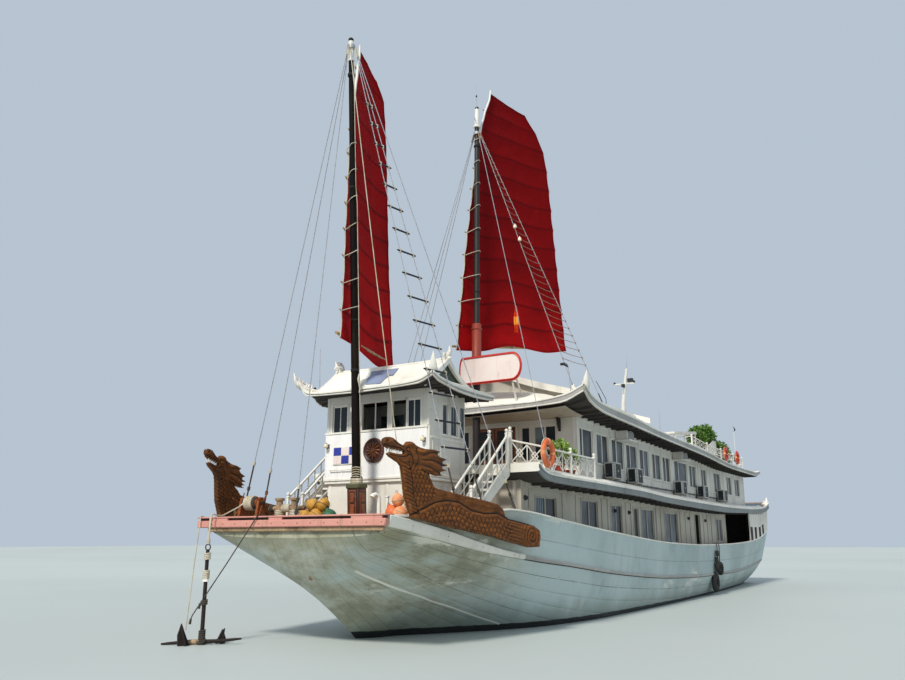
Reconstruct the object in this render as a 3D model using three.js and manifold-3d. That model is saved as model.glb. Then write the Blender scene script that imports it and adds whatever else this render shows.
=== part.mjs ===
// Motor junk: a wooden cruise boat with a junk bow, two decks of cabins, a wheelhouse and two junk sails.
// Frame: +X forward (bow), +Y port, +Z up, origin on the waterline amidships. Metres here, millimetres in the group.
import * as THREE from 'three';
import { mergeVertices } from 'three/addons/utils/BufferGeometryUtils.js';
import Module from 'manifold-3d';

const wasm = await Module();
wasm.setup();

// ---- driving sizes (metres) ----
const GAP = 0.0005;          // face to face gap between fixed pieces
const RUN = 0.012;           // clearance round moving pieces
const MAIN_DECK = 1.62;      // height of the main deck over the water
const FORE_DECK = 2.80;      // height of the foredeck
const FORE_DECK_AFT = 14.55; // x of the break between them
const TRANSOM_LOW = [-16.9, -0.2]; // raked transom, x and z at its foot
const TRANSOM_TOP = [-18.35, 3.2];
const PLANK = 0.09;          // bulwark thickness
const LOWER_Y = 3.12;        // lower deckhouse half width
const UPPER_Y = 3.05;        // upper deckhouse half width
const WALL = 0.06;           // deckhouse wall thickness
const LOWER_FRONT = 14.30, LOWER_AFT = -9.0;
const UPPER_FRONT = 9.95, UPPER_AFT = -14.4;
const WH = { x0: 14.95, x1: 16.78, y: 1.74, floor: 3.98, top: 6.40, wall: 0.05 };
const FORE_MAST = { x: 17.52, z0: 2.8205, h: 13.82, r0: 0.125, r1: 0.075, rake: 3.8 };
const MAIN_MAST = { x: 11.25, z0: 4.185, h: 13.85, r0: 0.135, r1: 0.08, rake: -1 };
const FORE_SWING = 19, MAIN_SWING = -15; // degrees that the sails are swung out, + to starboard
const SAIL_OFF = 0.19, SAIL_T = 0.03;    // sail plane beside the mast, and its thickness
const PROP = { x: -15.05, z: -0.98, r: 0.40, shaft: 0.045 };
const RUDDER = { x: -15.85, r: 0.05, z0: -1.45, z1: -0.46, fore: 0.18, aft: 0.85, t: 0.09 };
const HELM = { x: 16.28, y: 0.0, z: 5.02, r: 0.36 };

// hull sections: station x, keel z, bilge, waterline, topside, wale and rail points as half breadth, height
const HULL = [
//  x      zk     b1    z1     b2    z2    bm    zm    b3    z3    b4    z4
  [20.00,  2.45, 1.70,  2.48, 2.35, 2.54, 2.55, 2.58, 2.68, 2.68, 2.74, 2.92],
  [19.44,  1.60, 0.75,  1.69, 1.45, 1.90, 2.20, 2.22, 2.70, 2.56, 2.82, 2.92],
  [18.70,  0.93, 0.45,  1.13, 1.10, 1.46, 2.00, 1.95, 2.76, 2.48, 2.94, 2.92],
  [18.10,  0.47, 0.35,  0.72, 0.95, 1.08, 1.95, 1.70, 2.84, 2.40, 3.05, 2.93],
  [17.60,  0.12, 0.30,  0.34, 0.85, 0.72, 1.95, 1.50, 2.92, 2.30, 3.14, 2.94],
  [16.70, -0.60, 0.20, -0.28, 0.42, 0.02, 2.00, 1.22, 3.08, 2.16, 3.34, 3.00],
  [15.70, -1.05, 0.55, -0.55, 1.00, 0.00, 2.35, 1.10, 3.24, 2.02, 3.50, 3.16],
  [14.70, -1.30, 1.00, -0.78, 1.62, 0.00, 2.70, 0.98, 3.38, 1.90, 3.60, 3.12],
  [13.60, -1.42, 1.50, -0.95, 2.25, 0.00, 3.00, 0.88, 3.48, 1.79, 3.68, 3.02],
  [12.00, -1.50, 2.10, -1.10, 2.85, 0.00, 3.28, 0.80, 3.58, 1.65, 3.76, 2.87],
  [ 8.70, -1.50, 2.60, -1.20, 3.28, 0.00, 3.48, 0.65, 3.65, 1.34, 3.80, 2.62],
  [ 2.50, -1.50, 2.70, -1.20, 3.35, 0.00, 3.52, 0.50, 3.65, 0.98, 3.78, 2.28],
  [-3.00, -1.50, 2.62, -1.15, 3.22, 0.00, 3.42, 0.45, 3.58, 0.86, 3.73, 2.19],
  [-8.00, -1.50, 2.35, -1.00, 2.98, 0.00, 3.25, 0.42, 3.46, 0.84, 3.67, 2.22],
  [-12.0, -1.40, 1.95, -0.75, 2.70, 0.00, 3.04, 0.45, 3.33, 0.92, 3.60, 2.32],
  [-15.0, -0.48, 1.50, -0.38, 2.42, 0.05, 2.84, 0.52, 3.20, 1.06, 3.52, 2.50],
  [-17.2, -0.16, 1.30, -0.10, 2.20, 0.18, 2.70, 0.66, 3.10, 1.24, 3.46, 2.80],
  [-19.2,  0.10, 1.20,  0.20, 2.05, 0.42, 2.60, 0.90, 3.02, 1.50, 3.40, 3.35],
];
// rub strake along the hull: station x, bottom z, top z
const STRAKE = [
  [19.93, 2.70, 2.94], [19.20, 2.60, 2.84], [17.9, 2.37, 2.62], [16.7, 2.16, 2.36], [15.5, 2.00, 2.14],
  [14.0, 1.83, 1.95], [12.0, 1.65, 1.76], [8.7, 1.34, 1.45], [2.5, 0.98, 1.09], [-3.0, 0.86, 0.97],
  [-8.0, 0.84, 0.95], [-12.0, 0.92, 1.03], [-15.0, 1.06, 1.17], [-17.3, 1.22, 1.33],
];
// upper deck slab: station x, half width, underside z, top z
const UPPER_DECK = [
  [14.75, 3.94, 4.20, 4.44], [14.40, 3.92, 4.06, 4.28], [13.9, 3.90, 3.98, 4.20], [12.8, 3.90, 3.95, 4.18],
  [9.8, 3.90, 3.93, 4.17], [6.4, 3.90, 3.90, 4.14], [2.6, 3.86, 3.80, 4.05], [-6.0, 3.76, 3.72, 4.02],
  [-12.0, 3.68, 3.83, 4.09], [-15.5, 3.60, 3.93, 4.20], [-17.6, 3.55, 4.05, 4.36], [-18.9, 3.52, 4.30, 4.68],
];
// upper roof: station x, half width, underside z at the middle, corner upturn, eave thickness, crown height
const UPPER_ROOF = [
  [11.50, 4.03, 6.47, 0.40, 0.22, 0.24], [11.00, 4.03, 6.47, 0.14, 0.24, 0.50], [10.4, 4.02, 6.45, 0.04, 0.25, 0.80],
  [9.6, 4.01, 6.41, 0.00, 0.28, 0.98], [6.4, 4.00, 6.32, 0.00, 0.30, 1.00], [4.45, 3.98, 6.27, 0.00, 0.24, 0.80],
  [-3.25, 3.92, 6.12, 0.00, 0.24, 0.46], [-8.5, 3.84, 5.96, 0.00, 0.20, 0.42], [-14.3, 3.76, 5.99, 0.00, 0.20, 0.34],
  [-16.1, 3.72, 6.08, 0.10, 0.20, 0.24],
];
const GABLE = { x0: 3.4, x1: 10.2, b: 2.75, foot: 7.15, apex: 8.22 }; // gabled ridge on the front of the upper roof
// wheelhouse roof: station x, half width, underside z, corner upturn, eave thickness, crown height
const WH_ROOF = [
  [17.62, 2.36, 6.26, 0.24, 0.11, 0.12], [17.30, 2.36, 6.31, 0.08, 0.12, 0.30], [16.84, 2.36, 6.375, -0.05, 0.13, 0.46],
  [16.20, 2.36, 6.375, -0.12, 0.17, 0.56], [15.40, 2.36, 6.375, -0.14, 0.19, 0.46], [14.75, 2.36, 6.36, -0.10, 0.17, 0.30],
  [14.40, 2.36, 6.33, -0.04, 0.13, 0.16],
];
// section of the ridge across the wheelhouse roof: x, z
const WH_RIDGE = [[17.35, 6.42], [16.85, 6.72], [16.45, 6.98], [16.15, 7.22], [15.85, 7.0], [15.40, 6.75], [14.90, 6.55], [14.9, 6.42]];
// sail outlines: distance aft of the mast axis, height over the water
const FORE_SAIL = [
  [-0.64, 7.64], [0.45, 7.61], [1.44, 7.48], [2.67, 7.34], [4.29, 7.53], [4.25, 8.52], [4.08, 10.85], [4.07, 14.09],
  [3.89, 16.45], [3.12, 16.85], [2.18, 17.03], [1.34, 17.02], [0.77, 15.37], [0.25, 13.16], [-0.07, 11.05], [-0.37, 8.98],
];
const MAIN_SAIL = [
  [-0.79, 8.61], [0.41, 8.79], [2.12, 9.28], [3.69, 9.33], [5.13, 9.63], [4.75, 12.53], [4.34, 15.94], [4.11, 17.40],
  [3.70, 18.18], [2.92, 18.90], [0.93, 19.04], [0.41, 17.54], [-0.01, 15.00], [-0.35, 12.61], [-0.53, 10.97],
];
// carved dragon board: distance aft along the rail from the bow, height
const DRAGON = [
  [-0.86, 4.55], [-0.67, 4.61], [-0.39, 4.61], [-0.06, 4.54], [0.34, 4.56], [0.68, 4.50], [1.00, 4.44], [1.33, 4.27],
  [1.15, 4.17], [1.33, 4.06], [1.04, 4.00], [1.00, 3.88], [0.79, 3.82], [0.72, 3.75], [0.80, 3.55], [1.04, 3.49],
  [1.84, 3.48], [2.54, 3.39], [3.31, 3.25], [3.47, 2.97], [4.21, 2.89], [4.89, 2.77], [5.04, 2.54], [4.95, 2.20],
  [4.19, 2.28], [3.63, 2.36], [2.73, 2.53], [1.37, 2.68], [0.07, 2.88], [-0.13, 3.07], [-0.20, 3.46], [-0.24, 3.74],
  [-0.25, 4.02], [-0.47, 4.14], [-0.73, 4.23], [-0.76, 4.34], [-0.54, 4.40],
];

// ---- helpers ----
const lerp = (a, b, t) => a + (b - a) * t;
function rowAt(table, x) { // interpolated row of a table whose first column falls
  const n = table.length;
  if (x >= table[0][0]) return [x, ...table[0].slice(1)];
  for (let i = 0; i < n - 1; i++) {
    const [a, b] = [table[i], table[i + 1]];
    if (x <= a[0] && x >= b[0]) { const t = (a[0] - x) / (a[0] - b[0]); return a.map((v, k) => lerp(v, b[k], t)); }
  }
  return [x, ...table[n - 1].slice(1)];
}
function halfBreadth(x, z) { // outside of the hull planking at a station and height
  const r = rowAt(HULL, x), p = [[0, r[1]], [r[2], r[3]], [r[4], r[5]], [r[6], r[7]], [r[8], r[9]], [r[10], r[11]]];
  if (z >= r[11]) return r[10];
  for (let i = 0; i < 5; i++) if (z <= p[i + 1][1]) return lerp(p[i][0], p[i + 1][0], Math.max(0, (z - p[i][1]) / (p[i + 1][1] - p[i][1])));
  return r[10];
}
function toSolid(geometry) {
  const g = geometry.index ? geometry.clone() : geometry.clone();
  g.deleteAttribute('normal'); g.deleteAttribute('uv');
  const m = mergeVertices(g, 1e-4);
  return new wasm.Manifold(new wasm.Mesh({ numProp: 3, vertProperties: new Float32Array(m.attributes.position.array), triVerts: new Uint32Array(m.index.array) }));
}
function toGeometry(solid) {
  const m = solid.getMesh(), g = new THREE.BufferGeometry();
  g.setAttribute('position', new THREE.BufferAttribute(new Float32Array(m.vertProperties), 3));
  g.setIndex(new THREE.BufferAttribute(new Uint32Array(m.triVerts), 1));
  g.computeVertexNormals();
  return g;
}
const mm = (g) => g.scale(1000, 1000, 1000);
function box(x0, x1, y0, y1, z0, z1) {
  const g = new THREE.BoxGeometry(x1 - x0, y1 - y0, z1 - z0);
  return toSolid(mm(g.translate((x0 + x1) / 2, (y0 + y1) / 2, (z0 + z1) / 2)));
}
function cylinder(p, q, r0, r1 = r0, sides = 16) { // round bar from p to q
  const a = new THREE.Vector3(...p), b = new THREE.Vector3(...q), d = b.clone().sub(a);
  const g = new THREE.CylinderGeometry(r1, r0, d.length(), sides);
  g.applyQuaternion(new THREE.Quaternion().setFromUnitVectors(new THREE.Vector3(0, 1, 0), d.clone().normalize()));
  return toSolid(mm(g.translate(...a.add(b).multiplyScalar(0.5).toArray())));
}
function plate(outline, thick) { // outline in x, z made into a plate centred on y = 0
  const s = new THREE.Shape(outline.map(([u, v]) => new THREE.Vector2(u, v)));
  const g = new THREE.ExtrudeGeometry(s, { depth: thick, bevelEnabled: false });
  g.translate(0, 0, -thick / 2).rotateX(Math.PI / 2);
  return g;
}
function loft(rings) { // rings of equal point count along x, closed with end caps
  const n = rings[0].length, pos = [], idx = [];
  rings.forEach((r) => r.forEach((p) => pos.push(...p)));
  for (let i = 0; i < rings.length - 1; i++) for (let j = 0; j < n; j++) {
    const k = (j + 1) % n, a = i * n + j, b = i * n + k, c = (i + 1) * n + k, d = (i + 1) * n + j;
    idx.push(a, b, c, a, c, d);
  }
  for (const [i, way] of [[0, -1], [rings.length - 1, 1]]) {
    const flat = rings[i].map((p) => new THREE.Vector2(p[1], p[2]));
    const turn = Math.sign(THREE.ShapeUtils.area(flat)) * way;
    for (const t of THREE.ShapeUtils.triangulateShape(flat, [])) {
      const v = Math.sign(THREE.ShapeUtils.area(t.map((q) => flat[q]))) === turn ? t : [t[0], t[2], t[1]];
      idx.push(...v.map((q) => i * n + q));
    }
  }
  const g = new THREE.BufferGeometry();
  g.setAttribute('position', new THREE.Float32BufferAttribute(pos, 3));
  g.setIndex(idx);
  mm(g);
  let m = toSolidRaw(g);
  return m;
}
function toSolidRaw(g) { // keeps the vertices as they are, and turns the faces out if they point in
  const p = new Float32Array(g.attributes.position.array), t = new Uint32Array(g.index.array);
  let vol = 0;
  const v = (i) => [p[3 * i], p[3 * i + 1], p[3 * i + 2]];
  for (let i = 0; i < t.length; i += 3) {
    const [a, b, c] = [v(t[i]), v(t[i + 1]), v(t[i + 2])];
    vol += a[0] * (b[1] * c[2] - b[2] * c[1]) - a[1] * (b[0] * c[2] - b[2] * c[0]) + a[2] * (b[0] * c[1] - b[1] * c[0]);
  }
  if (vol < 0) for (let i = 0; i < t.length; i += 3) { const s = t[i + 1]; t[i + 1] = t[i + 2]; t[i + 2] = s; }
  return new wasm.Manifold(new wasm.Mesh({ numProp: 3, vertProperties: p, triVerts: t }));
}
const cut = (a, ...bs) => bs.reduce((s, b) => s.subtract(b), a);
const join = (a, ...bs) => bs.reduce((s, b) => s.add(b), a);

const boat = new THREE.Group();
const COLOURS = {
  hull: [0xd9dcd8, 0.6, 0], trim: [0xf2f2ee, 0.5, 0], pink: [0xc77c74, 0.6, 0], wall: [0xe6e7e6, 0.6, 0], roof: [0xf3f2ec, 0.6, 0],
  dark: [0x1d1a1a, 0.7, 0], red: [0x8d1420, 0.8, 0], redpaint: [0xb2281f, 0.5, 0], wood: [0x9a531c, 0.5, 0], steel: [0x4a4742, 0.6, 0.7],
  bronze: [0x9a7b3c, 0.4, 0.9], orange: [0xd9662b, 0.6, 0], deck: [0x8f6a4a, 0.7, 0], rope: [0xd8d2c4, 0.9, 0], ac: [0xd5d6d4, 0.6, 0], tan: [0xb58a5a, 0.7, 0],
};
function put(name, solid, colour, parent = boat) {
  const [c, rough, metal] = COLOURS[colour];
  const mesh = new THREE.Mesh(solid.isBufferGeometry ? solid : toGeometry(solid), new THREE.MeshStandardMaterial({ color: c, roughness: rough, metalness: metal }));
  mesh.name = name;
  parent.add(mesh);
  return mesh;
}

// ---- hull ----
const hullRing = (r) => {
  const [x, zk, b1, z1, b2, z2, bm, zm, b3, z3, b4, z4] = r;
  const side = [[b1, z1], [b2, z2], [bm, zm], [b3, z3], [b4, z4]];
  return [[x, 0, zk], ...side.map(([b, z]) => [x, b, z]), ...side.reverse().map(([b, z]) => [x, -b, z])];
};
const transomCut = (off) => { // everything aft of the raked transom, moved off metres forward
  const [[xa, za], [xb, zb]] = [TRANSOM_LOW, TRANSOM_TOP], k = (xb - xa) / (zb - za);
  const at = (z) => xa + k * (z - za) + off;
  const s = new THREE.Shape([[at(-3), -3], [at(6), 6], [-25, 6], [-25, -3]].map(([u, v]) => new THREE.Vector2(u, v)));
  const g = new THREE.ExtrudeGeometry(s, { depth: 12, bevelEnabled: false });
  return toSolid(mm(g.translate(0, 0, -6).rotateX(Math.PI / 2)));
};
const full = cut(loft(HULL.map(hullRing)), transomCut(0));
const inner = (z, t, xs) => loft(xs.map((x) => { // space inside the bulwark above a deck
  const lo = halfBreadth(x, z) - t, hi = halfBreadth(x, 9) - t;
  const zt = rowAt(HULL, x)[11];
  return [[x, lo, z], [x, hi, zt], [x, hi, zt + 1.5], [x, -hi, zt + 1.5], [x, -hi, zt], [x, -lo, z]];
}));
const stationsBetween = (a, b) => [b, ...HULL.map((r) => r[0]).filter((x) => x < b && x > a), a];
const foreWell = inner(FORE_DECK, 0.10, stationsBetween(FORE_DECK_AFT - 0.5, 19.80));
const mainWell = cut(inner(MAIN_DECK, PLANK, stationsBetween(-18.4, FORE_DECK_AFT)), transomCut(0.12));
const aftRegion = box(-21, FORE_DECK_AFT, -5, 5, MAIN_DECK, 7);
const rudderBore = cylinder([RUDDER.x, 0, -0.6], [RUDDER.x, 0, 0.25], RUDDER.r + 0.015, RUDDER.r + 0.015, 20);
const shaftBore = cylinder([-12.5, 0, PROP.z], [-16, 0, PROP.z], PROP.shaft + 0.012, PROP.shaft + 0.012, 16);
put('hull', cut(full, aftRegion, foreWell, rudderBore, shaftBore), 'hull');
const rail = cut(full.intersect(box(-21, FORE_DECK_AFT - GAP, -5, 5, MAIN_DECK + GAP, 7)), mainWell);
put('bulwark_port', rail.intersect(box(-17.0, 20, 0.1, 5, 0, 7)), 'hull');
put('bulwark_starboard', rail.intersect(box(-17.0, 20, -5, -0.1, 0, 7)), 'hull');
put('bulwark_stern', rail.intersect(box(-21, -17.0 - GAP, -5, 5, 0, 7)), 'hull');
put('bow_beam', box(20.0 + GAP, 20.16, -3.02, 2.80, 2.70, 2.965), 'pink');
for (const [name, s] of [['port', 1], ['starboard', -1]]) {
  const rings = STRAKE.map(([x, z0, z1]) => {
    const y0 = halfBreadth(x, z0) + 0.002, y1 = halfBreadth(x, z1) + 0.002, w = 0.075;
    return [[x, s * y0, z0], [x, s * (y0 + w), z0 + 0.01], [x, s * (y1 + w), z1], [x, s * y1, z1]];
  });
  put(`rub_strake_${name}`, cut(loft(rings), full.translate([0, s * 0.6, 0])), 'trim');
}

// ---- stern gear ----
const shaftLine = (x0, x1, r, n = 16) => cylinder([x0, 0, PROP.z], [x1, 0, PROP.z], r, r, n);
function propeller() {
  let s = join(cylinder([PROP.x + 0.10, 0, PROP.z], [PROP.x - 0.16, 0, PROP.z], 0.085, 0.055, 20), cylinder([-13.2, 0, PROP.z], [PROP.x + 0.09, 0, PROP.z], PROP.shaft, PROP.shaft, 16));
  for (let k = 0; k < 4; k++) {
    const rings = [[0.06, 0.05, 62], [0.16, 0.09, 46], [0.27, 0.11, 34], [0.36, 0.085, 27], [PROP.r, 0.03, 24]].map(([r, w, deg]) => {
      const a = deg * Math.PI / 180, u = [Math.sin(a), Math.cos(a)], n = [Math.cos(a), -Math.sin(a)], t = 0.014 - 0.02 * r;
      return [[1, 0], [0, 1], [-1, 0], [0, -1]].map(([i, j]) => [r, i * w * u[0] + j * t * n[0], i * w * u[1] + j * t * n[1]]);
    }); // ring points: radius, along the shaft, across
    const g = loft(rings.map((q) => q.map(([r, al, ac]) => [r, ac, al])));
    const geo = toGeometry(g);
    const m = new THREE.Matrix4().makeRotationX(k * Math.PI / 2).multiply(new THREE.Matrix4().makeBasis(new THREE.Vector3(0, 0, 1), new THREE.Vector3(0, 1, 0), new THREE.Vector3(-1, 0, 0)));
    m.setPosition(PROP.x * 1000, 0, PROP.z * 1000);
    geo.applyMatrix4(m);
    geo.deleteAttribute('normal');
    s = s.add(toSolidRaw(mergeVertices(geo, 1e-4)));
  }
  return s;
}
put('propeller', propeller(), 'bronze');
{
  const blade = [[RUDDER.x + RUDDER.fore, RUDDER.z1], [RUDDER.x + 0.12, RUDDER.z0], [RUDDER.x - RUDDER.aft + 0.12, RUDDER.z0 + 0.05], [RUDDER.x - RUDDER.aft, RUDDER.z1 - 0.12], [RUDDER.x - RUDDER.aft + 0.2, RUDDER.z1]];
  put('rudder', join(toSolid(mm(plate(blade, RUDDER.t))), cylinder([RUDDER.x, 0, RUDDER.z1 - 0.2], [RUDDER.x, 0, 0.23], RUDDER.r, RUDDER.r, 20)), 'hull');
}

// ---- decks and deckhouses ----
const across = (table, lo, hi, wide) => loft(table.map((r) => [[r[0], -wide, lo(r)], [r[0], wide, lo(r)], [r[0], wide, hi(r)], [r[0], -wide, hi(r)]]));
const stretch = (t) => [[t[0][0] + 6, ...t[0].slice(1)], ...t, [t[t.length - 1][0] - 6, ...t[t.length - 1].slice(1)]];
const aboveDeckUnder = across(stretch(UPPER_DECK), (r) => r[2] - GAP, () => 12, 7);
const belowDeckTop = across(stretch(UPPER_DECK), () => -3, (r) => r[3] + GAP, 7);
const aboveRoofUnder = across(stretch(UPPER_ROOF), (r) => r[2] + 0.06, () => 12, 7);
const lower = (solid) => solid.translate([0, 0, -GAP * 1000]);
const mastHole = (m, r, z0, z1) => cylinder([m.x, 0, z0], [m.x, 0, z1], r, r, 24);
put('upper_deck', loft(UPPER_DECK.map(([x, b, z0, z1]) => [[x, -b, z0], [x, b, z0], [x, b + 0.02, z0 + 0.04], [x, b, z1], [x, -b, z1], [x, -b - 0.02, z0 + 0.04]])), 'roof');
const roofRing = ([x, b, z, up, t, crown]) => [
  [x, -b, z + up], [x, -0.8 * b, z + 0.25 * up], [x, 0, z], [x, 0.8 * b, z + 0.25 * up], [x, b, z + up],
  [x, b, z + up + t], [x, 0.85 * b, z + 0.35 * up + t + 0.06 * crown], [x, 0.5 * b, z + Math.max(t, crown * 0.75)], [x, 0, z + Math.max(t, crown)],
  [x, -0.5 * b, z + Math.max(t, crown * 0.75)], [x, -0.85 * b, z + 0.35 * up + t + 0.06 * crown], [x, -b, z + up + t],
];
function roofTop(table, x, y) { // height of a roof's top surface
  const p = roofRing(rowAt(table, x)).slice(5, 9).reverse();
  for (let i = 0; i < 3; i++) if (Math.abs(y) <= p[i + 1][1]) return lerp(p[i][2], p[i + 1][2], (Math.abs(y) - p[i][1]) / (p[i + 1][1] - p[i][1]));
  return p[3][2];
}
function horn(x, y, z, s, len, high) { // upturned corner horn, s is the side, len its reach forward (+) or aft (-)
  const o = [[0, 0], [0.55 * len, 0.10 * high], [0.9 * len, 0.5 * high], [len, high], [0.72 * len, 0.62 * high], [0.3 * len, 0.32 * high], [-0.4 * len, 0.16 * high]];
  const g = plate(o, 0.09);
  g.rotateZ(s * (len > 0 ? 1 : -1) * 0.5);
  return toSolid(mm(g.translate(x, y, z)));
}
let upperRoof = loft(UPPER_ROOF.map(roofRing));
upperRoof = join(upperRoof, loft([GABLE.x1, GABLE.x0].map((x) => [[x, -GABLE.b, 6.8], [x, GABLE.b, 6.8], [x, GABLE.b, GABLE.foot], [x, 0, GABLE.apex], [x, -GABLE.b, GABLE.foot]])));
for (const s of [1, -1]) upperRoof = join(upperRoof, horn(11.05, s * 3.72, 6.84, s, 0.50, 0.72));
upperRoof = cut(upperRoof, mastHole(MAIN_MAST, MAIN_MAST.r0 + 0.06, 5, 9));
put('upper_roof', upperRoof, 'roof');

const sideWall = (x0, x1, s, y, z0) => s > 0 ? box(x0, x1, y - WALL, y, z0, 12) : box(x0, x1, -y, -y + WALL, z0, 12);
const DOOR_SIDE = { x0: -4.10, x1: -3.28, h: 1.92 };
for (const [name, s] of [['port', 1], ['starboard', -1]]) {
  const door = s > 0 ? box(DOOR_SIDE.x0, DOOR_SIDE.x1, 3, 3.3, MAIN_DECK - 0.1, MAIN_DECK + DOOR_SIDE.h) : box(DOOR_SIDE.x0, DOOR_SIDE.x1, -3.3, -3, MAIN_DECK - 0.1, MAIN_DECK + DOOR_SIDE.h);
  put(`lower_wall_${name}`, cut(sideWall(LOWER_AFT, LOWER_FRONT, s, LOWER_Y, MAIN_DECK + GAP), aboveDeckUnder, door), 'wall');
  put(`upper_wall_${name}`, cut(sideWall(UPPER_AFT, UPPER_FRONT, s, UPPER_Y, 3), belowDeckTop, aboveRoofUnder, lower(upperRoof)), 'wall');
  // door leaf, hinged on its aft jamb and standing open into the house
  const y = s * (LOWER_Y - WALL - 0.012), w = DOOR_SIDE.x1 - DOOR_SIDE.x0 + 0.04, xh = DOOR_SIDE.x0 - 0.02;
  const leaf = box(xh - 0.04, xh, Math.min(y, y - s * w), Math.max(y, y - s * w), MAIN_DECK + 0.02, MAIN_DECK + DOOR_SIDE.h + 0.015);
  put(`lower_door_${name}`, leaf, 'wood');
}
const inside = (y) => y - WALL - GAP;
put('lower_wall_front', cut(box(LOWER_FRONT - WALL, LOWER_FRONT, -inside(LOWER_Y), inside(LOWER_Y), MAIN_DECK + GAP, 12), aboveDeckUnder), 'wall');
put('lower_wall_aft', cut(box(LOWER_AFT, LOWER_AFT + WALL, -inside(LOWER_Y), inside(LOWER_Y), MAIN_DECK + GAP, 12), aboveDeckUnder, box(-10, -8, -0.45, 0.45, 1, MAIN_DECK + 1.95)), 'wall');
const FRONT_DOOR = { y: 0.82, h: 2.0 };
put('upper_wall_front', cut(box(UPPER_FRONT - WALL, UPPER_FRONT, -inside(UPPER_Y), inside(UPPER_Y), 3, 12), belowDeckTop, aboveRoofUnder, lower(upperRoof), box(9, 11, -FRONT_DOOR.y, FRONT_DOOR.y, 3, 4.17 + FRONT_DOOR.h)), 'wall');
put('upper_wall_aft', cut(box(UPPER_AFT, UPPER_AFT + WALL, -inside(UPPER_Y), inside(UPPER_Y), 3, 12), belowDeckTop, aboveRoofUnder, lower(upperRoof)), 'wall');
for (const [name, s] of [['port', 1], ['starboard', -1]]) {
  const [a, b] = s > 0 ? [0.012, FRONT_DOOR.y - 0.012] : [-FRONT_DOOR.y + 0.012, -0.012];
  put(`cabin_door_${name}`, box(UPPER_FRONT - 0.05, UPPER_FRONT - 0.01, a, b, 4.20, 4.17 + FRONT_DOOR.h - 0.015), 'wood');
}
// quarter panels that close the sides right aft, with their peaked windows
for (const [name, s] of [['port', 1], ['starboard', -1]]) {
  const y = (x) => halfBreadth(x, 9) - 0.005;
  const xs = [-14.3, -15.4, -16.5, -17.6, -18.7];
  let p = loft(xs.map((x) => { const z0 = rowAt(HULL, x)[11] - 0.35; return [[x, s * y(x), z0], [x, s * y(x), 7], [x, s * (y(x) - 0.06), 7], [x, s * (y(x) - 0.06), z0]]; }));
  const lowCut = loft([[-13, 0], [-15, 0], [-17.2, 0], [-19.2, 0]].map(([x]) => { const z = rowAt(HULL, x)[11] + GAP; return [[x, -6, -3], [x, 6, -3], [x, 6, z], [x, -6, z]]; }));
  p = cut(p, aboveDeckUnder, lowCut, transomCut(0.02));
  for (let k = 0; k < 4; k++) { // columns: window, stepping aft
    const x = -15.1 - 0.78 * k;
    const o = [[x - 0.2, 2.95 + 0.08 * k], [x + 0.2, 2.95 + 0.08 * k], [x + 0.2, 3.45 + 0.08 * k], [x, 3.65 + 0.08 * k], [x - 0.2, 3.45 + 0.08 * k]];
    p = cut(p, toSolid(mm(plate(o, 12))));
  }
  put(`quarter_panel_${name}`, p, 'wall');
}

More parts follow.
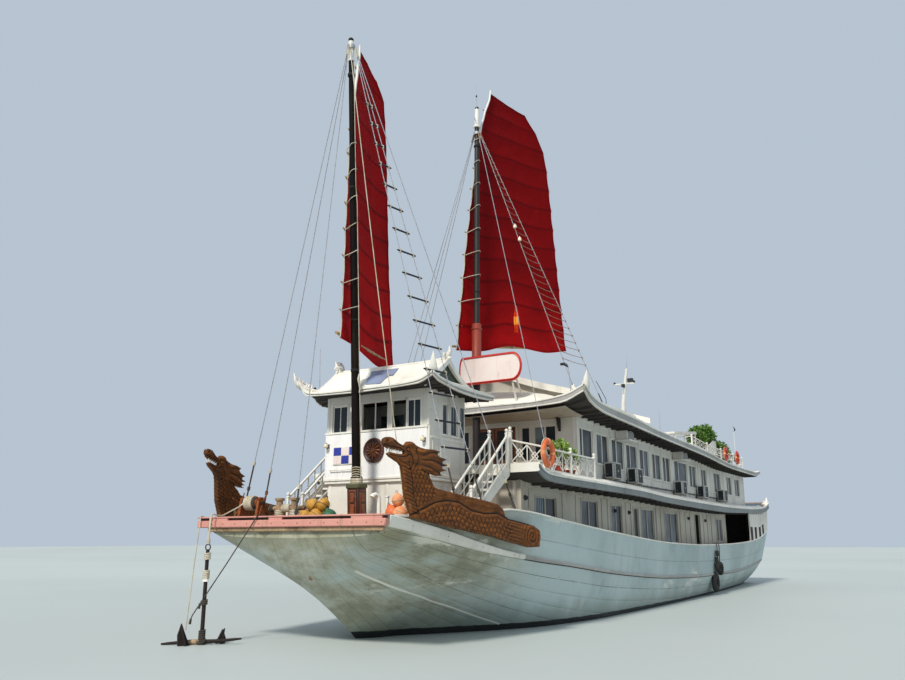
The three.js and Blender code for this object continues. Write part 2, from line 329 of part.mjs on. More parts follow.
// ---- wheelhouse ----
{
  const { x0, x1, y, floor, top, wall } = WH;
  const W = [ // front windows: y low, y high
    [-1.54, -1.02], [-0.49, 0.37], [0.54, 0.98], [1.02, 1.46],
  ];
  put('wheelhouse_base', join(cut(box(x0 + 0.1, x1 - 0.06, -y + 0.06, y - 0.06, FORE_DECK + GAP, floor - 0.03), box(x0 + 0.16, x1 - 0.12, -y + 0.12, y - 0.12, FORE_DECK - 1, floor), box(x0 - 1, x0 + 1, -0.4, 0.4, FORE_DECK - 0.2, FORE_DECK + 1.0)), box(x0 - 0.02, x1 + 0.02, -y - 0.02, y + 0.02, floor - 0.06, floor)), 'wall');
  const roof = join(loft(WH_ROOF.map(roofRing)), toSolid(mm(plate(WH_RIDGE, 3.9))), horn(17.28, 2.16, 6.42, 1, 0.42, 0.66), horn(17.28, -2.16, 6.42, -1, 0.42, 0.66));
  const under = lower(roof);
  let f = cut(box(x1 - wall, x1, -y, y, floor + GAP, top), under);
  for (const [a, b] of W) f = cut(f, box(x1 - 1, x1 + 1, a, b, 5.34, 6.10));
  put('wheelhouse_front', f, 'wall');
  const side = (s) => cut(s > 0 ? box(x0 + wall + GAP, x1 - wall - GAP, y - wall, y, floor + GAP, top) : box(x0 + wall + GAP, x1 - wall - GAP, -y, -y + wall, floor + GAP, top), under);
  put('wheelhouse_port', cut(side(1), box(15.86, 16.14, 1, 2, 5.18, 6.02), box(15.36, 15.72, 1, 2, 5.18, 6.02)), 'wall');
  put('wheelhouse_starboard', cut(side(-1), box(16.10, 16.52, -2, -1, 5.18, 6.02), box(15.16, 15.86, -2, -1, floor + 0.03, 5.95)), 'wall');
  put('wheelhouse_aft', cut(box(x0, x0 + wall, -y, y, floor + GAP, top), under, box(x0 - 1, x0 + 1, -1.2, -0.3, 5.25, 6.05), box(x0 - 1, x0 + 1, 0.3, 1.2, 5.25, 6.05)), 'wall');
  put('wheelhouse_door', box(15.172, 15.848, -y - 0.002, -y + 0.038, floor + 0.045, 5.935), 'wood');
  put('wheelhouse_roof', roof, 'roof');
  put('helm_stand', join(box(16.34, 16.60, -0.28, 0.28, floor + GAP, 4.95), box(16.40, 16.44, -0.05, 0.05, 4.9, 5.1)), 'wood');
  let wheel = toSolid(mm(new THREE.TorusGeometry(HELM.r - 0.06, 0.018, 6, 20).rotateY(Math.PI / 2)));
  wheel = join(wheel, cylinder([0.03, 0, 0], [-0.04, 0, 0], 0.05, 0.05, 16));
  for (let k = 0; k < 8; k++) { const a = k * Math.PI / 4; wheel = join(wheel, cylinder([0, 0, 0], [0, HELM.r * Math.cos(a), HELM.r * Math.sin(a)], 0.014, 0.014, 5)); }
  const mesh = put('helm_wheel', wheel, 'wood');
  mesh.position.set(HELM.x * 1000, HELM.y * 1000, HELM.z * 1000);
}

// ---- masts, sails, stays ----
function mastGroup(m) { const g = new THREE.Group(); g.position.set(m.x * 1000, 0, m.z0 * 1000); g.rotation.y = m.rake * Math.PI / 180; boat.add(g); return g; }
function rig(name, m, outline, swing) {
  const g = mastGroup(m), turn = new THREE.Group();
  turn.rotation.z = swing * Math.PI / 180;
  g.add(turn);
  const k = 1 / Math.cos(m.rake * Math.PI / 180);
  const pts = outline.map(([t, z]) => [-t, (z - m.z0) * k]);
  const foot = pts.slice(0, 5);
  const sail = plate(pts, SAIL_T);
  sail.translate(0, -SAIL_OFF, 0);
  put(name, toSolid(mm(sail)), 'red', turn);
  // boom along the foot, beside the cloth
  const off = SAIL_OFF + SAIL_T / 2 + 0.055;
  const bar = (a, b, r) => cylinder([a[0], -off, a[1]], [b[0], -off, b[1]], r, r, 12);
  const f0 = foot[0], f1 = foot[foot.length - 1];
  put(`${name}_boom`, bar([f0[0] + 0.1, f0[1] + 0.12], [f1[0] - 0.05, f1[1] + 0.12], 0.05), 'wood', turn);
}
const foreMast = mastGroup(FORE_MAST);
put('foremast', cylinder([0, 0, 0.09], [0, 0, FORE_MAST.h], FORE_MAST.r0, FORE_MAST.r1, 20), 'dark', foreMast);
put('mainmast', cylinder([0, 0, 0.0], [0, 0, MAIN_MAST.h], MAIN_MAST.r0, MAIN_MAST.r1, 20), 'dark', mastGroup(MAIN_MAST));
rig('foresail', FORE_MAST, FORE_SAIL, FORE_SWING);
rig('mainsail', MAIN_MAST, MAIN_SAIL, MAIN_SWING);
{
  const t = foreMast, c = cylinder([0, 0, -0.5], [0, 0, 3], FORE_MAST.r0 + 0.003, FORE_MAST.r0 + 0.003, 20);
  const geo = cut(box(-0.19, 0.19, -0.19, 0.19, 0.012, 1.02), c);
  put('mast_tabernacle', geo, 'redpaint', t);
}
function stays(name, m, head, feet, r) { // a band at the masthead with the stays that lead down from it
  const top = [m.x + Math.sin(m.rake * Math.PI / 180) * head, 0, m.z0 + Math.cos(m.rake * Math.PI / 180) * head];
  const rr = m.r1 + 0.012;
  const rot = (g) => g.rotateY(m.rake * Math.PI / 180).translate(...top);
  const ring = toSolid(mm(rot(new THREE.CylinderGeometry(rr + 0.03, rr + 0.03, 0.1, 20).rotateX(Math.PI / 2))));
  const hole = toSolid(mm(rot(new THREE.CylinderGeometry(rr, rr, 1, 20).rotateX(Math.PI / 2))));
  let s = cut(ring, hole);
  feet.forEach((f, k) => { // each stay leaves the band a little above or below the next
    const d = new THREE.Vector3(f[0] - top[0], f[1] - top[1], 0).normalize().multiplyScalar(rr + 0.018);
    s = join(s, cylinder([top[0] + d.x, top[1] + d.y, top[2] + 0.03 * (k % 3 - 1)], f, r, r, 6));
  });
  put(name, s, 'steel');
}
const onRoof = (x, y) => [x, y, roofTop(UPPER_ROOF, x, y) + 0.012];
stays('foremast_stays', FORE_MAST, 13.5, [
  [17.57, 3.12, 2.954], [16.60, 3.29, 3.026], [15.30, 3.48, 3.154], [17.85, -3.06, 2.947], [18.75, -2.90, 2.932], [19.88, 0.0, 2.94],
], 0.012);
stays('mainmast_stays', MAIN_MAST, 12.72, [
  [13.35, 3.66, 4.20], onRoof(10.75, 3.45), onRoof(9.1, 3.72), [12.0, -3.66, 4.19], onRoof(10.75, -3.45), onRoof(9.9, -3.72),
], 0.012);

// ---- carved dragons along the bow rail ----
for (const [name, s] of [['port', 1], ['starboard', -1]]) {
  const g = plate(DRAGON.map(([u, v]) => [-u, v]), 0.12);
  const a = Math.atan2(halfBreadth(14.5, 9) - halfBreadth(19.5, 9), 5);
  g.rotateZ(-s * a).translate(19.5, s * (halfBreadth(19.5, 9) + 0.16), 0);
  put(`dragon_${name}`, toSolid(mm(g)), 'wood');
}

// ---- deck gear ----
{
  const post = (x, y) => join(cylinder([x, y, FORE_DECK + GAP], [x, y, 3.42], 0.09, 0.08, 14), cylinder([x, y, 3.36], [x, y, 3.44], 0.12, 0.12, 14));
  put('mooring_bitts', join(box(18.9, 19.3, -1.45, -0.55, FORE_DECK + GAP, FORE_DECK + 0.08), post(19.1, -1.25), post(19.1, -0.75), cylinder([19.1, -1.6, 3.18], [19.1, -0.4, 3.18], 0.06, 0.06, 12)), 'tan');
}
{ // stairs from the foredeck to the upper deck
  for (const [name, s] of [['port', 1], ['starboard', -1]]) {
    const ya = 2.50, yb = 3.04;
    const o = [[16.75, FORE_DECK + GAP], [16.95, FORE_DECK + GAP], [16.95, FORE_DECK + 0.1], [14.86, 4.46], [14.78, 4.30], [14.78, 4.10]];
    const st = (y) => { const g = plate(o, 0.05); return toSolid(mm(g.translate(0, s * y, 0))); };
    let m = join(st(ya), st(yb));
    for (let k = 0; k < 6; k++) { const x = 16.55 - 0.31 * k, z = FORE_DECK + 0.20 + 0.225 * k; m = join(m, box(x - 0.14, x + 0.14, s > 0 ? ya : -yb, s > 0 ? yb : -ya, z, z + 0.04)); }
    for (const y of [ya, yb]) m = join(m, cylinder([16.85, s * y, FORE_DECK + 0.05], [16.85, s * y, 3.62], 0.03, 0.03, 6), cylinder([16.85, s * y, 3.58], [14.86, s * y, 5.20], 0.03, 0.03, 6), cylinder([14.86, s * y, 4.40], [14.86, s * y, 5.24], 0.03, 0.03, 6));
    put(`stairs_${name}`, m, 'trim');
  }
}
{ // terrace rails round the front of the upper deck
  for (const [name, s] of [['port', 1], ['starboard', -1]]) {
    const yo = 3.74;
    const zt = (x) => rowAt(UPPER_DECK, Math.min(14.75, x + 0.06))[3];
    let m = null;
    const add = (p) => { m = m ? join(m, p) : p; };
    const xs = [14.62, 13.2, 11.8, 10.3];
    for (const x of xs) add(cylinder([x, s * yo, zt(x) + GAP * 2], [x, s * yo, zt(x) + 0.78], 0.045, 0.045, 6));
    for (const h of [0.12, 0.42, 0.72]) for (let i = 0; i < 3; i++) add(cylinder([xs[i], s * yo, zt(xs[i]) + h], [xs[i + 1], s * yo, zt(xs[i + 1]) + h], 0.028, 0.028, 6));
    const z = zt(14.62);
    add(cylinder([14.62, s * 3.0, z + GAP * 2], [14.62, s * 3.0, z + 0.95], 0.055, 0.055, 6));
    for (const h of [0.12, 0.42, 0.72]) add(cylinder([14.62, s * 3.0, z + h], [14.62, s * yo, z + h], 0.028, 0.028, 6));
    put(`terrace_rail_${name}`, m, 'trim');
  }
}
const lifebuoy = (x, y, z, ry) => { const g = new THREE.TorusGeometry(0.28, 0.075, 8, 16); g.rotateX(Math.PI / 2); g.rotateZ(ry); return toSolid(mm(g.translate(x, y, z))); };
{ // rail of the sun deck, with its two lifebuoys and the ensign staff
  const zt = (x) => { const r = rowAt(UPPER_ROOF, x); return r[2] + Math.max(r[4], r[5]) + GAP; };
  let m = null;
  const add = (p) => { m = m ? join(m, p) : p; };
  const xs = [-4.6, -7.4, -10.2, -13.0, -15.3];
  for (const s of [1, -1]) for (let i = 0; i < xs.length; i++) {
    const x = xs[i], y = s * 2.9, zb = roofTop(UPPER_ROOF, x, y) + 0.03;
    add(cylinder([x, y, zb], [x, y, zt(x) + 0.79], 0.031, 0.031, 8));
    if (i) for (const h of [0.4, 0.74]) add(cylinder([xs[i - 1] - 0.005, y, zt(xs[i - 1]) + h], [x - 0.011, y, zt(x) + h], 0.0243, 0.0243, 8));
  }
  for (const x of [xs[0], xs[4]]) for (const h of [0.4, 0.74]) add(cylinder([x + 0.003, -2.905, zt(x) + h + 0.002], [x + 0.003, 2.905, zt(x) + h + 0.002], 0.0233, 0.0233, 8));
  m = join(m, lifebuoy(-8.9, 2.95, 6.98, 0), lifebuoy(-11.6, 2.95, 6.93, 0), cylinder([-15.3, 0, zt(-15.3) + 0.02], [-15.3, 0, 8.7], 0.03, 0.02, 10));
  put('sundeck_rail', m, 'trim');
}
{ // air conditioner units on a duct along each side of the upper house
  for (const [name, s] of [['port', 1], ['starboard', -1]]) {
    const y0 = UPPER_Y + GAP;
    const b = (x0, x1, ya, yb, z0, z1) => s > 0 ? box(x0, x1, ya, yb, z0, z1) : box(x0, x1, -yb, -ya, z0, z1);
    let m = b(-9.2, 7.9, y0, y0 + 0.06, 4.42, 4.48);
    for (const [x, z] of [[7.35, 4.47], [5.0, 4.44], [-0.9, 4.32], [-4.5, 4.32], [-8.3, 4.32]]) m = join(m, b(x - 0.42, x + 0.42, y0 + 0.03, y0 + 0.38, z, z + 0.56));
    put(`ac_units_${name}`, m, 'ac');
  }
}
put('lifebuoy_terrace', lifebuoy(13.35, 3.90, 4.62, 0), 'orange');
{ // name board over the front of the upper roof, on two struts, and the aerial mast
  const strut = (y) => cylinder([11.61, y, 7.85], [10.90, y, roofTop(UPPER_ROOF, 10.90, y) + 0.04], 0.03, 0.03, 8);
  put('sign_board', join(box(11.60, 11.64, -0.42, 1.93, 7.42, 8.38), strut(-0.34), strut(1.55)), 'redpaint');
  put('antenna_mast', join(cylinder([1.1, 1.5, roofTop(UPPER_ROOF, 1.1, 1.5) + 0.01], [1.0, 1.5, 9.65], 0.04, 0.03, 10), box(0.98, 1.06, 0.95, 2.05, 9.22, 9.29)), 'trim');
}
{ // anchor hung off the starboard bow
  const X = 20.35, Y = -2.35;
  const a = join(cylinder([X, Y, 2.30], [X, Y, -0.35], 0.045, 0.05, 10), box(X - 0.06, X + 0.06, Y - 0.16, Y + 0.16, -0.42, -0.28),
    cylinder([X + 0.55, Y - 0.75, 0.02], [X - 0.55, Y + 0.75, 0.12], 0.035, 0.035, 8));
  const fluke = (s) => toSolid(mm(plate([[0, -0.38], [s * 0.55, 0.05], [s * 0.62, 0.42], [s * 0.36, 0.10], [0, -0.22]], 0.07).translate(X, Y, 0)));
  put('anchor', join(a, fluke(1), fluke(-1)), 'steel');
  put('anchor_rope', cylinder([X, Y, 2.302], [X - 0.05, Y, 3.02], 0.02, 0.02, 8), 'rope');
}

export default boat;
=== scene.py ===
"""Motor junk, the looks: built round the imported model. Metres, +X forward, +Y port, +Z up, waterline at z = 0."""
import bpy
import bmesh
import math
import random
import numpy as np
from mathutils import Matrix, Vector
from mathutils import noise as mnoise


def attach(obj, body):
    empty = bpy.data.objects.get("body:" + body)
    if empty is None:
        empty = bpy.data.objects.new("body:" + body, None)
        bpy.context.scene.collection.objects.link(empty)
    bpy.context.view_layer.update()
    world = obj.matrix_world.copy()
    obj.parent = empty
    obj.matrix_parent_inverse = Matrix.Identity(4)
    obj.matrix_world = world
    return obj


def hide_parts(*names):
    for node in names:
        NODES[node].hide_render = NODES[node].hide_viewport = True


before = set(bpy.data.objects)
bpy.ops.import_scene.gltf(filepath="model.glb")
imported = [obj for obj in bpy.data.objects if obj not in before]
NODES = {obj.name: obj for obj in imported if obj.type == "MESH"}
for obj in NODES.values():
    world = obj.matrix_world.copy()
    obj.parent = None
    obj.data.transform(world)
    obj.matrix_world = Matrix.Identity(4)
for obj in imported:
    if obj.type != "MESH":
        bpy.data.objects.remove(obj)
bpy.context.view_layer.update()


# ------------------------------------------------------------------ camera and light
def make_view():
    cam = bpy.data.cameras.new("camera")
    cam.lens, cam.sensor_width, cam.sensor_fit = 32.30, 36.0, "HORIZONTAL"
    cam.clip_start, cam.clip_end = 0.1, 800
    ob = bpy.data.objects.new("camera", cam)
    bpy.context.scene.collection.objects.link(ob)
    pitch = math.radians(13.857)
    flat = Vector((-0.8545, -0.5195, 0)).normalized()
    look = flat * math.cos(pitch) + Vector((0, 0, math.sin(pitch)))
    right = Vector((-flat.y * -1, flat.x * -1, 0))
    right = Vector((-0.5195, 0.8545, 0)).normalized()
    up = right.cross(look)
    m = Matrix((right, up, -look)).transposed().to_4x4()
    m.translation = (34.696, 13.340, 2.4)
    ob.matrix_world = m
    bpy.context.scene.camera = ob

    world = bpy.data.worlds.new("studio")
    world.use_nodes = True
    t = world.node_tree
    bg = t.nodes["Background"]
    bg.inputs["Color"].default_value = (0.50, 0.58, 0.67, 1)  # plain, even studio light, slightly cool
    bg.inputs["Strength"].default_value = 0.95
    bpy.context.scene.world = world
    bpy.context.scene.view_settings.view_transform = "Standard"

    def sun(name, to_light, strength, angle, colour):
        d = bpy.data.lights.new(name, "SUN")
        d.energy, d.angle, d.color = strength, math.radians(angle), colour
        o = bpy.data.objects.new(name, d)
        o.rotation_euler = Vector(to_light).to_track_quat("Z", "Y").to_euler()
        bpy.context.scene.collection.objects.link(o)
    sun("key", (0.70, 0.052, 0.70), 3.3, 9, (1.0, 0.955, 0.88))


make_view()


# ------------------------------------------------------------------ materials
def C(h):
    h = h.lstrip("#")
    out = []
    for i in (0, 2, 4):
        c = int(h[i:i + 2], 16) / 255
        out.append(c / 12.92 if c <= 0.04045 else ((c + 0.055) / 1.055) ** 2.4)
    return (*out, 1.0)


class Mat:
    """Small helper to write node materials in a few lines."""

    def __init__(self, name, rough=0.5, metal=0.0, spec=0.5, coat=0.0, sheen=0.0):
        self.m = bpy.data.materials.new(name)
        self.m.use_nodes = True
        self.t = self.m.node_tree
        self.p = self.t.nodes["Principled BSDF"]
        self.p.inputs["Roughness"].default_value = rough
        self.p.inputs["Metallic"].default_value = metal
        self.p.inputs["Specular IOR Level"].default_value = spec
        self.p.inputs["Coat Weight"].default_value = coat
        self.p.inputs["Sheen Weight"].default_value = sheen
        self.obj = self.new("ShaderNodeTexCoord").outputs["Object"]

    def new(self, kind):
        return self.t.nodes.new(kind)

    def put(self, socket, value):
        if isinstance(value, bpy.types.NodeSocket):
            self.t.links.new(value, socket)
        else:
            socket.default_value = value

    def scaled(self, scale, vec=None):
        n = self.new("ShaderNodeMapping")
        self.put(n.inputs["Vector"], vec or self.obj)
        n.inputs["Scale"].default_value = scale
        return n.outputs[0]

    def noise(self, scale, detail=4.0, rough=0.55, vec=None, dist=0.0):
        n = self.new("ShaderNodeTexNoise")
        self.put(n.inputs["Vector"], vec or self.obj)
        n.inputs["Scale"].default_value = scale
        n.inputs["Detail"].default_value = detail
        n.inputs["Roughness"].default_value = rough
        n.inputs["Distortion"].default_value = dist
        return n.outputs["Fac"]

    def voronoi(self, scale, vec=None, feature="F1", out="Distance"):
        n = self.new("ShaderNodeTexVoronoi")
        n.feature = feature
        self.put(n.inputs["Vector"], vec or self.obj)
        n.inputs["Scale"].default_value = scale
        return n.outputs[out]

    def wave(self, scale, axis="X", dist=0.0, detail=2.0, vec=None, profile="SIN"):
        n = self.new("ShaderNodeTexWave")
        n.bands_direction, n.wave_profile = axis, profile
        self.put(n.inputs["Vector"], vec or self.obj)
        n.inputs["Scale"].default_value = scale
        n.inputs["Distortion"].default_value = dist
        n.inputs["Detail"].default_value = detail
        return n.outputs["Fac"]

    def math(self, op, a, b=0.0, c=0.0, clamp=False):
        n = self.new("ShaderNodeMath")
        n.operation, n.use_clamp = op, clamp
        self.put(n.inputs[0], a)
        self.put(n.inputs[1], b)
        if len(n.inputs) > 2:
            self.put(n.inputs[2], c)
        return n.outputs[0]

    def step(self, v, lo, hi):
        """0 below lo, 1 above hi, smooth between."""
        n = self.new("ShaderNodeMapRange")
        n.interpolation_type = "SMOOTHSTEP"
        self.put(n.inputs["Value"], v)
        n.inputs["From Min"].default_value, n.inputs["From Max"].default_value = lo, hi
        return n.outputs["Result"]

    def axes(self, vec=None):
        n = self.new("ShaderNodeSeparateXYZ")
        self.put(n.inputs[0], vec or self.obj)
        return n.outputs

    def mix(self, fac, a, b, mode="MIX"):
        n = self.new("ShaderNodeMix")
        n.data_type, n.blend_type = "RGBA", mode
        self.put(n.inputs[0], fac)
        self.put(n.inputs[6], a)
        self.put(n.inputs[7], b)
        return n.outputs[2]

    def ramp(self, fac, *stops):
        n = self.new("ShaderNodeValToRGB")
        r = n.color_ramp
        while len(r.elements) < len(stops):
            r.elements.new(0.5)
        for e, (pos, col) in zip(r.elements, stops):
            e.position, e.color = pos, col
        self.put(n.inputs[0], fac)
        return n.outputs[0]

    def attr(self, name):
        n = self.new("ShaderNodeAttribute")
        n.attribute_name = name
        return n.outputs["Fac"]

    def colour(self, v):
        self.put(self.p.inputs["Base Color"], v)

    def rough(self, v, lo, hi):
        n = self.new("ShaderNodeMapRange")
        self.put(n.inputs["Value"], v)
        n.inputs["To Min"].default_value, n.inputs["To Max"].default_value = lo, hi
        self.put(self.p.inputs["Roughness"], n.outputs["Result"])

    def bump(self, height, strength=0.4, dist=0.01):
        n = self.new("ShaderNodeBump")
        n.inputs["Strength"].default_value = strength
        n.inputs["Distance"].default_value = dist
        self.put(n.inputs["Height"], height)
        self.put(self.p.inputs["Normal"], n.outputs[0])


def painted(name, base, shade, dirt, dirt_amount=0.5, rough=0.45, chips=0.0, chip_colour="#6b5a44", streaks=1.0, fine=14.0, spec=0.5):
    """Brushed paint on wood: uneven colour, rain streaks, grime, a few chips."""
    m = Mat(name, rough, spec=spec)
    big = m.noise(0.45, 5, 0.6)
    c = m.mix(m.step(big, 0.35, 0.68), C(base), C(shade))
    st = m.noise(2.2, 5, 0.62, m.scaled((1.6, 1.6, 0.16)))
    c = m.mix(m.math("MULTIPLY", m.step(st, 0.52, 0.75), dirt_amount * streaks), c, C(dirt))
    spots = m.noise(3.4, 6, 0.7)
    c = m.mix(m.math("MULTIPLY", m.step(spots, 0.58, 0.76), dirt_amount * 0.8), c, C(dirt))
    if chips:
        ch = m.noise(9.0, 6, 0.72, m.scaled((1, 1, 1.8)))
        c = m.mix(m.step(ch, 0.73 - 0.1 * chips, 0.76 - 0.1 * chips), c, C(chip_colour))
    m.colour(c)
    grain = m.noise(fine, 4, 0.6, m.scaled((1, 1, 4)))
    m.rough(grain, rough - 0.1, rough + 0.18)
    m.bump(grain, 0.25, 0.006)
    return m.m


def hull_paint(name):
    m = Mat(name, 0.5)
    x, y, z = m.axes()
    big = m.noise(0.35, 6, 0.62)
    c = m.mix(m.step(big, 0.38, 0.7), C("#b9c8c7"), C("#9eb0af"))
    # green-grey film under the flare of the bow, with a paler scuffed band above it
    bow = m.step(m.math("ADD", x, m.math("MULTIPLY", m.noise(0.5, 5, 0.6), 4.0)), 15.2, 18.6)
    film = m.noise(0.9, 7, 0.68, m.scaled((0.7, 1.0, 1.7)))
    green = m.mix(m.step(film, 0.40, 0.66), C("#aeaa92"), C("#807d62"))
    c = m.mix(m.math("MULTIPLY", m.math("MULTIPLY", bow, m.step(film, 0.22, 0.58)), 0.85), c, green)
    top = m.step(m.math("SUBTRACT", z, m.math("MULTIPLY", x, 0.14)), -0.55, -0.15)
    flake = m.noise(1.1, 8, 0.74, m.scaled((0.6, 1.2, 1.4)))
    c = m.mix(m.math("MULTIPLY", m.math("MULTIPLY", m.step(flake, 0.50, 0.60), top), m.step(x, 14.0, 16.5)), c, C("#d9d6c6"))
    white = m.noise(0.55, 6, 0.7, m.scaled((0.5, 0.8, 2.2)))
    c = m.mix(m.math("MULTIPLY", m.step(white, 0.60, 0.68), 0.75), c, C("#e4e2d6"))
    # painted shade: the top of the hull near the stem, under the bow beam, is darkened to olive, which also hides the
    # highlight its top edge catches
    shade = m.math("MULTIPLY", m.step(m.math("ADD", z, m.math("MULTIPLY", m.noise(1.4, 5, 0.6), 0.5)), 2.30, 2.85), m.step(x, 18.6, 19.6))
    c = m.mix(m.math("MULTIPLY", shade, 0.65), c, C("#8d896a"))
    # rain streaks and weed toward the water
    st = m.noise(2.6, 6, 0.66, m.scaled((1.8, 1.8, 0.14)))
    c = m.mix(m.math("MULTIPLY", m.step(st, 0.54, 0.78), 0.55), c, C("#8f958c"))
    low = m.step(m.math("SUBTRACT", m.math("MULTIPLY", m.noise(1.3, 5, 0.6, m.scaled((1, 1, 0.3))), 1.0), z), -0.35, 0.35)
    c = m.mix(m.math("MULTIPLY", low, 0.55), c, C("#7d8676"))
    # seams between the strakes
    seam = m.attr("seam")
    c = m.mix(m.math("MULTIPLY", seam, m.step(m.noise(1.6, 4, 0.6), 0.25, 0.55)), c, C("#3d4039"))
    # rust runs and bare patches
    rust = m.noise(1.7, 5, 0.6, m.scaled((2.6, 2.6, 0.45)))
    c = m.mix(m.math("MULTIPLY", m.step(rust, 0.69, 0.74), 0.85), c, C("#8a5a2c"))
    chip = m.noise(5.0, 6, 0.72, m.scaled((0.55, 0.55, 1.7)))
    c = m.mix(m.step(chip, 0.685, 0.705), c, C("#46493f"))
    # black boot-top
    edge = m.math("ADD", m.math("MULTIPLY", m.noise(2.0, 5, 0.6, m.scaled((1, 1, 0.3))), 0.07), m.math("MULTIPLY", x, 0.0032))
    wet = m.step(m.math("SUBTRACT", z, edge), 0.075, 0.105)
    black = m.mix(m.noise(3, 4, 0.6), C("#16171a"), C("#2a2c28"))
    c = m.mix(wet, black, c)
    m.colour(c)
    g = m.noise(7.0, 5, 0.65, m.scaled((0.35, 1, 1.6)))
    m.rough(g, 0.38, 0.72)
    m.bump(m.math("ADD", g, m.math("MULTIPLY", flake, 1.4)), 0.35, 0.012)
    return m.m


def boards(name, base, shade, line, width, axis="Y", rough=0.6, worn=0.4):
    """Deck or wall boards: joints every width metres across the given axis."""
    m = Mat(name, rough)
    ax = m.axes()["XYZ".index(axis)]
    fr = m.math("FRACT", m.math("DIVIDE", ax, width))
    joint = m.math("LESS_THAN", fr, 0.07)
    board = m.math("FLOOR", m.math("DIVIDE", ax, width))
    tone = m.new("ShaderNodeTexWhiteNoise")
    tone.noise_dimensions = "1D"
    m.put(tone.inputs["W"], board)
    grain = m.noise(6, 6, 0.65, m.scaled((0.25, 3, 3) if axis == "Y" else (3, 3, 0.25)))
    c = m.mix(m.math("MULTIPLY", tone.outputs["Value"], 0.6), C(base), C(shade))
    c = m.mix(m.math("MULTIPLY", m.step(grain, 0.45, 0.75), worn), c, C(line))
    c = m.mix(m.math("MULTIPLY", joint, 0.8), c, C(line))
    m.colour(c)
    m.rough(grain, rough - 0.1, rough + 0.2)
    m.bump(m.math("SUBTRACT", grain, m.math("MULTIPLY", joint, 2.0)), 0.4, 0.008)
    return m.m


def wood(name, base, dark, light, rough=0.42, coat=0.15, scale=1.0, along=(0.2, 2.5, 2.5)):
    m = Mat(name, rough, coat=coat)
    grain = m.noise(5 * scale, 7, 0.68, m.scaled(along), 0.6)
    ring = m.noise(1.2 * scale, 4, 0.6)
    c = m.ramp(grain, (0.25, C(dark)), (0.52, C(base)), (0.8, C(light)))
    c = m.mix(m.step(ring, 0.45, 0.75), c, C(dark), "MULTIPLY")
    m.colour(c)
    m.rough(grain, rough - 0.08, rough + 0.25)
    m.bump(grain, 0.35, 0.008)
    return m.m


def carved(name):
    """Oiled carving, orange on the worn edges; painted shade makes it near-black in the cuts, by the 'cut' point
    attribute, which grows with the depth of the carving.
    """
    m = Mat(name, 0.55, spec=0.22, coat=0.02)
    cut = m.attr("cut")
    grain = m.noise(6, 7, 0.7, m.scaled((0.35, 2, 2)), 0.5)
    tone = m.noise(0.9, 5, 0.62)
    c = m.ramp(grain, (0.25, C("#3a200c")), (0.55, C("#774416")), (0.82, C("#b8722b")))
    c = m.mix(m.step(tone, 0.45, 0.72), c, C("#472a14"))
    # painted shade: near-black where the carving is cut deep
    c = m.mix(m.step(cut, 0.15, 0.85), c, C("#1c0f06"))
    pale = m.noise(3.5, 6, 0.7)
    c = m.mix(m.math("MULTIPLY", m.step(pale, 0.63, 0.72), 0.35), c, C("#b59a78"))
    m.colour(c)
    m.rough(grain, 0.36, 0.7)
    m.bump(grain, 0.4, 0.01)
    return m.m


def cloth(name, top, low, z_lo, z_hi):
    """Heavy dyed sailcloth: weave, crumple, salt marks; painted light makes it brighter low down, where the light comes
    through, and darker toward the head.
    """
    m = Mat(name, 0.85, spec=0.08)
    x, y, z = m.axes()
    # painted light: from the bright low colour up to the darker top colour between z_lo and z_hi
    through_light = m.step(z, z_lo, z_hi)
    blot = m.noise(0.55, 6, 0.62)
    c = m.mix(through_light, C(low), C(top))
    c = m.mix(m.math("MULTIPLY", m.step(blot, 0.42, 0.72), 0.55), c, C("#6c0508"))
    st = m.noise(3.0, 6, 0.66, m.scaled((1.2, 1.2, 0.25)))
    c = m.mix(m.math("MULTIPLY", m.step(st, 0.56, 0.78), 0.35), c, C("#b3151a"))
    seam = m.attr("seam")
    c = m.mix(m.math("MULTIPLY", seam, 0.8), c, C("#560408"))
    m.colour(c)
    weave = m.math("ADD", m.wave(46, "X"), m.wave(46, "Z"))
    crump = m.noise(1.6, 6, 0.6, dist=0.8)
    m.bump(m.math("ADD", m.math("MULTIPLY", weave, 0.06), crump), 0.5, 0.05)
    return m.m


def simple(name, a, b, rough=0.5, metal=0.0, scale=6.0, bump=0.2, coat=0.0, stretch=(1, 1, 1), dist=0.005, spec=0.5, detail=5):
    """Two tones broken up by noise, with matching roughness and bump."""
    m = Mat(name, rough, metal, spec, coat)
    n = m.noise(scale, detail, 0.62, m.scaled(stretch))
    m.colour(m.mix(m.step(n, 0.35, 0.68), C(a), C(b)))
    m.rough(n, max(0.03, rough - 0.1), min(1, rough + 0.15))
    m.bump(n, bump, dist)
    return m.m


def rope_mat(name, a, b):
    m = Mat(name, 0.9)
    n = m.noise(30, 4, 0.6)
    w = m.wave(22, "DIAGONAL", 1.5)
    c = m.mix(m.step(m.noise(2.5, 4), 0.4, 0.7), C(a), C(b))
    m.colour(m.mix(m.math("MULTIPLY", w, 0.35), c, C("#3b352a")))
    m.bump(m.math("ADD", n, w), 0.6, 0.006)
    return m.m


def glass(name, a, b):
    """Dark pane with a pale curtain's folds faintly behind it."""
    m = Mat(name, 0.3, spec=0.3, coat=0.06)
    fold = m.wave(2.4, "X", 1.2, 2)
    n = m.noise(0.8, 3, 0.5)
    c = m.mix(m.math("MULTIPLY", m.step(n, 0.4, 0.65), m.step(fold, 0.35, 0.8)), C(a), C(b))
    m.colour(c)
    m.bump(m.noise(1.2, 2, 0.5), 0.04, 0.01)
    return m.m


def leaf_mat(name, a, b, c3):
    m = Mat(name, 0.5)
    n = m.noise(3.0, 4, 0.6)
    k = m.noise(14.0, 3, 0.6)
    c = m.mix(m.step(n, 0.35, 0.65), C(a), C(b))
    m.colour(m.mix(m.step(k, 0.45, 0.7), c, C(c3)))
    m.bump(k, 0.3, 0.005)
    return m.m


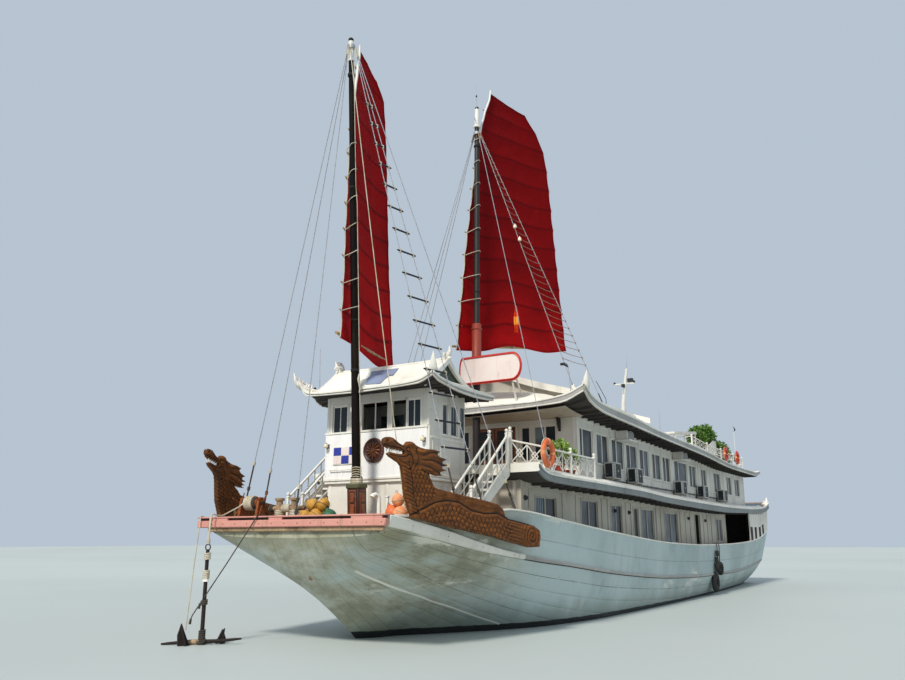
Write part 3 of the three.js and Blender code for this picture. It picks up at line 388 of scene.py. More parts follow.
M = {}
M["hull"] = hull_paint("hull_paint")
M["white"] = painted("white_trim", "#ece9e0", "#dad6ca", "#a5a79c", 0.4, 0.42, 0.15)
M["wall"] = painted("wall_white", "#e6e3d9", "#d6d2c6", "#9c9a90", 0.42, 0.5, 0.0)
M["lowwall"] = painted("lower_wall_grey", "#c2bcad", "#ada696", "#77726a", 0.5, 0.55, 0.1)
M["frontwhite"] = painted("front_panel_white", "#f3f2ef", "#e9e8e4", "#b3ada2", 0.3, 0.45)
M["roof"] = painted("roof_cream", "#f1eee2", "#e3dfd0", "#a29c86", 0.4, 0.6, 0.0, streaks=0.6)
M["fascia"] = painted("fascia_grey", "#aeada8", "#989792", "#6d6b65", 0.6, 0.5, 0.1)
# painted shade: the upper deck's edge is a darker copy of the fascia grey
M["deckfascia"] = painted("deck_fascia_painted_shade", "#8a8f8e", "#797e7d", "#5a5a55", 0.6, 0.5, 0.1)
# painted shade: the undersides of the roofs and deck, with their rafters and beams, are painted near-black for the
# shade under the eaves
M["soffit"] = boards("soffit_boards_painted_shade", "#3f3b38", "#332f2d", "#1c1a19", 0.16, "X", 0.7, 0.3)
M["pink"] = painted("pink_beam", "#cf9384", "#c07d72", "#8d6a58", 0.75, 0.6, 1.0, "#9a7a58")
M["recess"] = simple("dark_recess", "#3a2a28", "#241b1a", 0.7, scale=5)
M["deck"] = boards("deck_boards", "#9a7a5c", "#86684c", "#4a3827", 0.14, "Y", 0.7, 0.45)
M["inner"] = painted("bulwark_inside", "#c9cdc6", "#b9bcb2", "#7b7768", 0.5, 0.55, 0.3)
M["dark"] = painted("mast_black", "#130d0b", "#0d0908", "#32281f", 0.5, 0.7, 0.25, "#523a26", streaks=1.4, spec=0.12)
M["mastbrown"] = painted("mast_brown", "#231815", "#19110f", "#43322a", 0.5, 0.5, 0.2, "#5e4530", streaks=1.4)
M["capwhite"] = painted("mast_white", "#e9e7e0", "#d6d3c9", "#8f887a", 0.4, 0.45, 0.2)
M["sleeve"] = painted("mast_sleeve_red", "#a1432f", "#8c3524", "#4f2118", 0.5, 0.5, 0.3)
M["gold"] = simple("gilt_panel", "#94512a", "#6a341a", 0.4, 0.0, 7, 0.4)
M["tab"] = painted("tabernacle_red", "#421c12", "#2f140e", "#1c0d0a", 0.5, 0.45, 0.35, "#a06a2c")
M["wood"] = wood("varnished_wood", "#8b4f26", "#4f2a14", "#b57436")
M["greywood"] = wood("weathered_wood", "#a58a6a", "#6f5a44", "#c8b394", 0.7, 0.0)
M["bamboo"] = wood("bamboo", "#a98a55", "#6f5730", "#cdb27c", 0.5, 0.1, 1.6, (1, 1, 0.25))
M["carved"] = carved("carved_wood")
M["bronze"] = simple("bronze", "#a5803c", "#6f6a44", 0.38, 0.9, 9, 0.3)
M["iron"] = simple("rusty_iron", "#3b2f2a", "#5a3a26", 0.8, 0.35, 11, 0.7, dist=0.01)
# near-black tarred iron for the anchor, and also the painted shade in the quarter slots
M["ironblack_and_slot_shade"] = simple("tarred_iron_and_slot_shade", "#1f1b19", "#32241b", 0.75, 0.3, 11, 0.7, dist=0.01)
M["tabring"] = painted("tabernacle_ring", "#6d6a45", "#4a4d36", "#2c2c20", 0.5, 0.6)
M["leaflight"] = leaf_mat("leaf_light", "#8fae4a", "#6d8f34", "#b9cc74")
M["rust"] = simple("orange_rust", "#9a5426", "#6d3a20", 0.9, 0.1, 14, 0.7, dist=0.01)
M["steel"] = simple("grey_steel", "#7b7f83", "#5d6064", 0.4, 0.8, 12, 0.2)
M["wire"] = simple("rigging_wire", "#b9bcc0", "#85898e", 0.5, 0.45, 25, 0.2)
M["rope"] = rope_mat("pale_rope", "#d9d0bb", "#b3a684")
M["ratline"] = rope_mat("weathered_ratline", "#a8826a", "#7c5745")
M["darkrope"] = rope_mat("dark_rope", "#4a443c", "#2c2a28")
M["rung"] = simple("rung_navy", "#20263a", "#171a26", 0.6, 0, 10, 0.3)
M["glass"] = glass("window_glass", "#232c33", "#7b8a90")
M["glassdark"] = glass("window_dark", "#12161a", "#232a30")
M["curtain"] = simple("curtain_blue_grey", "#8fa0aa", "#6d7f8a", 0.8, 0, 4, 0.3, stretch=(6, 6, 0.3), dist=0.02)
M["black"] = simple("dark_inside", "#141312", "#1d1b19", 0.9, 0, 3, 0.1)
M["orange"] = simple("buoy_orange", "#e0713a", "#c85a2a", 0.55, 0, 8, 0.3)
M["orangepale"] = simple("buoy_orange_pale", "#eda878", "#d98a58", 0.6, 0, 8, 0.3)
M["doordark"] = painted("door_dark", "#2a211c", "#1d1714", "#3c3028", 0.5, 0.5)
M["deckblue"] = painted("deck_blue_grey", "#4d5a66", "#3c4853", "#2a323a", 0.5, 0.6)
M["red"] = simple("buoy_red", "#c43a28", "#a52c20", 0.55, 0, 8, 0.3)
M["buoywhite"] = simple("buoy_white", "#eae6de", "#cfc9bc", 0.55, 0, 9, 0.2)
M["unit"] = painted("unit_grey", "#dad8d1", "#c6c4bc", "#7c7f80", 0.5, 0.5)
M["unitdark"] = simple("unit_dark", "#2c3236", "#1d2124", 0.5, 0.2, 9, 0.2)
M["rubber"] = simple("rubber", "#1b1b1c", "#2b2a28", 0.85, 0, 12, 0.6)
M["signred"] = painted("sign_red", "#c8352a", "#b62c22", "#7a2018", 0.35, 0.4)
M["signpale"] = painted("sign_pale", "#efe3dc", "#e2d2ca", "#b98a80", 0.4, 0.45)
M["blue"] = simple("check_blue", "#2c3aa0", "#26318a", 0.45, 0, 8, 0.15)
M["gablegreen"] = painted("gable_grey_green", "#58645c", "#48544c", "#2c332e", 0.5, 0.65)
# painted shade: the gable end plates are a grey copy of the white paint
M["gable_shade_grey"] = painted("gable_grey", "#b9b4a8", "#a9a498", "#6f6a5f", 0.45, 0.65)
M["sheetblue"] = painted("sheet_blue_grey", "#8d9ab4", "#74819f", "#4f5973", 0.5, 0.5)
M["float"] = simple("float_yellow", "#c99a3c", "#a5701f", 0.6, 0, 9, 0.3)
M["floatgreen"] = simple("float_green", "#2f6a4a", "#255239", 0.6, 0, 9, 0.3)
M["leaf"] = leaf_mat("leaf_green", "#4f7a22", "#31561a", "#86a93a")
M["leafdark"] = leaf_mat("leaf_dark", "#33521c", "#243d16", "#587a2c")
M["pot"] = painted("planter_white", "#e2e0da", "#d0cdc4", "#8d877a", 0.5, 0.6)
M["bark"] = simple("bark", "#6a543e", "#463728", 0.9, 0, 14, 0.7, dist=0.01)
M["lamp"] = simple("lamp_glass", "#efe6cf", "#d9cba6", 0.25, 0, 5, 0.1, coat=0.4)
M["foresail"] = cloth("sail_fore_red", "#9a060b", "#c00d10", 7.5, 12.5)
M["mainsail"] = cloth("sail_main_red", "#7a0509", "#a60a0e", 8.9, 12.5)
M["flagred"] = cloth("flag_red", "#d2401f", "#d2401f", 8, 9)
M["flagyellow"] = simple("flag_yellow", "#e8a02c", "#d98a20", 0.8, 0, 8, 0.2)


# ------------------------------------------------------------------ mesh building
class Soup:
    """Collects closed solids into one mesh with several materials."""

    def __init__(self):
        self.v, self.f, self.m, self.a = [], [], [], {}

    def add(self, verts, faces, mi=0, mat=None):
        o = len(self.v)
        if mat is None:
            self.v.extend(tuple(map(float, p)) for p in verts)
        else:
            self.v.extend(tuple(mat @ Vector(p)) for p in verts)
        self.f.extend(tuple(i + o for i in f) for f in faces)
        self.m.extend([mi] * len(faces) if isinstance(mi, int) else mi)
        return o

    def box(self, x0, x1, y0, y1, z0, z1, c=0.008, mi=0, mat=None):
        """Box with chamfered edges."""
        x0, x1 = min(x0, x1), max(x0, x1)
        y0, y1 = min(y0, y1), max(y0, y1)
        z0, z1 = min(z0, z1), max(z0, z1)
        c = min(c, (x1 - x0) * 0.3, (y1 - y0) * 0.3, (z1 - z0) * 0.3)
        vs, ix = [], {}
        for sx in (0, 1):
            for sy in (0, 1):
                for sz in (0, 1):
                    X, Y, Z = (x0, x1)[sx], (y0, y1)[sy], (z0, z1)[sz]
                    dx, dy, dz = c * (1 - 2 * sx), c * (1 - 2 * sy), c * (1 - 2 * sz)
                    for k, p in enumerate(((X, Y + dy, Z + dz), (X + dx, Y, Z + dz), (X + dx, Y + dy, Z))):
                        ix[sx, sy, sz, k] = len(vs)
                        vs.append(p)
        fs = []
        for s in (0, 1):
            fs.append([ix[s, a, b, 0] for a, b in ((0, 0), (1, 0), (1, 1), (0, 1))])
            fs.append([ix[a, s, b, 1] for a, b in ((0, 0), (1, 0), (1, 1), (0, 1))])
            fs.append([ix[a, b, s, 2] for a, b in ((0, 0), (1, 0), (1, 1), (0, 1))])
        for a in (0, 1):
            for b in (0, 1):
                fs.append([ix[a, b, 0, 0], ix[a, b, 1, 0], ix[a, b, 1, 1], ix[a, b, 0, 1]])
                fs.append([ix[a, 0, b, 0], ix[a, 1, b, 0], ix[a, 1, b, 2], ix[a, 0, b, 2]])
                fs.append([ix[0, a, b, 1], ix[1, a, b, 1], ix[1, a, b, 2], ix[0, a, b, 2]])
                for d in (0, 1):
                    fs.append([ix[a, b, d, 0], ix[a, b, d, 1], ix[a, b, d, 2]])
        self.add(vs, fs, mi, mat)

    def bar(self, p, q, w, h, c=0.006, mi=0, up=(0, 0, 1)):
        """Chamfered square bar from p to q, w across and h along up."""
        p, q = Vector(p), Vector(q)
        d = q - p
        L = d.length
        ex = d / L
        ey = Vector(up).cross(ex)
        if ey.length < 1e-6:
            ey = Vector((0, 1, 0))
        ey.normalize()
        ez = ex.cross(ey)
        m = Matrix((ex, ey, ez)).transposed().to_4x4()
        m.translation = p
        self.box(0, L, -w / 2, w / 2, -h / 2, h / 2, c, mi, m)

    def rings(self, rings, mi=0, cap=True, closed=False):
        """Loft between rings of equal length; mi is an index or a list for each ring segment."""
        n = len(rings[0])
        vs = [p for r in rings for p in r]
        fs, ms = [], []
        last = len(rings) if closed else len(rings) - 1
        for i in range(last):
            a, b = i * n, ((i + 1) % len(rings)) * n
            for j in range(n):
                k = (j + 1) % n
                fs.append((a + j, a + k, b + k, b + j))
                ms.append(mi if isinstance(mi, int) else mi[j])
        if cap and not closed:
            base = mi if isinstance(mi, int) else mi[0]
            fs.append(tuple(range(n)))
            fs.append(tuple((len(rings) - 1) * n + j for j in range(n)))
            ms += [base, base]
        return self.add(vs, fs, ms)

    def tube(self, path, r, n=8, mi=0, closed=False, flat=1.0):
        """Round tube along a path; r is a number or one for each point."""
        pts = [Vector(p) for p in path]
        rr = [r] * len(pts) if np.isscalar(r) else list(r)
        t0 = (pts[1] - pts[0]).normalized()
        ref = Vector((0, 0, 1)) if abs(t0.z) < 0.9 else Vector((1, 0, 0))
        u = t0.cross(ref).normalized()
        rings = []
        for i, p in enumerate(pts):
            if closed:
                t = pts[(i + 1) % len(pts)] - pts[i - 1]
            else:
                t = pts[min(i + 1, len(pts) - 1)] - pts[max(i - 1, 0)]
            t.normalize()
            u = (u - t * u.dot(t)).normalized()
            w = t.cross(u)
            rings.append([p + (u * math.cos(a) + w * math.sin(a) * flat) * rr[i] for a in (2 * math.pi * k / n for k in range(n))])
        self.rings(rings, mi, True, closed)

    def lathe(self, prof, mat=None, n=16, mi=0):
        """Turned solid: prof is (radius, height) from bottom to top, about z."""
        rings = []
        for r, h in prof:
            r = max(r, 0.0006)
            rings.append([(r * math.cos(2 * math.pi * k / n), r * math.sin(2 * math.pi * k / n), h) for k in range(n)])
        o = len(self.v)
        self.rings(rings, mi)
        if mat is not None:
            for i in range(o, len(self.v)):
                self.v[i] = tuple(mat @ Vector(self.v[i]))

    def plate(self, outline, place, thick, mi=0, c=0.0):
        """Flat shape (a, b) with thickness along the third axis; place turns (a, b, t) into a point."""
        n = len(outline)
        rings = [[place(a, b, -thick / 2) for a, b in outline], [place(a, b, thick / 2) for a, b in outline]]
        self.rings(rings, mi)

    def sheet(self, grid, thick, mi=0, attr=None, normal=None):
        """Closed thin solid from a grid of points, thickened along its normal."""
        g = np.array(grid, float)
        nu, nv = g.shape[:2]
        if normal is None:
            du = np.gradient(g, axis=0)
            dv = np.gradient(g, axis=1)
            nn = np.cross(du, dv)
            nn /= np.linalg.norm(nn, axis=2)[..., None] + 1e-12
        else:
            nn = np.broadcast_to(np.array(normal, float), g.shape)
        a = (g + nn * thick / 2).reshape(-1, 3)
        b = (g - nn * thick / 2).reshape(-1, 3)
        vs = np.concatenate([a, b])
        N = nu * nv
        fs = []
        for i in range(nu - 1):
            for j in range(nv - 1):
                p, q, r, s = i * nv + j, i * nv + j + 1, (i + 1) * nv + j + 1, (i + 1) * nv + j
                fs.append((p, q, r, s))
                fs.append((N + s, N + r, N + q, N + p))
        edge = [i * nv for i in range(nu)] + [(nu - 1) * nv + j for j in range(1, nv)] + [i * nv + nv - 1 for i in range(nu - 2, -1, -1)] + [j for j in range(nv - 2, 0, -1)]
        for p, q in zip(edge, edge[1:] + edge[:1]):
            fs.append((p, q, N + q, N + p))
        return self.add(vs, fs, mi)

    def make(self, name, mats, body="hull_body", slot=None, replaces=(), smooth=38, attrs=None):
        me = bpy.data.meshes.new(name)
        me.from_pydata(self.v, [], self.f)
        for m in mats:
            me.materials.append(M[m] if isinstance(m, str) else m)
        me.polygons.foreach_set("material_index", self.m)
        bm = bmesh.new()
        bm.from_mesh(me)
        bmesh.ops.recalc_face_normals(bm, faces=bm.faces)
        big = [f for f in bm.faces if len(f.verts) > 4]
        if big:
            bmesh.ops.triangulate(bm, faces=big)
        bm.to_mesh(me)
        bm.free()
        for key, vals in (attrs or {}).items():
            at = me.attributes.new(key, "FLOAT", "POINT")
            at.data.foreach_set("value", [float(v) for v in vals])
        me.shade_smooth()
        me.set_sharp_from_angle(angle=math.radians(smooth))
        ob = bpy.data.objects.new(name, me)
        bpy.context.scene.collection.objects.link(ob)
        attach(ob, body)
        if replaces:
            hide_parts(*replaces)
        return ob


def pchip(xs, ys):
    """Smooth monotone curve through points with rising xs."""
    xs, ys = np.array(xs, float), np.array(ys, float)
    h, n = np.diff(xs), len(xs)
    d = np.diff(ys) / h
    m = np.zeros(n)
    for i in range(1, n - 1):
        if d[i - 1] * d[i] > 0:
            w1, w2 = 2 * h[i] + h[i - 1], h[i] + 2 * h[i - 1]
            m[i] = (w1 + w2) / (w1 / d[i - 1] + w2 / d[i])
    m[0], m[-1] = d[0], d[-1]

    def f(x):
        x = min(max(x, xs[0]), xs[-1])
        i = min(max(int(np.searchsorted(xs, x)) - 1, 0), n - 2)
        t = (x - xs[i]) / h[i]
        return ((1 + 2 * t) * (1 - t) ** 2 * ys[i] + t * (1 - t) ** 2 * h[i] * m[i] + t * t * (3 - 2 * t) * ys[i + 1] + t * t * (t - 1) * h[i] * m[i + 1])
    return f


def table(rows):
    """Smooth row of a table whose first column falls."""
    rows = sorted(rows, key=lambda r: r[0])
    xs = [r[0] for r in rows]
    cols = [pchip(xs, [r[k] for r in rows]) for k in range(1, len(rows[0]))]
    return lambda x: [c(x) for c in cols]


lerp = lambda a, b, t: a + (b - a) * t
SIDES = (("port", 1), ("starboard", -1))


# ------------------------------------------------------------------ hull
# station x, keel z, bilge, waterline, topside, wale and rail points as half breadth, height
HULL = [
    [20.00, 2.45, 1.70, 2.48, 2.35, 2.54, 2.55, 2.58, 2.68, 2.68, 2.74, 2.92], [19.44, 1.60, 0.75, 1.69, 1.45, 1.90, 2.20, 2.22, 2.70, 2.56, 2.82, 2.92],
    [18.70, 0.93, 0.45, 1.13, 1.10, 1.46, 2.00, 1.95, 2.76, 2.48, 2.94, 2.92], [18.10, 0.47, 0.35, 0.72, 0.95, 1.08, 1.95, 1.70, 2.84, 2.40, 3.05, 2.93],
    [17.60, 0.12, 0.30, 0.34, 0.85, 0.72, 1.95, 1.50, 2.92, 2.30, 3.14, 2.94], [16.70, -0.60, 0.20, -0.28, 0.42, 0.02, 2.00, 1.22, 3.08, 2.16, 3.34, 3.00],
    [15.70, -1.05, 0.55, -0.55, 1.00, 0.00, 2.35, 1.10, 3.24, 2.02, 3.50, 3.16], [14.70, -1.30, 1.00, -0.78, 1.62, 0.00, 2.70, 0.98, 3.38, 1.90, 3.60, 3.12],
    [13.60, -1.42, 1.50, -0.95, 2.25, 0.00, 3.00, 0.88, 3.48, 1.79, 3.68, 3.02], [12.00, -1.50, 2.10, -1.10, 2.85, 0.00, 3.28, 0.80, 3.58, 1.65, 3.76, 2.87],
    [8.70, -1.50, 2.60, -1.20, 3.28, 0.00, 3.48, 0.65, 3.65, 1.34, 3.80, 2.62], [2.50, -1.50, 2.70, -1.20, 3.35, 0.00, 3.52, 0.50, 3.65, 0.98, 3.78, 2.28],
    [-3.00, -1.50, 2.62, -1.15, 3.22, 0.00, 3.42, 0.45, 3.58, 0.86, 3.73, 2.19], [-8.00, -1.50, 2.35, -1.00, 2.98, 0.00, 3.25, 0.42, 3.46, 0.84, 3.67, 2.22],
    [-12.0, -1.40, 1.95, -0.75, 2.70, 0.00, 3.04, 0.45, 3.33, 0.92, 3.60, 2.32], [-15.0, -0.48, 1.50, -0.38, 2.42, 0.05, 2.84, 0.52, 3.20, 1.06, 3.52, 2.50],
    [-17.2, -0.16, 1.30, -0.10, 2.20, 0.18, 2.70, 0.66, 3.10, 1.24, 3.46, 2.80], [-19.2, 0.10, 1.20, 0.20, 2.05, 0.42, 2.60, 0.90, 3.02, 1.50, 3.40, 3.35],
]
FORE_DECK, MAIN_DECK, DECK_BREAK = 2.80, 1.62, 14.55
hull_row = table(HULL)


def section(x):
    """Smooth section at x: v from 0 at the keel to 1 at the wale and 2 at the rail gives half breadth, height."""
    zk, b1, z1, b2, z2, bm, zm, b3, z3, b4, z4 = hull_row(x)
    p = [(0, zk), (b1, z1), (b2, z2), (bm, zm), (b3, z3)]
    d = [0]
    for (a, b), (c, e) in zip(p, p[1:]):
        d.append(d[-1] + max(math.hypot(c - a, e - b), 1e-4))
    d = [t / d[-1] for t in d]
    fb, fz = pchip(d, [q[0] for q in p]), pchip(d, [q[1] for q in p])
    return lambda v: (fb(v), fz(v)) if v <= 1 else (lerp(b3, b4, v - 1), lerp(z3, z4, v - 1))


_sec = {}


def half_breadth(x, z):
    key = round(x, 3)
    if key not in _sec:
        s = section(x)
        _sec[key] = [s(v) for v in np.linspace(0, 2, 81)]
    pts = _sec[key]
    return float(np.interp(z, [p[1] for p in pts], [p[0] for p in pts]))


def rail_top(x):
    return hull_row(x)[10]


def transom_x(z):
    return -16.9 - 1.45 * (z + 0.2) / 3.4


def make_hull():
    strakes = 13
    vs, seams = [0.0], [0.0]
    for k in range(strakes):  # between the keel and the wale
        a, b, e = k / strakes, (k + 1) / strakes, 0.0028
        if k:
            vs += [a + e]
            seams += [0.0]
        vs += [a + (b - a) * 0.35, a + (b - a) * 0.7, b - e]
        seams += [0, 0, 0]
        if k < strakes - 1:
            vs.append(b)
            seams.append(1.0 if k in (8, 11) else 0.55)
    vs += [1.0, 1.04, 1.30, 1.47, 1.485, 1.50, 1.75, 1.96, 2.0]
    seams += [0.9, 0, 0, 0, 0.5, 0, 0, 0, 0]
    groove = {round(v, 5): (0.007 if s > 0.9 else 0.005) for v, s in zip(vs, seams) if s > 0}

    def outer(x_of_z, side):
        pts = []
        for v in vs:
            x = x_of_z(1.0)
            for _ in range(4):
                b, z = section_at(x)(v)
                x = x_of_z(z)
            g = groove.get(round(v, 5), 0.0)
            pts.append((x, side * max(b - g, 0.0), z))
        return pts
    cache = {}

    def section_at(x):
        k = round(x, 4)
        if k not in cache:
            cache[k] = section(x)
        return cache[k]

    def ring(x_of_z, deck, wall):
        """deck None closes the top at the rail."""
        port = outer(x_of_z, 1)
        star = [(p[0], -p[1], p[2]) for p in port]
        b4, z4 = port[-1][1], port[-1][2]
        x = x_of_z(z4)
        if deck is None:
            ins = [(b4 - 0.02, z4), (b4 - 0.04, z4), (b4 * 0.6, z4 + 0.006), (0.0, z4 + 0.01)]
            mid = [(x, b, z) for b, z in ins]
        else:
            xd = x_of_z(deck)
            b0 = half_breadth(xd, deck) - wall
            ins = [(x, b4 - wall, z4), (xd, min(b0, b4 - wall), deck + 0.002), (xd, b0 * 0.6, deck + 0.018), (xd, 0.0, deck + 0.025)]
            mid = ins
        inner_port = mid
        inner_star = [(p[0], -p[1], p[2]) for p in mid[:-1]][::-1]
        return port + inner_port + inner_star + star[::-1][:-1]

    xs = [20.0, 19.93, 19.82]
    x = 19.79
    while x > DECK_BREAK + 0.2:
        xs.append(x)
        x -= 0.22
    fore = xs + [DECK_BREAK + 0.005]
    aft = [DECK_BREAK - 0.005]
    x = DECK_BREAK - 0.3
    while x > -14.6:
        aft.append(x)
        x -= 0.42
    rings = []
    for x in fore:
        rings.append(ring(lambda z, x=x: x, None if x > 19.80 else FORE_DECK, 0.10))
    for x in aft:
        rings.append(ring(lambda z, x=x: x, MAIN_DECK, 0.09))
    x_last = aft[-1]
    for f in (0.12, 0.25, 0.4, 0.55, 0.7, 0.82, 0.92, 0.962):
        rings.append(ring(lambda z, f=f: lerp(x_last, transom_x(z), f), MAIN_DECK, 0.09))
    for f in (0.966, 1.0):
        rings.append(ring(lambda z, f=f: lerp(x_last, transom_x(z), f), None, 0.09))
    n = len(vs)
    seg = [0] * (n - 1) + [2, 2, 1, 1] + [1, 1, 2, 2] + [0] * (n - 1)
    seg = seg[:len(rings[0])] + [0] * (len(rings[0]) - len(seg))
    s = Soup()
    s.rings(rings, seg)
    half = seams + [0, 0, 0, 0] + [0, 0, 0] + seams[::-1][:-1]
    s.make("hull_planking", ["hull", "deck", "inner"], slot="hull_paint", replaces=("hull", "bulwark_port", "bulwark_starboard", "bulwark_stern"),
           smooth=28, attrs={"seam": half * len(rings)})


make_hull()

# rub strake: station x, bottom z, top z
STRAKE = [[19.93, 2.70, 2.94], [19.20, 2.60, 2.84], [17.9, 2.37, 2.62], [16.7, 2.16, 2.36], [15.5, 2.00, 2.14], [14.0, 1.83, 1.95], [12.0, 1.65, 1.76],
          [8.7, 1.34, 1.45], [2.5, 0.98, 1.09], [-3.0, 0.86, 0.97], [-8.0, 0.84, 0.95], [-12.0, 0.92, 1.03], [-15.0, 1.06, 1.17], [-17.3, 1.22, 1.33]]
strake_row = table(STRAKE)


def belt(s, x0, x1, lo_hi, w, side, mi=0, step=0.3, base=-0.012):
    """Chamfered board bent along the hull side between two heights."""
    rings = []
    n = max(2, int(abs(x1 - x0) / step))
    for i in range(n + 1):
        x = lerp(x0, x1, i / n)
        lo, hi = lo_hi(x)
        c = min(0.018, (hi - lo) * 0.25)
        y0, y1 = half_breadth(x, lo), half_breadth(x, hi)
        yc0, yc1 = lerp(y0, y1, c / (hi - lo)), lerp(y1, y0, c / (hi - lo))
        pts = [(y0 + base, lo), (y0 + w - c, lo), (yc0 + w, lo + c), (yc1 + w, hi - c), (y1 + w - c, hi), (y1 + base, hi)]
        rings.append([(x, side * y, z) for y, z in pts])
    s.rings(rings, mi)


for name, sd in SIDES:
    s = Soup()
    belt(s, 19.96, 14.75, lambda x: strake_row(x), 0.085, sd, 0, 0.2)
    belt(s, 14.70, -17.25, lambda x: (strake_row(x)[0] + 0.015, strake_row(x)[1] - 0.005), 0.05, sd, 1)
    # painted shadow: a thin dark strip along the bottom edge of the rub strake
    belt(s, 14.70, -17.25, lambda x: (strake_row(x)[0] - 0.008, strake_row(x)[0] + 0.012), 0.02, sd, 2)
    for k in range(20):  # bolt heads of the bow strake
        x = 19.7 - 0.26 * k
        lo, hi = strake_row(x)
        z = (lo + hi) / 2
        y = half_breadth(x, z) + 0.085
        m = Matrix.Translation((x, sd * y, z)) @ Matrix.Rotation(-sd * math.pi / 2, 4, "X")
        s.lathe([(0.0, -0.01), (0.014, -0.01), (0.014, 0.003), (0.010, 0.006), (0, 0.007)], m, 8, 3 if k % 5 == 2 else 0)
    s.make(f"strake_{name}", ["white", "fascia", "recess", "rust"], slot="trim_paint", replaces=(f"rub_strake_{name}",))

# capping rail round the top of the bulwark, and the painted line low on the bow
s = Soup()
for sd in (1, -1):
    xs = list(np.arange(19.86, -17.9, -0.3)) + [-18.05]
    rings = []
    for x in xs:
        b, z = hull_row(x)[9], hull_row(x)[10]
        pts = [(b - 0.115, z - 0.012), (b + 0.022, z - 0.012), (b + 0.034, z), (b + 0.034, z + 0.022), (b + 0.022, z + 0.034), (b - 0.115, z + 0.034), (b - 0.125, z + 0.024), (b - 0.125, z - 0.002)]
        rings.append([(x, sd * y, zz) for y, zz in pts])
    s.rings(rings, 0)
b, z = 3.40, 3.14
s.box(-18.40, -18.20, -b, b, z - 0.02, z + 0.05, 0.014, 0)
s.make("capping_rail", ["white"], slot="trim_paint")
s = Soup()
LINE = [(19.17, 1.71), (18.5, 1.49), (17.68, 1.22), (16.8, 0.98), (15.84, 0.72), (14.9, 0.44), (13.95, 0.17)]
ln = pchip([p[0] for p in LINE][::-1], [p[1] for p in LINE][::-1])
for sd in (1, -1):
    belt(s, 19.17, 13.95, lambda x: (ln(x) - 0.018, ln(x) + 0.018), 0.014, sd, 0, 0.12, -0.006)
s.make("bow_batten", ["white"], slot="trim_paint")

# pink beam across the bow
s = Soup()
s.box(20.002, 20.155, -3.02, 2.80, 2.700, 2.872, 0.022, 0)
# painted shade: the board set back in the groove under the top lip is coloured dark
s.box(20.002, 20.070, -2.98, 2.76, 2.865, 2.945, 0.004, 1)
s.box(19.80, 20.155, -3.02, 2.80, 2.928, 2.965, 0.014, 0)
for y0, y1 in ((-2.50, -1.98), (-0.62, -0.20), (1.85, 2.70)):
    s.box(20.002, 20.135, y0, y1, 2.868, 2.932, 0.006, 0)
for y in np.linspace(-2.9, 2.7, 15):
    m = Matrix.Translation((20.155, y, 2.785)) @ Matrix.Rotation(math.pi / 2, 4, "Y")
    s.lathe([(0, -0.01), (0.016, -0.01), (0.016, 0.003), (0.01, 0.0045), (0, 0.005)], m, 8, 2)
s.box(19.98, 20.09, -2.70, 2.70, 2.60, 2.705, 0.02, 3)
s.make("bow_crossbeam", ["pink", "recess", "rust", "greywood"], slot="pink_paint", replaces=("bow_beam",))


# ------------------------------------------------------------------ decks and roofs
def roof_solid(s, rows, xs, ny, mi_top, mi_under, mi_edge, lift=0.0, front_dip=None):
    """Cambered roof: table rows are half width, underside z at the middle, corner upturn, eave thickness, crown height."""
    at = table(rows)
    rings = []
    for x in xs:
        b, z, up, t, crown = at(x)
        top = pchip([0, 0.5, 0.85, 1.0], [z + max(t, crown), z + max(t, 0.75 * crown), z + 0.35 * up + t + 0.06 * crown, z + up + t])
        bot = pchip([0, 0.8, 1.0], [z, z + 0.25 * up, z + up])
        ys = [math.sin(math.pi / 2 * k / ny) for k in range(ny + 1)]
        port_top = [(x, b * y, top(y) + lift) for y in ys][::-1]
        port_bot = [(x, b * y, bot(y)) for y in ys]
        ring = port_bot[:-1] + [port_bot[-1]] + port_top[:-1] + [port_top[-1]]
        ring += [(x, -p[1], p[2]) for p in port_top[::-1][1:]] + [(x, -p[1], p[2]) for p in port_bot[::-1][:-1]]
        rings.append(ring)
    n = ny + 1
    seg = [mi_under] * (n - 1) + [mi_edge] + [mi_top] * (2 * (n - 1)) + [mi_edge] + [mi_under] * (n - 1)
    base = s.rings(rings, seg)
    k = len(s.m)
    s.m[k - 1] = s.m[k - 2] = mi_edge
    return at


def roof_height(at, x, y):
    b, z, up, t, crown = at(x)
    f = min(1.0, abs(y) / b)
    return pchip([0, 0.5, 0.85, 1.0], [z + max(t, crown), z + max(t, 0.75 * crown), z + 0.35 * up + t + 0.06 * crown, z + up + t])(f)


def roof_under(at, x, y):
    b, z, up, t, crown = at(x)
    return pchip([0, 0.8, 1.0], [z, z + 0.25 * up, z + up])(min(1.0, abs(y) / b))


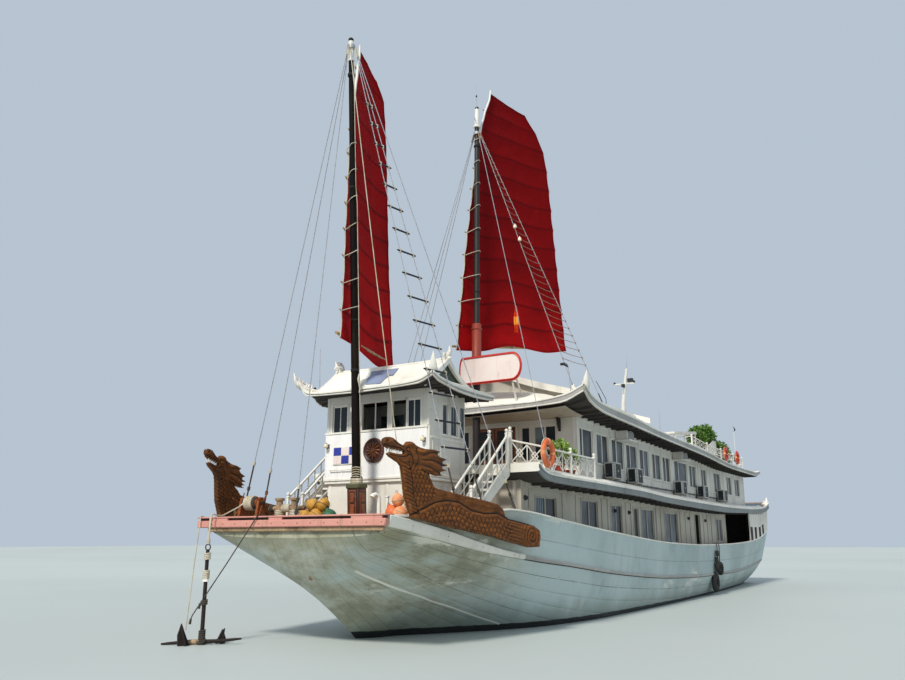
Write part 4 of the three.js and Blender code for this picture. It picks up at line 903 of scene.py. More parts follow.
# upper deck: station x, half width, underside z, top z
UPPER_DECK = [[14.75, 3.94, 4.20, 4.44], [14.40, 3.92, 4.06, 4.28], [13.9, 3.90, 3.98, 4.20], [12.8, 3.90, 3.95, 4.18], [9.8, 3.90, 3.93, 4.17], [6.4, 3.90, 3.90, 4.14],
              [2.6, 3.86, 3.80, 4.05], [-6.0, 3.76, 3.72, 4.02], [-12.0, 3.68, 3.83, 4.09], [-15.5, 3.60, 3.93, 4.20], [-17.6, 3.55, 4.05, 4.36], [-18.9, 3.52, 4.30, 4.68]]
deck_row = table(UPPER_DECK)
s = Soup()
rings = []
for x in list(np.arange(14.75, 13.0, -0.12)) + list(np.arange(12.95, -17.0, -0.5)) + list(np.arange(-17.2, -18.9, -0.2)) + [-18.9]:
    b, z0, z1 = deck_row(x)
    e = min(0.05, (z1 - z0) * 0.25)
    half = [(0.0, z0), (b * 0.5, z0), (b - 0.06, z0), (b - 0.055, z0 + 0.012), (b - 0.01, z0 + 0.012), (b, z0 + 0.022), (b, z0 + e + 0.02), (b - 0.018, z0 + e + 0.03),
            (b - 0.018, z1 - e - 0.01), (b + 0.012, z1 - e), (b + 0.02, z1 - e + 0.01), (b + 0.02, z1 - 0.008), (b + 0.01, z1), (b - 0.16, z1 + 0.004), (b * 0.5, z1 + 0.004), (0.0, z1 + 0.004)]
    rings.append([(x, y, z) for y, z in half] + [(x, -y, z) for y, z in half[::-1][1:-1]])
seg = [1, 1, 2, 2, 2, 2, 2, 2, 2, 0, 0, 0, 0, 3, 3]
s.rings(rings, seg + seg[::-1])
s.m[-1] = s.m[-2] = 0
s.make("upper_deck_planked", ["white", "soffit", "deckfascia", "deck"], slot="roof_paint", replaces=("upper_deck",), smooth=30)

# beams under the side decks
s = Soup()
for x in np.arange(13.6, -17.0, -0.62):
    b, z0, z1 = deck_row(x)
    for sd in (1, -1):
        s.box(x - 0.03, x + 0.03, sd * 3.125, sd * (b - 0.07), z0 - 0.07, z0 + 0.002, 0.006)
s.make("deck_beams", ["soffit"], slot="trim_paint")
s = Soup()  # sloping white waterway board along both edges of the upper deck
for sd in (1, -1):
    rings = []
    for x in list(np.arange(14.66, 13.0, -0.12)) + list(np.arange(12.9, -17.0, -0.4)):
        b, z0, z1 = deck_row(x)
        f = min(1.0, (14.72 - x) / 1.2)
        rings.append([(x, sd * (b - 0.24), z1 - 0.01), (x, sd * (b + 0.012), z1 - 0.01), (x, sd * (b + 0.016), z1 + 0.015), (x, sd * (b - 0.22), z1 + 0.03 + 0.125 * f), (x, sd * (b - 0.24), z1 + 0.03 + 0.125 * f)])
    s.rings(rings, 0)
s.make("deck_waterway", ["white"], slot="roof_paint", smooth=30)

# upper roof
UPPER_ROOF = [[11.50, 3.98, 6.47, 0.40, 0.22, 0.24], [11.00, 3.98, 6.47, 0.14, 0.24, 0.66], [10.4, 3.97, 6.45, 0.04, 0.25, 0.93], [9.6, 3.96, 6.41, 0.00, 0.28, 0.98],
              [6.4, 3.95, 6.32, 0.00, 0.30, 1.00], [4.45, 3.93, 6.27, 0.00, 0.24, 0.80], [-3.25, 3.87, 6.12, 0.00, 0.24, 0.46], [-8.5, 3.79, 5.96, 0.00, 0.20, 0.42],
              [-14.3, 3.71, 5.99, 0.00, 0.20, 0.34], [-16.1, 3.67, 6.08, 0.10, 0.20, 0.24]]
s = Soup()
roof_xs = list(np.arange(11.5, 9.4, -0.1)) + list(np.arange(9.3, -15.9, -0.4)) + [-16.1]
roof_at = roof_solid(s, UPPER_ROOF, roof_xs, 16, 0, 1, 2)
# eave boards with a lip, along both sides and the front
for sd in (1, -1):
    for lo, hi, w, mi in ((0.0, 1.0, 0.03, 2), (0.80, 1.03, 0.06, 3), (-0.02, 0.16, 0.045, 3)):
        rings = []
        for x in roof_xs:
            b, z, up, t, crown = roof_at(x)
            z0, z1 = z + up + lo * t, z + up + hi * t
            rings.append([(x, sd * (b - 0.03), z0), (x, sd * (b + w - 0.008), z0), (x, sd * (b + w), z0 + 0.008), (x, sd * (b + w), z1 - 0.008), (x, sd * (b + w - 0.008), z1), (x, sd * (b - 0.03), z1)])
        s.rings(rings, mi)
b0, z_, up_, t_, cr_ = roof_at(11.5)
for lo, hi, w, mi in ((0.0, 1.0, 0.02, 2), (0.78, 1.04, 0.045, 3), (-0.02, 0.18, 0.035, 3)):
    rings = []
    for k in range(41):
        y = lerp(-b0, b0, k / 40)
        zu = roof_under(roof_at, 11.5, y)
        zt = roof_height(roof_at, 11.5, y)
        z0, z1 = lerp(zu, zt, lo), lerp(zu, zt, hi)
        rings.append([(11.47, y, z0), (11.5 + w - 0.008, y, z0), (11.5 + w, y, z0 + 0.008), (11.5 + w, y, z1 - 0.008), (11.5 + w - 0.008, y, z1), (11.47, y, z1)])
    s.rings(rings, mi)
# low battens over the roof sheets
for x in np.arange(8.9, -15.6, -1.15):
    for sd in (1, -1):
        rings = []
        y_in = 2.62 if x > 3.2 else 0.0
        for k in range(9):
            y = lerp(y_in, 3.98 if x > 4 else 3.8, k / 8)
            z = roof_height(roof_at, x, y)
            rings.append([(x - 0.022, sd * y, z - 0.01), (x + 0.022, sd * y, z - 0.01), (x + 0.018, sd * y, z + 0.016), (x - 0.018, sd * y, z + 0.016)])
        s.rings(rings, 0)
# pale lining under the front eave
g = []
for x in np.linspace(11.40, 9.97, 12):
    g.append([(x, y, roof_under(roof_at, x, y) - 0.088) for y in np.linspace(-3.30, 3.30, 25)])
s.sheet(g, 0.012, 4)
s.make("upper_roof_shell", ["roof", "soffit", "fascia", "white", "lowwall"], slot="roof_paint", smooth=32, replaces=("upper_roof",))

# gabled ridge on its front: foot at y 2.75, apex 8.22
s = Soup()
GX0, GX1 = 3.4, 10.2
for sd in (1, -1):
    g = []
    for x in np.linspace(GX1 + 0.16, GX0 - 0.1, 30):
        row = []
        for k in range(11):
            f = k / 10
            y = 0.02 + 2.83 * f
            z = 8.20 - 1.02 * f + 0.05 * math.sin(math.pi * f) * -1 + 0.03 * f ** 4
            row.append((x, sd * y, z))
        g.append(row)
    s.sheet(g, 0.07, 0)
    for xa, mi in ((GX1 + 0.17, 1), (GX0 - 0.11, 1)):  # verge boards
        rings = []
        for k in range(13):
            f = k / 12
            y = 3.42 * f
            z = 8.22 - 1.02 * (y / 2.83) - 0.05 * math.sin(math.pi * min(1, y / 2.83)) + 0.03 * (y / 2.83) ** 4
            rings.append([(xa - 0.04, sd * y, z - 0.17), (xa + 0.035, sd * y, z - 0.17), (xa + 0.04, sd * y, z - 0.165), (xa + 0.04, sd * y, z + 0.045), (xa + 0.035, sd * y, z + 0.05), (xa - 0.04, sd * y, z + 0.05)])
        s.rings(rings, mi)
for xa, xb in ((GX1 - 0.03, GX1 + 0.02), (GX0 + 0.0, GX0 + 0.05)):
    # gable end plates, painted grey as shade
    s.plate([(-2.6, 6.9), (2.6, 6.9), (2.6, 7.16), (0, 8.06), (-2.6, 7.16)], lambda a, b, t, xc=(xa + xb) / 2: (xc + t, a, b), 0.05, 2)
s.tube([(x, 0, 8.225) for x in np.linspace(GX1 + 0.2, GX0 - 0.14, 12)], 0.065, 10, 1)
for x in np.arange(9.4, 3.5, -1.15):
    for sd in (1, -1):
        rings = []
        for k in range(9):
            f = k / 8
            y, z = 0.05 + 2.75 * f, 8.235 - 1.0 * f - 0.05 * math.sin(math.pi * f)
            rings.append([(x - 0.02, sd * y, z - 0.02), (x + 0.02, sd * y, z - 0.02), (x + 0.016, sd * y, z + 0.018), (x - 0.016, sd * y, z + 0.018)])
        s.rings(rings, 0)
s.make("roof_gable", ["roof", "white", "gable_shade_grey"], slot="roof_paint", smooth=32)

# rafters under the eaves
s = Soup()
for x in np.arange(11.2, -15.8, -0.55):
    b, z, up, t, crown = roof_at(x)
    for sd in (1, -1):
        y0 = 3.055 if x < 9.9 else 0.35
        rings = []
        for k in range(6):
            y = lerp(y0, b - 0.06, k / 5)
            zz = roof_under(roof_at, x, y)
            rings.append([(x - 0.025, sd * y, zz - 0.075), (x + 0.025, sd * y, zz - 0.075), (x + 0.025, sd * y, zz + 0.004), (x - 0.025, sd * y, zz + 0.004)])
        s.rings(rings, 0)
s.make("roof_rafters", ["soffit"], slot="trim_paint")


def finial(s, root, tip, w0, mi=0, mi2=1):
    """Upturned corner finial: a tapered blade curling up, with a scroll and leaf points on its back."""
    r, t = Vector(root), Vector(tip)
    out = Vector((t.x - r.x, t.y - r.y, 0))
    L = out.length
    out.normalize()
    side = Vector((0, 0, 1)).cross(out)
    H = t.z - r.z

    def at(a, h):
        return r + out * (a * L) + Vector((0, 0, h * H))
    blade = [(-0.55, -0.10), (-0.1, -0.06), (0.35, 0.02), (0.66, 0.20), (0.84, 0.45), (0.93, 0.72), (1.0, 1.0)]
    wid = [0.12, 0.17, 0.21, 0.20, 0.145, 0.085, 0.014]
    thick = [0.05, 0.08, 0.11, 0.12, 0.09, 0.055, 0.012]
    fb = pchip([0, 1, 2, 3, 4, 5, 6], [p[0] for p in blade])
    fh = pchip([0, 1, 2, 3, 4, 5, 6], [p[1] for p in blade])
    fw = pchip([0, 1, 2, 3, 4, 5, 6], wid)
    ft = pchip([0, 1, 2, 3, 4, 5, 6], thick)
    rings = []
    for k in range(25):
        u = 6 * k / 24
        p = at(fb(u), fh(u))
        q = at(fb(min(6, u + 0.05)), fh(min(6, u + 0.05))) - at(fb(max(0, u - 0.05)), fh(max(0, u - 0.05)))
        q.normalize()
        nrm = q.cross(side).normalized() * -1
        w, th = fw(u) * w0 / 0.12 / 2, ft(u) * w0 / 0.12 / 2
        rings.append([p + side * w * math.cos(a) * (1 if abs(math.cos(a)) < 0.8 else 1) + nrm * th * math.sin(a) for a in (2 * math.pi * j / 10 for j in range(10))])
    s.rings(rings, mi)
    for a0, h0, size in ((0.30, 0.14, 0.20), (0.52, 0.34, 0.17), (0.70, 0.58, 0.13)):  # leaf points on its back
        p = at(a0, h0)
        size *= H / 0.72
        s.tube([p + out * 0.10 * size, p - out * 0.25 * size + Vector((0, 0, 0.30 * size)), p - out * 0.35 * size + Vector((0, 0, 0.75 * size)), p - out * 0.05 * size + Vector((0, 0, 1.0 * size))],
               [0.16 * size, 0.20 * size, 0.13 * size, 0.015], 8, mi)
    c = at(0.02, 0.16)
    rad = 0.10 * H / 0.72
    s.tube([c + out * (rad * (1 - 0.09 * k) * math.cos(0.75 * k)) + Vector((0, 0, rad * (1 - 0.09 * k) * math.sin(0.75 * k))) for k in range(11)], [0.034 * (1 - 0.05 * k) for k in range(11)], 7, mi2)


s = Soup()
for sd in (1, -1):
    finial(s, (11.02, sd * 3.66, 6.86), (11.26, sd * 4.00, 7.58), 0.20)
    s.tube([(11.10, sd * 3.56, 6.92), (11.12, sd * 3.50, 7.04), (11.16, sd * 3.47, 7.12), (11.16, sd * 3.52, 7.19)], [0.09, 0.085, 0.06, 0.012], 9, 0)
    rings = []
    for k in range(12):  # hip rib from the finial to the gable foot
        f = k / 11
        x, y = lerp(11.25, 10.25, f), lerp(3.78, 2.55, f)
        z = roof_height(roof_at, x, y) + 0.02
        rings.append([(x + 0.05, sd * (y - 0.04), z - 0.04), (x - 0.05, sd * (y + 0.04), z - 0.04), (x - 0.035, sd * (y + 0.03), z + 0.05), (x + 0.035, sd * (y - 0.03), z + 0.05)])
    s.rings(rings, 0)
s.make("roof_finials", ["white", "white"], slot="roof_paint", smooth=50)

# wheelhouse roof
def draw_in(s):
    """The starboard fore corner of the wheelhouse eaves is drawn in and curls up more."""
    for k, (x, y, z) in enumerate(s.v):
        if x > 16.3 and y < -1.6:
            f = min(1.0, (x - 16.3) / 1.1)
            f = f * f * (3 - 2 * f)
            e = -1.6 - y
            s.v[k] = (x, -1.6 - e * (1 - 0.33 * f), z + 0.20 * f * max(0.0, (e - 0.25) / 0.51) ** 2)


WH_ROOF = [[17.62, 2.36, 6.26, 0.24, 0.11, 0.12], [17.30, 2.36, 6.31, 0.08, 0.12, 0.30], [16.84, 2.36, 6.375, -0.05, 0.13, 0.46], [16.20, 2.36, 6.375, -0.12, 0.17, 0.56],
           [15.40, 2.36, 6.375, -0.14, 0.19, 0.46], [14.75, 2.36, 6.36, -0.10, 0.17, 0.30], [14.40, 2.36, 6.33, -0.04, 0.13, 0.16]]
s = Soup()
wh_xs = list(np.arange(17.62, 14.42, -0.08)) + [14.40]
wh_at = roof_solid(s, WH_ROOF, wh_xs, 14, 0, 1, 2)
for sd in (1, -1):
    for lo, hi, w, mi in ((0.0, 1.0, 0.02, 2), (0.55, 1.06, 0.045, 3), (-0.05, 0.2, 0.03, 3)):
        rings = []
        for x in wh_xs:
            b, z, up, t, crown = wh_at(x)
            z0, z1 = z + up + lo * t, z + up + hi * t
            rings.append([(x, sd * (b - 0.03), z0), (x, sd * (b + w - 0.006), z0), (x, sd * (b + w), z0 + 0.006), (x, sd * (b + w), z1 - 0.006), (x, sd * (b + w - 0.006), z1), (x, sd * (b - 0.03), z1)])
        s.rings(rings, mi)
for lo, hi, w, mi in ((0.0, 1.0, 0.015, 2), (0.5, 1.08, 0.045, 3), (-0.06, 0.2, 0.03, 3)):
    for xa, way in ((17.62, 1), (14.40, -1)):
        rings = []
        for k in range(33):
            y = lerp(-2.36, 2.36, k / 32)
            zu, zt = roof_under(wh_at, xa, y), roof_height(wh_at, xa, y)
            z0, z1 = lerp(zu, zt, lo), lerp(zu, zt, hi)
            rings.append([(xa - way * 0.03, y, z0), (xa + way * (w - 0.006), y, z0), (xa + way * w, y, z0 + 0.006), (xa + way * w, y, z1 - 0.006), (xa + way * (w - 0.006), y, z1), (xa - way * 0.03, y, z1)])
        s.rings(rings, mi)
RIDGE = [[17.35, 6.42], [16.85, 6.72], [16.45, 6.98], [16.15, 7.22], [15.85, 7.0], [15.40, 6.75], [14.90, 6.55]]
front = pchip([-r[0] for r in RIDGE[:4]], [r[1] for r in RIDGE[:4]])
back = pchip([-r[0] for r in RIDGE[3:]], [r[1] for r in RIDGE[3:]])


def ridge_z(x, y):
    z = front(-x) if x > 16.15 else back(-x)
    return z + 0.055 * (abs(y) / 1.95) ** 5 * max(0.0, 1 - abs(x - 16.15) / 0.9)


for x0, x1 in ((17.35, 16.16), (16.14, 14.90)):
    g = [[(x, y, ridge_z(x, y) - 0.03) for y in np.linspace(-1.95, 1.95, 27)] for x in np.linspace(x0, x1, 14)]
    s.sheet(g, 0.055, 0)
for sd in (1, -1):
    for x0, x1 in ((17.30, 16.15), (16.15, 14.92)):  # verge boards
        rings = []
        for k in range(11):
            x = lerp(x0, x1, k / 10)
            z = ridge_z(x, 1.95)
            rings.append([(x, sd * 1.90, z - 0.15), (x, sd * 1.965, z - 0.15), (x, sd * 1.965, z + 0.012), (x, sd * 1.90, z + 0.012)])
        s.rings(rings, 3)
    pts = [(x, ridge_z(x, 1.8) - 0.05) for x in np.linspace(17.2, 14.95, 16)]
    s.plate(pts + [(14.95, 6.40), (17.2, 6.40)], lambda a, b, t, sd=sd: (a, sd * (1.80 + t), b), 0.04, 4)
    s.tube([(16.15, sd * 1.90, 7.245), (16.15, sd * 1.99, 7.262), (16.15, sd * 2.03, 7.272)], [0.055, 0.045, 0.01], 8, 3)
s.tube([(16.15, y, ridge_z(16.15, y) + 0.002) for y in np.linspace(-1.97, 1.97, 22)], 0.045, 10, 3)
for sd in (1, -1):  # ribs where the gable roof meets the skirt
    rings = []
    for k in range(14):
        x = lerp(17.40, 14.8, k / 13)
        y = 1.99
        z = roof_height(wh_at, x, y) + 0.015
        rings.append([(x, sd * (y - 0.05), z - 0.03), (x, sd * (y + 0.05), z - 0.03), (x, sd * (y + 0.04), z + 0.03), (x, sd * (y - 0.04), z + 0.03)])
    s.rings(rings, 0)
# a thin blue-grey sheet over the middle of the front slope
g = []
for k in range(12):
    x = lerp(17.50, 16.30, k / 11)
    g.append([(x, y, max(ridge_z(x, 0) if x < 17.35 else 0, roof_height(wh_at, x, y)) + 0.022) for y in np.linspace(lerp(0.14, -0.58, k / 11), lerp(0.64, 0.38, k / 11), 8)])
s.sheet(g, 0.012, 5)
draw_in(s)
s.make("wheelhouse_roof_shell", ["roof", "soffit", "fascia", "white", "gablegreen", "sheetblue"], slot="roof_paint", smooth=32, replaces=("wheelhouse_roof",))
s = Soup()
for sd in (1, -1):
    finial(s, (17.22, 2.10, 6.55), (17.55, 2.34, 7.14), 0.155) if sd > 0 else finial(s, (17.34, -1.93, 6.56), (17.70, -2.27, 7.03), 0.155)
    s.tube([(16.15, sd * 1.78, 7.26), (16.13, sd * 1.90, 7.34), (16.15, sd * 1.99, 7.47), (16.20, sd * 2.00, 7.60)], [0.06, 0.085, 0.06, 0.010], 9, 0)
    s.tube([(16.15, sd * 1.80, 7.30), (16.24, sd * 1.86, 7.40), (16.33, sd * 1.90, 7.38), (16.35, sd * 1.90, 7.30)], [0.05, 0.04, 0.03, 0.02], 8, 0)
s.make("wheelhouse_finials", ["white", "white"], slot="roof_paint", smooth=50)
s = Soup()
for x in np.arange(17.45, 14.5, -0.36):
    b, z, up, t, crown = wh_at(x)
    for sd in (1, -1):
        y0 = 1.745 if 14.95 < x < 16.8 else 0.05
        rings = []
        for k in range(5):
            y = lerp(y0, b - 0.05, k / 4)
            zz = roof_under(wh_at, x, y)
            rings.append([(x - 0.02, sd * y, zz - 0.05), (x + 0.02, sd * y, zz - 0.05), (x + 0.02, sd * y, zz + 0.004), (x - 0.02, sd * y, zz + 0.004)])
        s.rings(rings, 0)
draw_in(s)
s.make("wheelhouse_rafters", ["soffit"], slot="trim_paint")

# ------------------------------------------------------------------ floor
bm = bmesh.new()
bmesh.ops.create_grid(bm, x_segments=8, y_segments=8, size=300)
me = bpy.data.meshes.new("floor")
bm.to_mesh(me)
bm.free()
fl = bpy.data.objects.new("floor", me)
bpy.context.scene.collection.objects.link(fl)
mf = Mat("floor_pale", 0.55, spec=0.3)
mf.colour(mf.mix(mf.step(mf.noise(0.03, 3), 0.3, 0.7), C("#b9c0bd"), C("#b1b8b5")))
me.materials.append(mf.m)


# ------------------------------------------------------------------ masts, sails and rigging
FORE = {"x": 17.52, "z0": 2.8205, "h": 13.82, "r0": 0.125, "r1": 0.075, "rake": 3.8, "swing": 19}
MAIN = {"x": 11.25, "z0": 4.185, "h": 13.85, "r0": 0.135, "r1": 0.08, "rake": -1, "swing": -15}
FORE_SAIL = [[-0.64, 7.64], [0.45, 7.61], [1.44, 7.48], [2.67, 7.34], [4.29, 7.53], [4.25, 8.52], [4.08, 10.85], [4.07, 14.09],
             [3.89, 16.45], [3.12, 16.85], [2.18, 17.03], [1.34, 17.02], [0.77, 15.37], [0.25, 13.16], [-0.07, 11.05], [-0.37, 8.98]]
MAIN_SAIL = [[-0.79, 8.61], [0.41, 8.79], [2.12, 9.28], [3.69, 9.33], [5.13, 9.63], [4.75, 12.53], [4.34, 15.94], [4.11, 17.40],
             [3.70, 18.18], [2.92, 18.90], [0.93, 19.04], [0.41, 17.54], [-0.01, 15.00], [-0.35, 12.61], [-0.53, 10.97]]


def mast_frame(m):
    return Matrix.Translation((m["x"], 0, m["z0"])) @ Matrix.Rotation(math.radians(m["rake"]), 4, "Y")


def sail_frame(m):
    return mast_frame(m) @ Matrix.Rotation(math.radians(m["swing"]), 4, "Z")


def mast(name, m, mats, cap_from, bands, node, ball, sleeve=None):
    s = Soup()
    F = mast_frame(m)
    rad = lambda h: lerp(m["r0"], m["r1"], h / m["h"])
    h0 = 0.09 if name == "foremast" else 0.0
    for a, b, mi in ((h0, cap_from, 0), (cap_from, m["h"] - 0.14, 1)):
        prof = [(0, a)] + [(rad(lerp(a, b, k / 24)) * (1 + 0.012 * math.sin(9 * lerp(a, b, k / 24))), lerp(a, b, k / 24)) for k in range(25)] + [(0, b)]
        s.lathe(prof, F, 28, mi)
    for h, w, extra, mi in bands:
        r = rad(h)
        s.lathe([(0, h - w / 2), (r + extra * 0.6, h - w / 2), (r + extra, h - w / 2 + 0.012), (r + extra, h + w / 2 - 0.012), (r + extra * 0.6, h + w / 2), (0, h + w / 2)], F, 24, mi)
    t = m["h"] - 0.14
    s.lathe([(0, t - 0.01), (ball, t - 0.01), (ball * 1.35, t + 0.02), (ball * 1.45, t + 0.055), (ball * 1.2, t + 0.09), (ball * 0.6, t + 0.115), (0, t + 0.13)], F, 20, 2)
    if sleeve:
        a, b, r = sleeve
        s.lathe([(0, a), (r, a), (r, a + 0.03), (r - 0.012, a + 0.05), (r - 0.012, b - 0.22), (r + 0.012, b - 0.2), (r + 0.012, b - 0.16), (r - 0.012, b - 0.14), (r - 0.012, b - 0.02), (r - 0.03, b), (0, b)], F, 24, 3)
    s.make(name + "_spar", mats, slot="mast_paint", replaces=(node,))


mast("foremast", FORE, ["dark", "capwhite", "black", "sleeve"], 13.08, [(13.08, 0.06, 0.02, 1), (12.62, 0.10, 0.03, 2), (9.2, 0.05, 0.012, 2), (5.4, 0.05, 0.012, 2), (4.02, 0.07, 0.012, 2), (1.12, 0.16, 0.035, 2)], "foremast", 0.055)
mast("mainmast", MAIN, ["mastbrown", "capwhite", "black", "sleeve"], 13.0, [(13.0, 0.09, 0.05, 1), (12.2, 0.07, 0.03, 2), (8.9, 0.05, 0.012, 2), (6.6, 0.05, 0.012, 2)], "mainmast", 0.05, (4.25, 5.45, 0.175))

s = Soup()  # whip aerial and wind ball over the mainmast, lamp brackets
F = mast_frame(MAIN)
s.tube([F @ Vector((0.06, 0.02, 13.5)), F @ Vector((0.07, 0.02, 14.2)), F @ Vector((0.09, 0.02, 14.72))], [0.012, 0.008, 0.004], 6, 0)
s.lathe([(0, 13.55), (0.025, 13.57), (0.03, 13.6), (0.02, 13.64), (0, 13.66)], F @ Matrix.Translation((0.07, 0.02, 0.62)), 10, 1)
s.tube([F @ Vector((0.05, 0.0, 13.2)), F @ Vector((0.30, 0.05, 13.24))], 0.012, 6, 0)
s.make("mast_aerial", ["wire", "black"], slot="rigging_wire")


def along(pts):
    d = [0.0]
    for a, b in zip(pts, pts[1:]):
        d.append(d[-1] + math.hypot(b[0] - a[0], b[1] - a[1]))
    d = [v / d[-1] for v in d]
    fx, fz = pchip(d, [p[0] for p in pts]), pchip(d, [p[1] for p in pts])
    return lambda t: (fx(t), fz(t))


def make_sail(name, m, outline, n_foot, n_leech, panels, mat, node, body, seed):
    k = 1 / math.cos(math.radians(m["rake"]))
    P = [(-t, (z - m["z0"]) * k) for t, z in outline]
    foot, leech = along(P[:n_foot]), along(P[n_foot - 1:n_leech])
    head = along([P[i] for i in range(n_leech - 1, n_leech + (3 if name == "foresail" else 2) - 1)][::-1])
    top_i = n_leech + (3 if name == "foresail" else 2) - 2
    luff = along([P[0]] + [P[i] for i in range(len(P) - 1, top_i - 1, -1)])
    F = sail_frame(m)
    ns, nw = 44, panels * 10
    off = 0.19

    def point(u, w):
        f, h, l, r = foot(u), head(u), luff(w), leech(w)
        c00, c10, c01, c11 = foot(0), foot(1), head(0), head(1)
        x = (1 - w) * f[0] + w * h[0] + (1 - u) * l[0] + u * r[0] - ((1 - u) * (1 - w) * c00[0] + u * (1 - w) * c10[0] + (1 - u) * w * c01[0] + u * w * c11[0])
        z = (1 - w) * f[1] + w * h[1] + (1 - u) * l[1] + u * r[1] - ((1 - u) * (1 - w) * c00[1] + u * (1 - w) * c10[1] + (1 - u) * w * c01[1] + u * w * c11[1])
        sc = abs(math.sin(math.pi * panels * w)) ** 0.8
        x += -0.05 * sc * max(0, 1 - u * 8) + 0.045 * sc * max(0, 1 - (1 - u) * 8)
        rise = min(1.0, w / 0.07)
        belly = 0.13 * math.sin(math.pi * u) ** 0.8 * (0.35 + 0.65 * math.sin(math.pi * min(1, w * 1.05)))
        puff = 0.035 * math.sin(math.pi * ((panels * w) % 1.0)) * math.sin(math.pi * min(1, max(0, u)) ** 0.8) ** 0.5
        q = Vector((x * 0.9 + seed, z * 0.55, seed))
        wr = 0.030 * mnoise.noise(q) + 0.016 * mnoise.noise(q * 2.9) + 0.006 * mnoise.noise(q * 8)
        tight = math.sin(math.pi * min(max(u, 0.02), 0.98)) ** 0.5
        # folds that fan out from the corners
        fan = 0.0
        for cx, cz in (P[0], P[n_foot - 1], P[top_i]):
            dx, dz = x - cx, z - cz
            rr = math.hypot(dx, dz)
            fan += 0.012 * math.sin(22 * math.atan2(dz, dx)) * math.exp(-rr / 1.1) * min(1, rr / 0.3)
        return x, -(off + rise * (belly + puff + wr * tight + fan + 0.012)), z
    g, seam = [], []
    for i in range(ns + 1):
        row, srow = [], []
        for j in range(nw + 1):
            row.append(tuple(F @ Vector(point(i / ns, j / nw))))
            fr = (panels * j / nw) % 1.0
            srow.append(1.0 if (j % 10 == 0 or i in (0, ns)) else 0.0)
        g.append(row)
        seam.append(srow)
    s = Soup()
    s.sheet(g, 0.004, 0)
    flat_seam = [v for r in seam for v in r]
    cloth_ob = s.make(name + "_cloth", [mat], body=body, slot="sail_cloth", replaces=(node,), smooth=75, attrs={"seam": flat_seam * 2})
    gg = np.array(g)
    du, dv = np.diff(gg, axis=0)[:, :-1], np.diff(gg, axis=1)[:-1]
    area = float(np.linalg.norm(np.cross(du, dv), axis=2).sum())

    # edge ropes, battens on the far side, yard and lacing
    e = Soup()
    step = 2
    def edged(p, q):
        """A point of the edge; the main sail's rope runs a little inside the edge where it swings past a shroud."""
        near = name == "mainsail" and abs(p[2] - 16.45) < 0.6 and abs(p[0] - 10.78) < 0.4
        w = max(0.0, 1 - (abs(p[2] - 16.45) / 0.6) ** 2) if near else 0.0
        a, b = Vector(p), Vector(q)
        return tuple(a + (b - a).normalized() * 0.045 * w), 1 - 0.75 * min(1.0, 2 * w)
    for run, r, mi in (([edged(g[0][j], g[2][j]) for j in range(0, nw + 1, step)], 0.016, 0), ([edged(g[ns][j], g[ns - 2][j]) for j in range(0, nw + 1, step)], 0.016, 1),
                       ([edged(g[i][0], g[i][2]) for i in range(ns + 1)], 0.016, 1), ([edged(g[i][nw], g[i][nw - 2]) for i in range(ns + 1)], 0.018, 1)):
        e.tube([p for p, k in run], [r * k for p, k in run], 7, mi)
    rope_ob = e.make(name + "_bolt_rope", ["rope", mat], body=body, slot="sail_cloth")
    b = Soup()
    for j in range(1, panels):
        w = j / panels
        path = []
        for i in range(0, 23):
            u = -0.012 + 1.024 * i / 22
            x, y, z = point(min(max(u, 0), 1), w)
            if u < 0:
                x += 0.07
            if u > 1:
                x -= 0.07
            path.append(F @ Vector((x, y - 0.030, z)))
        b.tube(path, [0.022 - 0.006 * i / 22 for i in range(23)], 7, 0)
        for i in (1, 6, 11, 16, 21):  # short lashings
            c = path[i]
            d = (path[i + 1] - path[i - 1]).normalized()
            b.tube([c - d * 0.035, c + d * 0.035], 0.030, 7, 1)
    lo = point(0, 0.72)
    hi = point(0, 1.0)
    b.tube([F @ Vector((hi[0] + 0.03 - 0.02 * t, lerp(hi[1], lo[1], t) + 0.045, lerp(hi[2] + 0.10, lo[2], t))) if t < 0.01 else F @ Vector((lambda q: (q[0] + 0.02, q[1] + 0.045, q[2]))(point(0, lerp(1.0, 0.72, t)))) for t in np.linspace(0, 1, 10)],
           [0.030, 0.034, 0.036, 0.036, 0.036, 0.034, 0.032, 0.030, 0.028, 0.024], 9, 2)
    b.make(name + "_battens", ["bamboo", "rope", "capwhite"], body=body, slot="spar_wood")
    t = Soup()
    for j in range(1, panels):
        w = j / panels
        p = point(0.004, w)
        if p[0] < -0.35:
            continue
        z = p[2]
        rm = lerp(m["r0"], m["r1"], z / m["h"])
        if name == "mainsail" and z < 5.7:
            continue
        R = rm + 0.028
        path = [Vector((p[0], p[1] + 0.02, z - 0.02)), Vector((max(p[0] * 0.6, 0.10) + 0.02, -0.02, z + 0.06)), Vector((R * 0.62, R * 0.80, z + 0.14)), Vector((0, R, z + 0.17)), Vector((-R * 0.8, R * 0.6, z + 0.18)),
                Vector((-R, -0.02, z + 0.17)), Vector((-R * 0.9, -0.12, z + 0.12)), Vector((-R - 0.06, point(0.10, w)[1] + 0.01, z + 0.05))]
        t.tube([F @ q for q in smooth_path(path, 4)], 0.012, 6, 0)
    t.make(name + "_lacing", ["rope"], body=body, slot="rope")
    return point


def smooth_path(pts, n):
    """Catmull-Rom through the points, n pieces to each span."""
    pts = [Vector(p) for p in pts]
    out = []
    for i in range(len(pts) - 1):
        a, b, c, d = pts[max(i - 1, 0)], pts[i], pts[i + 1], pts[min(i + 2, len(pts) - 1)]
        for k in range(n):
            t = k / n
            out.append(0.5 * ((2 * b) + (c - a) * t + (2 * a - 5 * b + 4 * c - d) * t * t + (3 * b - a - 3 * c + d) * t ** 3))
    out.append(pts[-1])
    return out


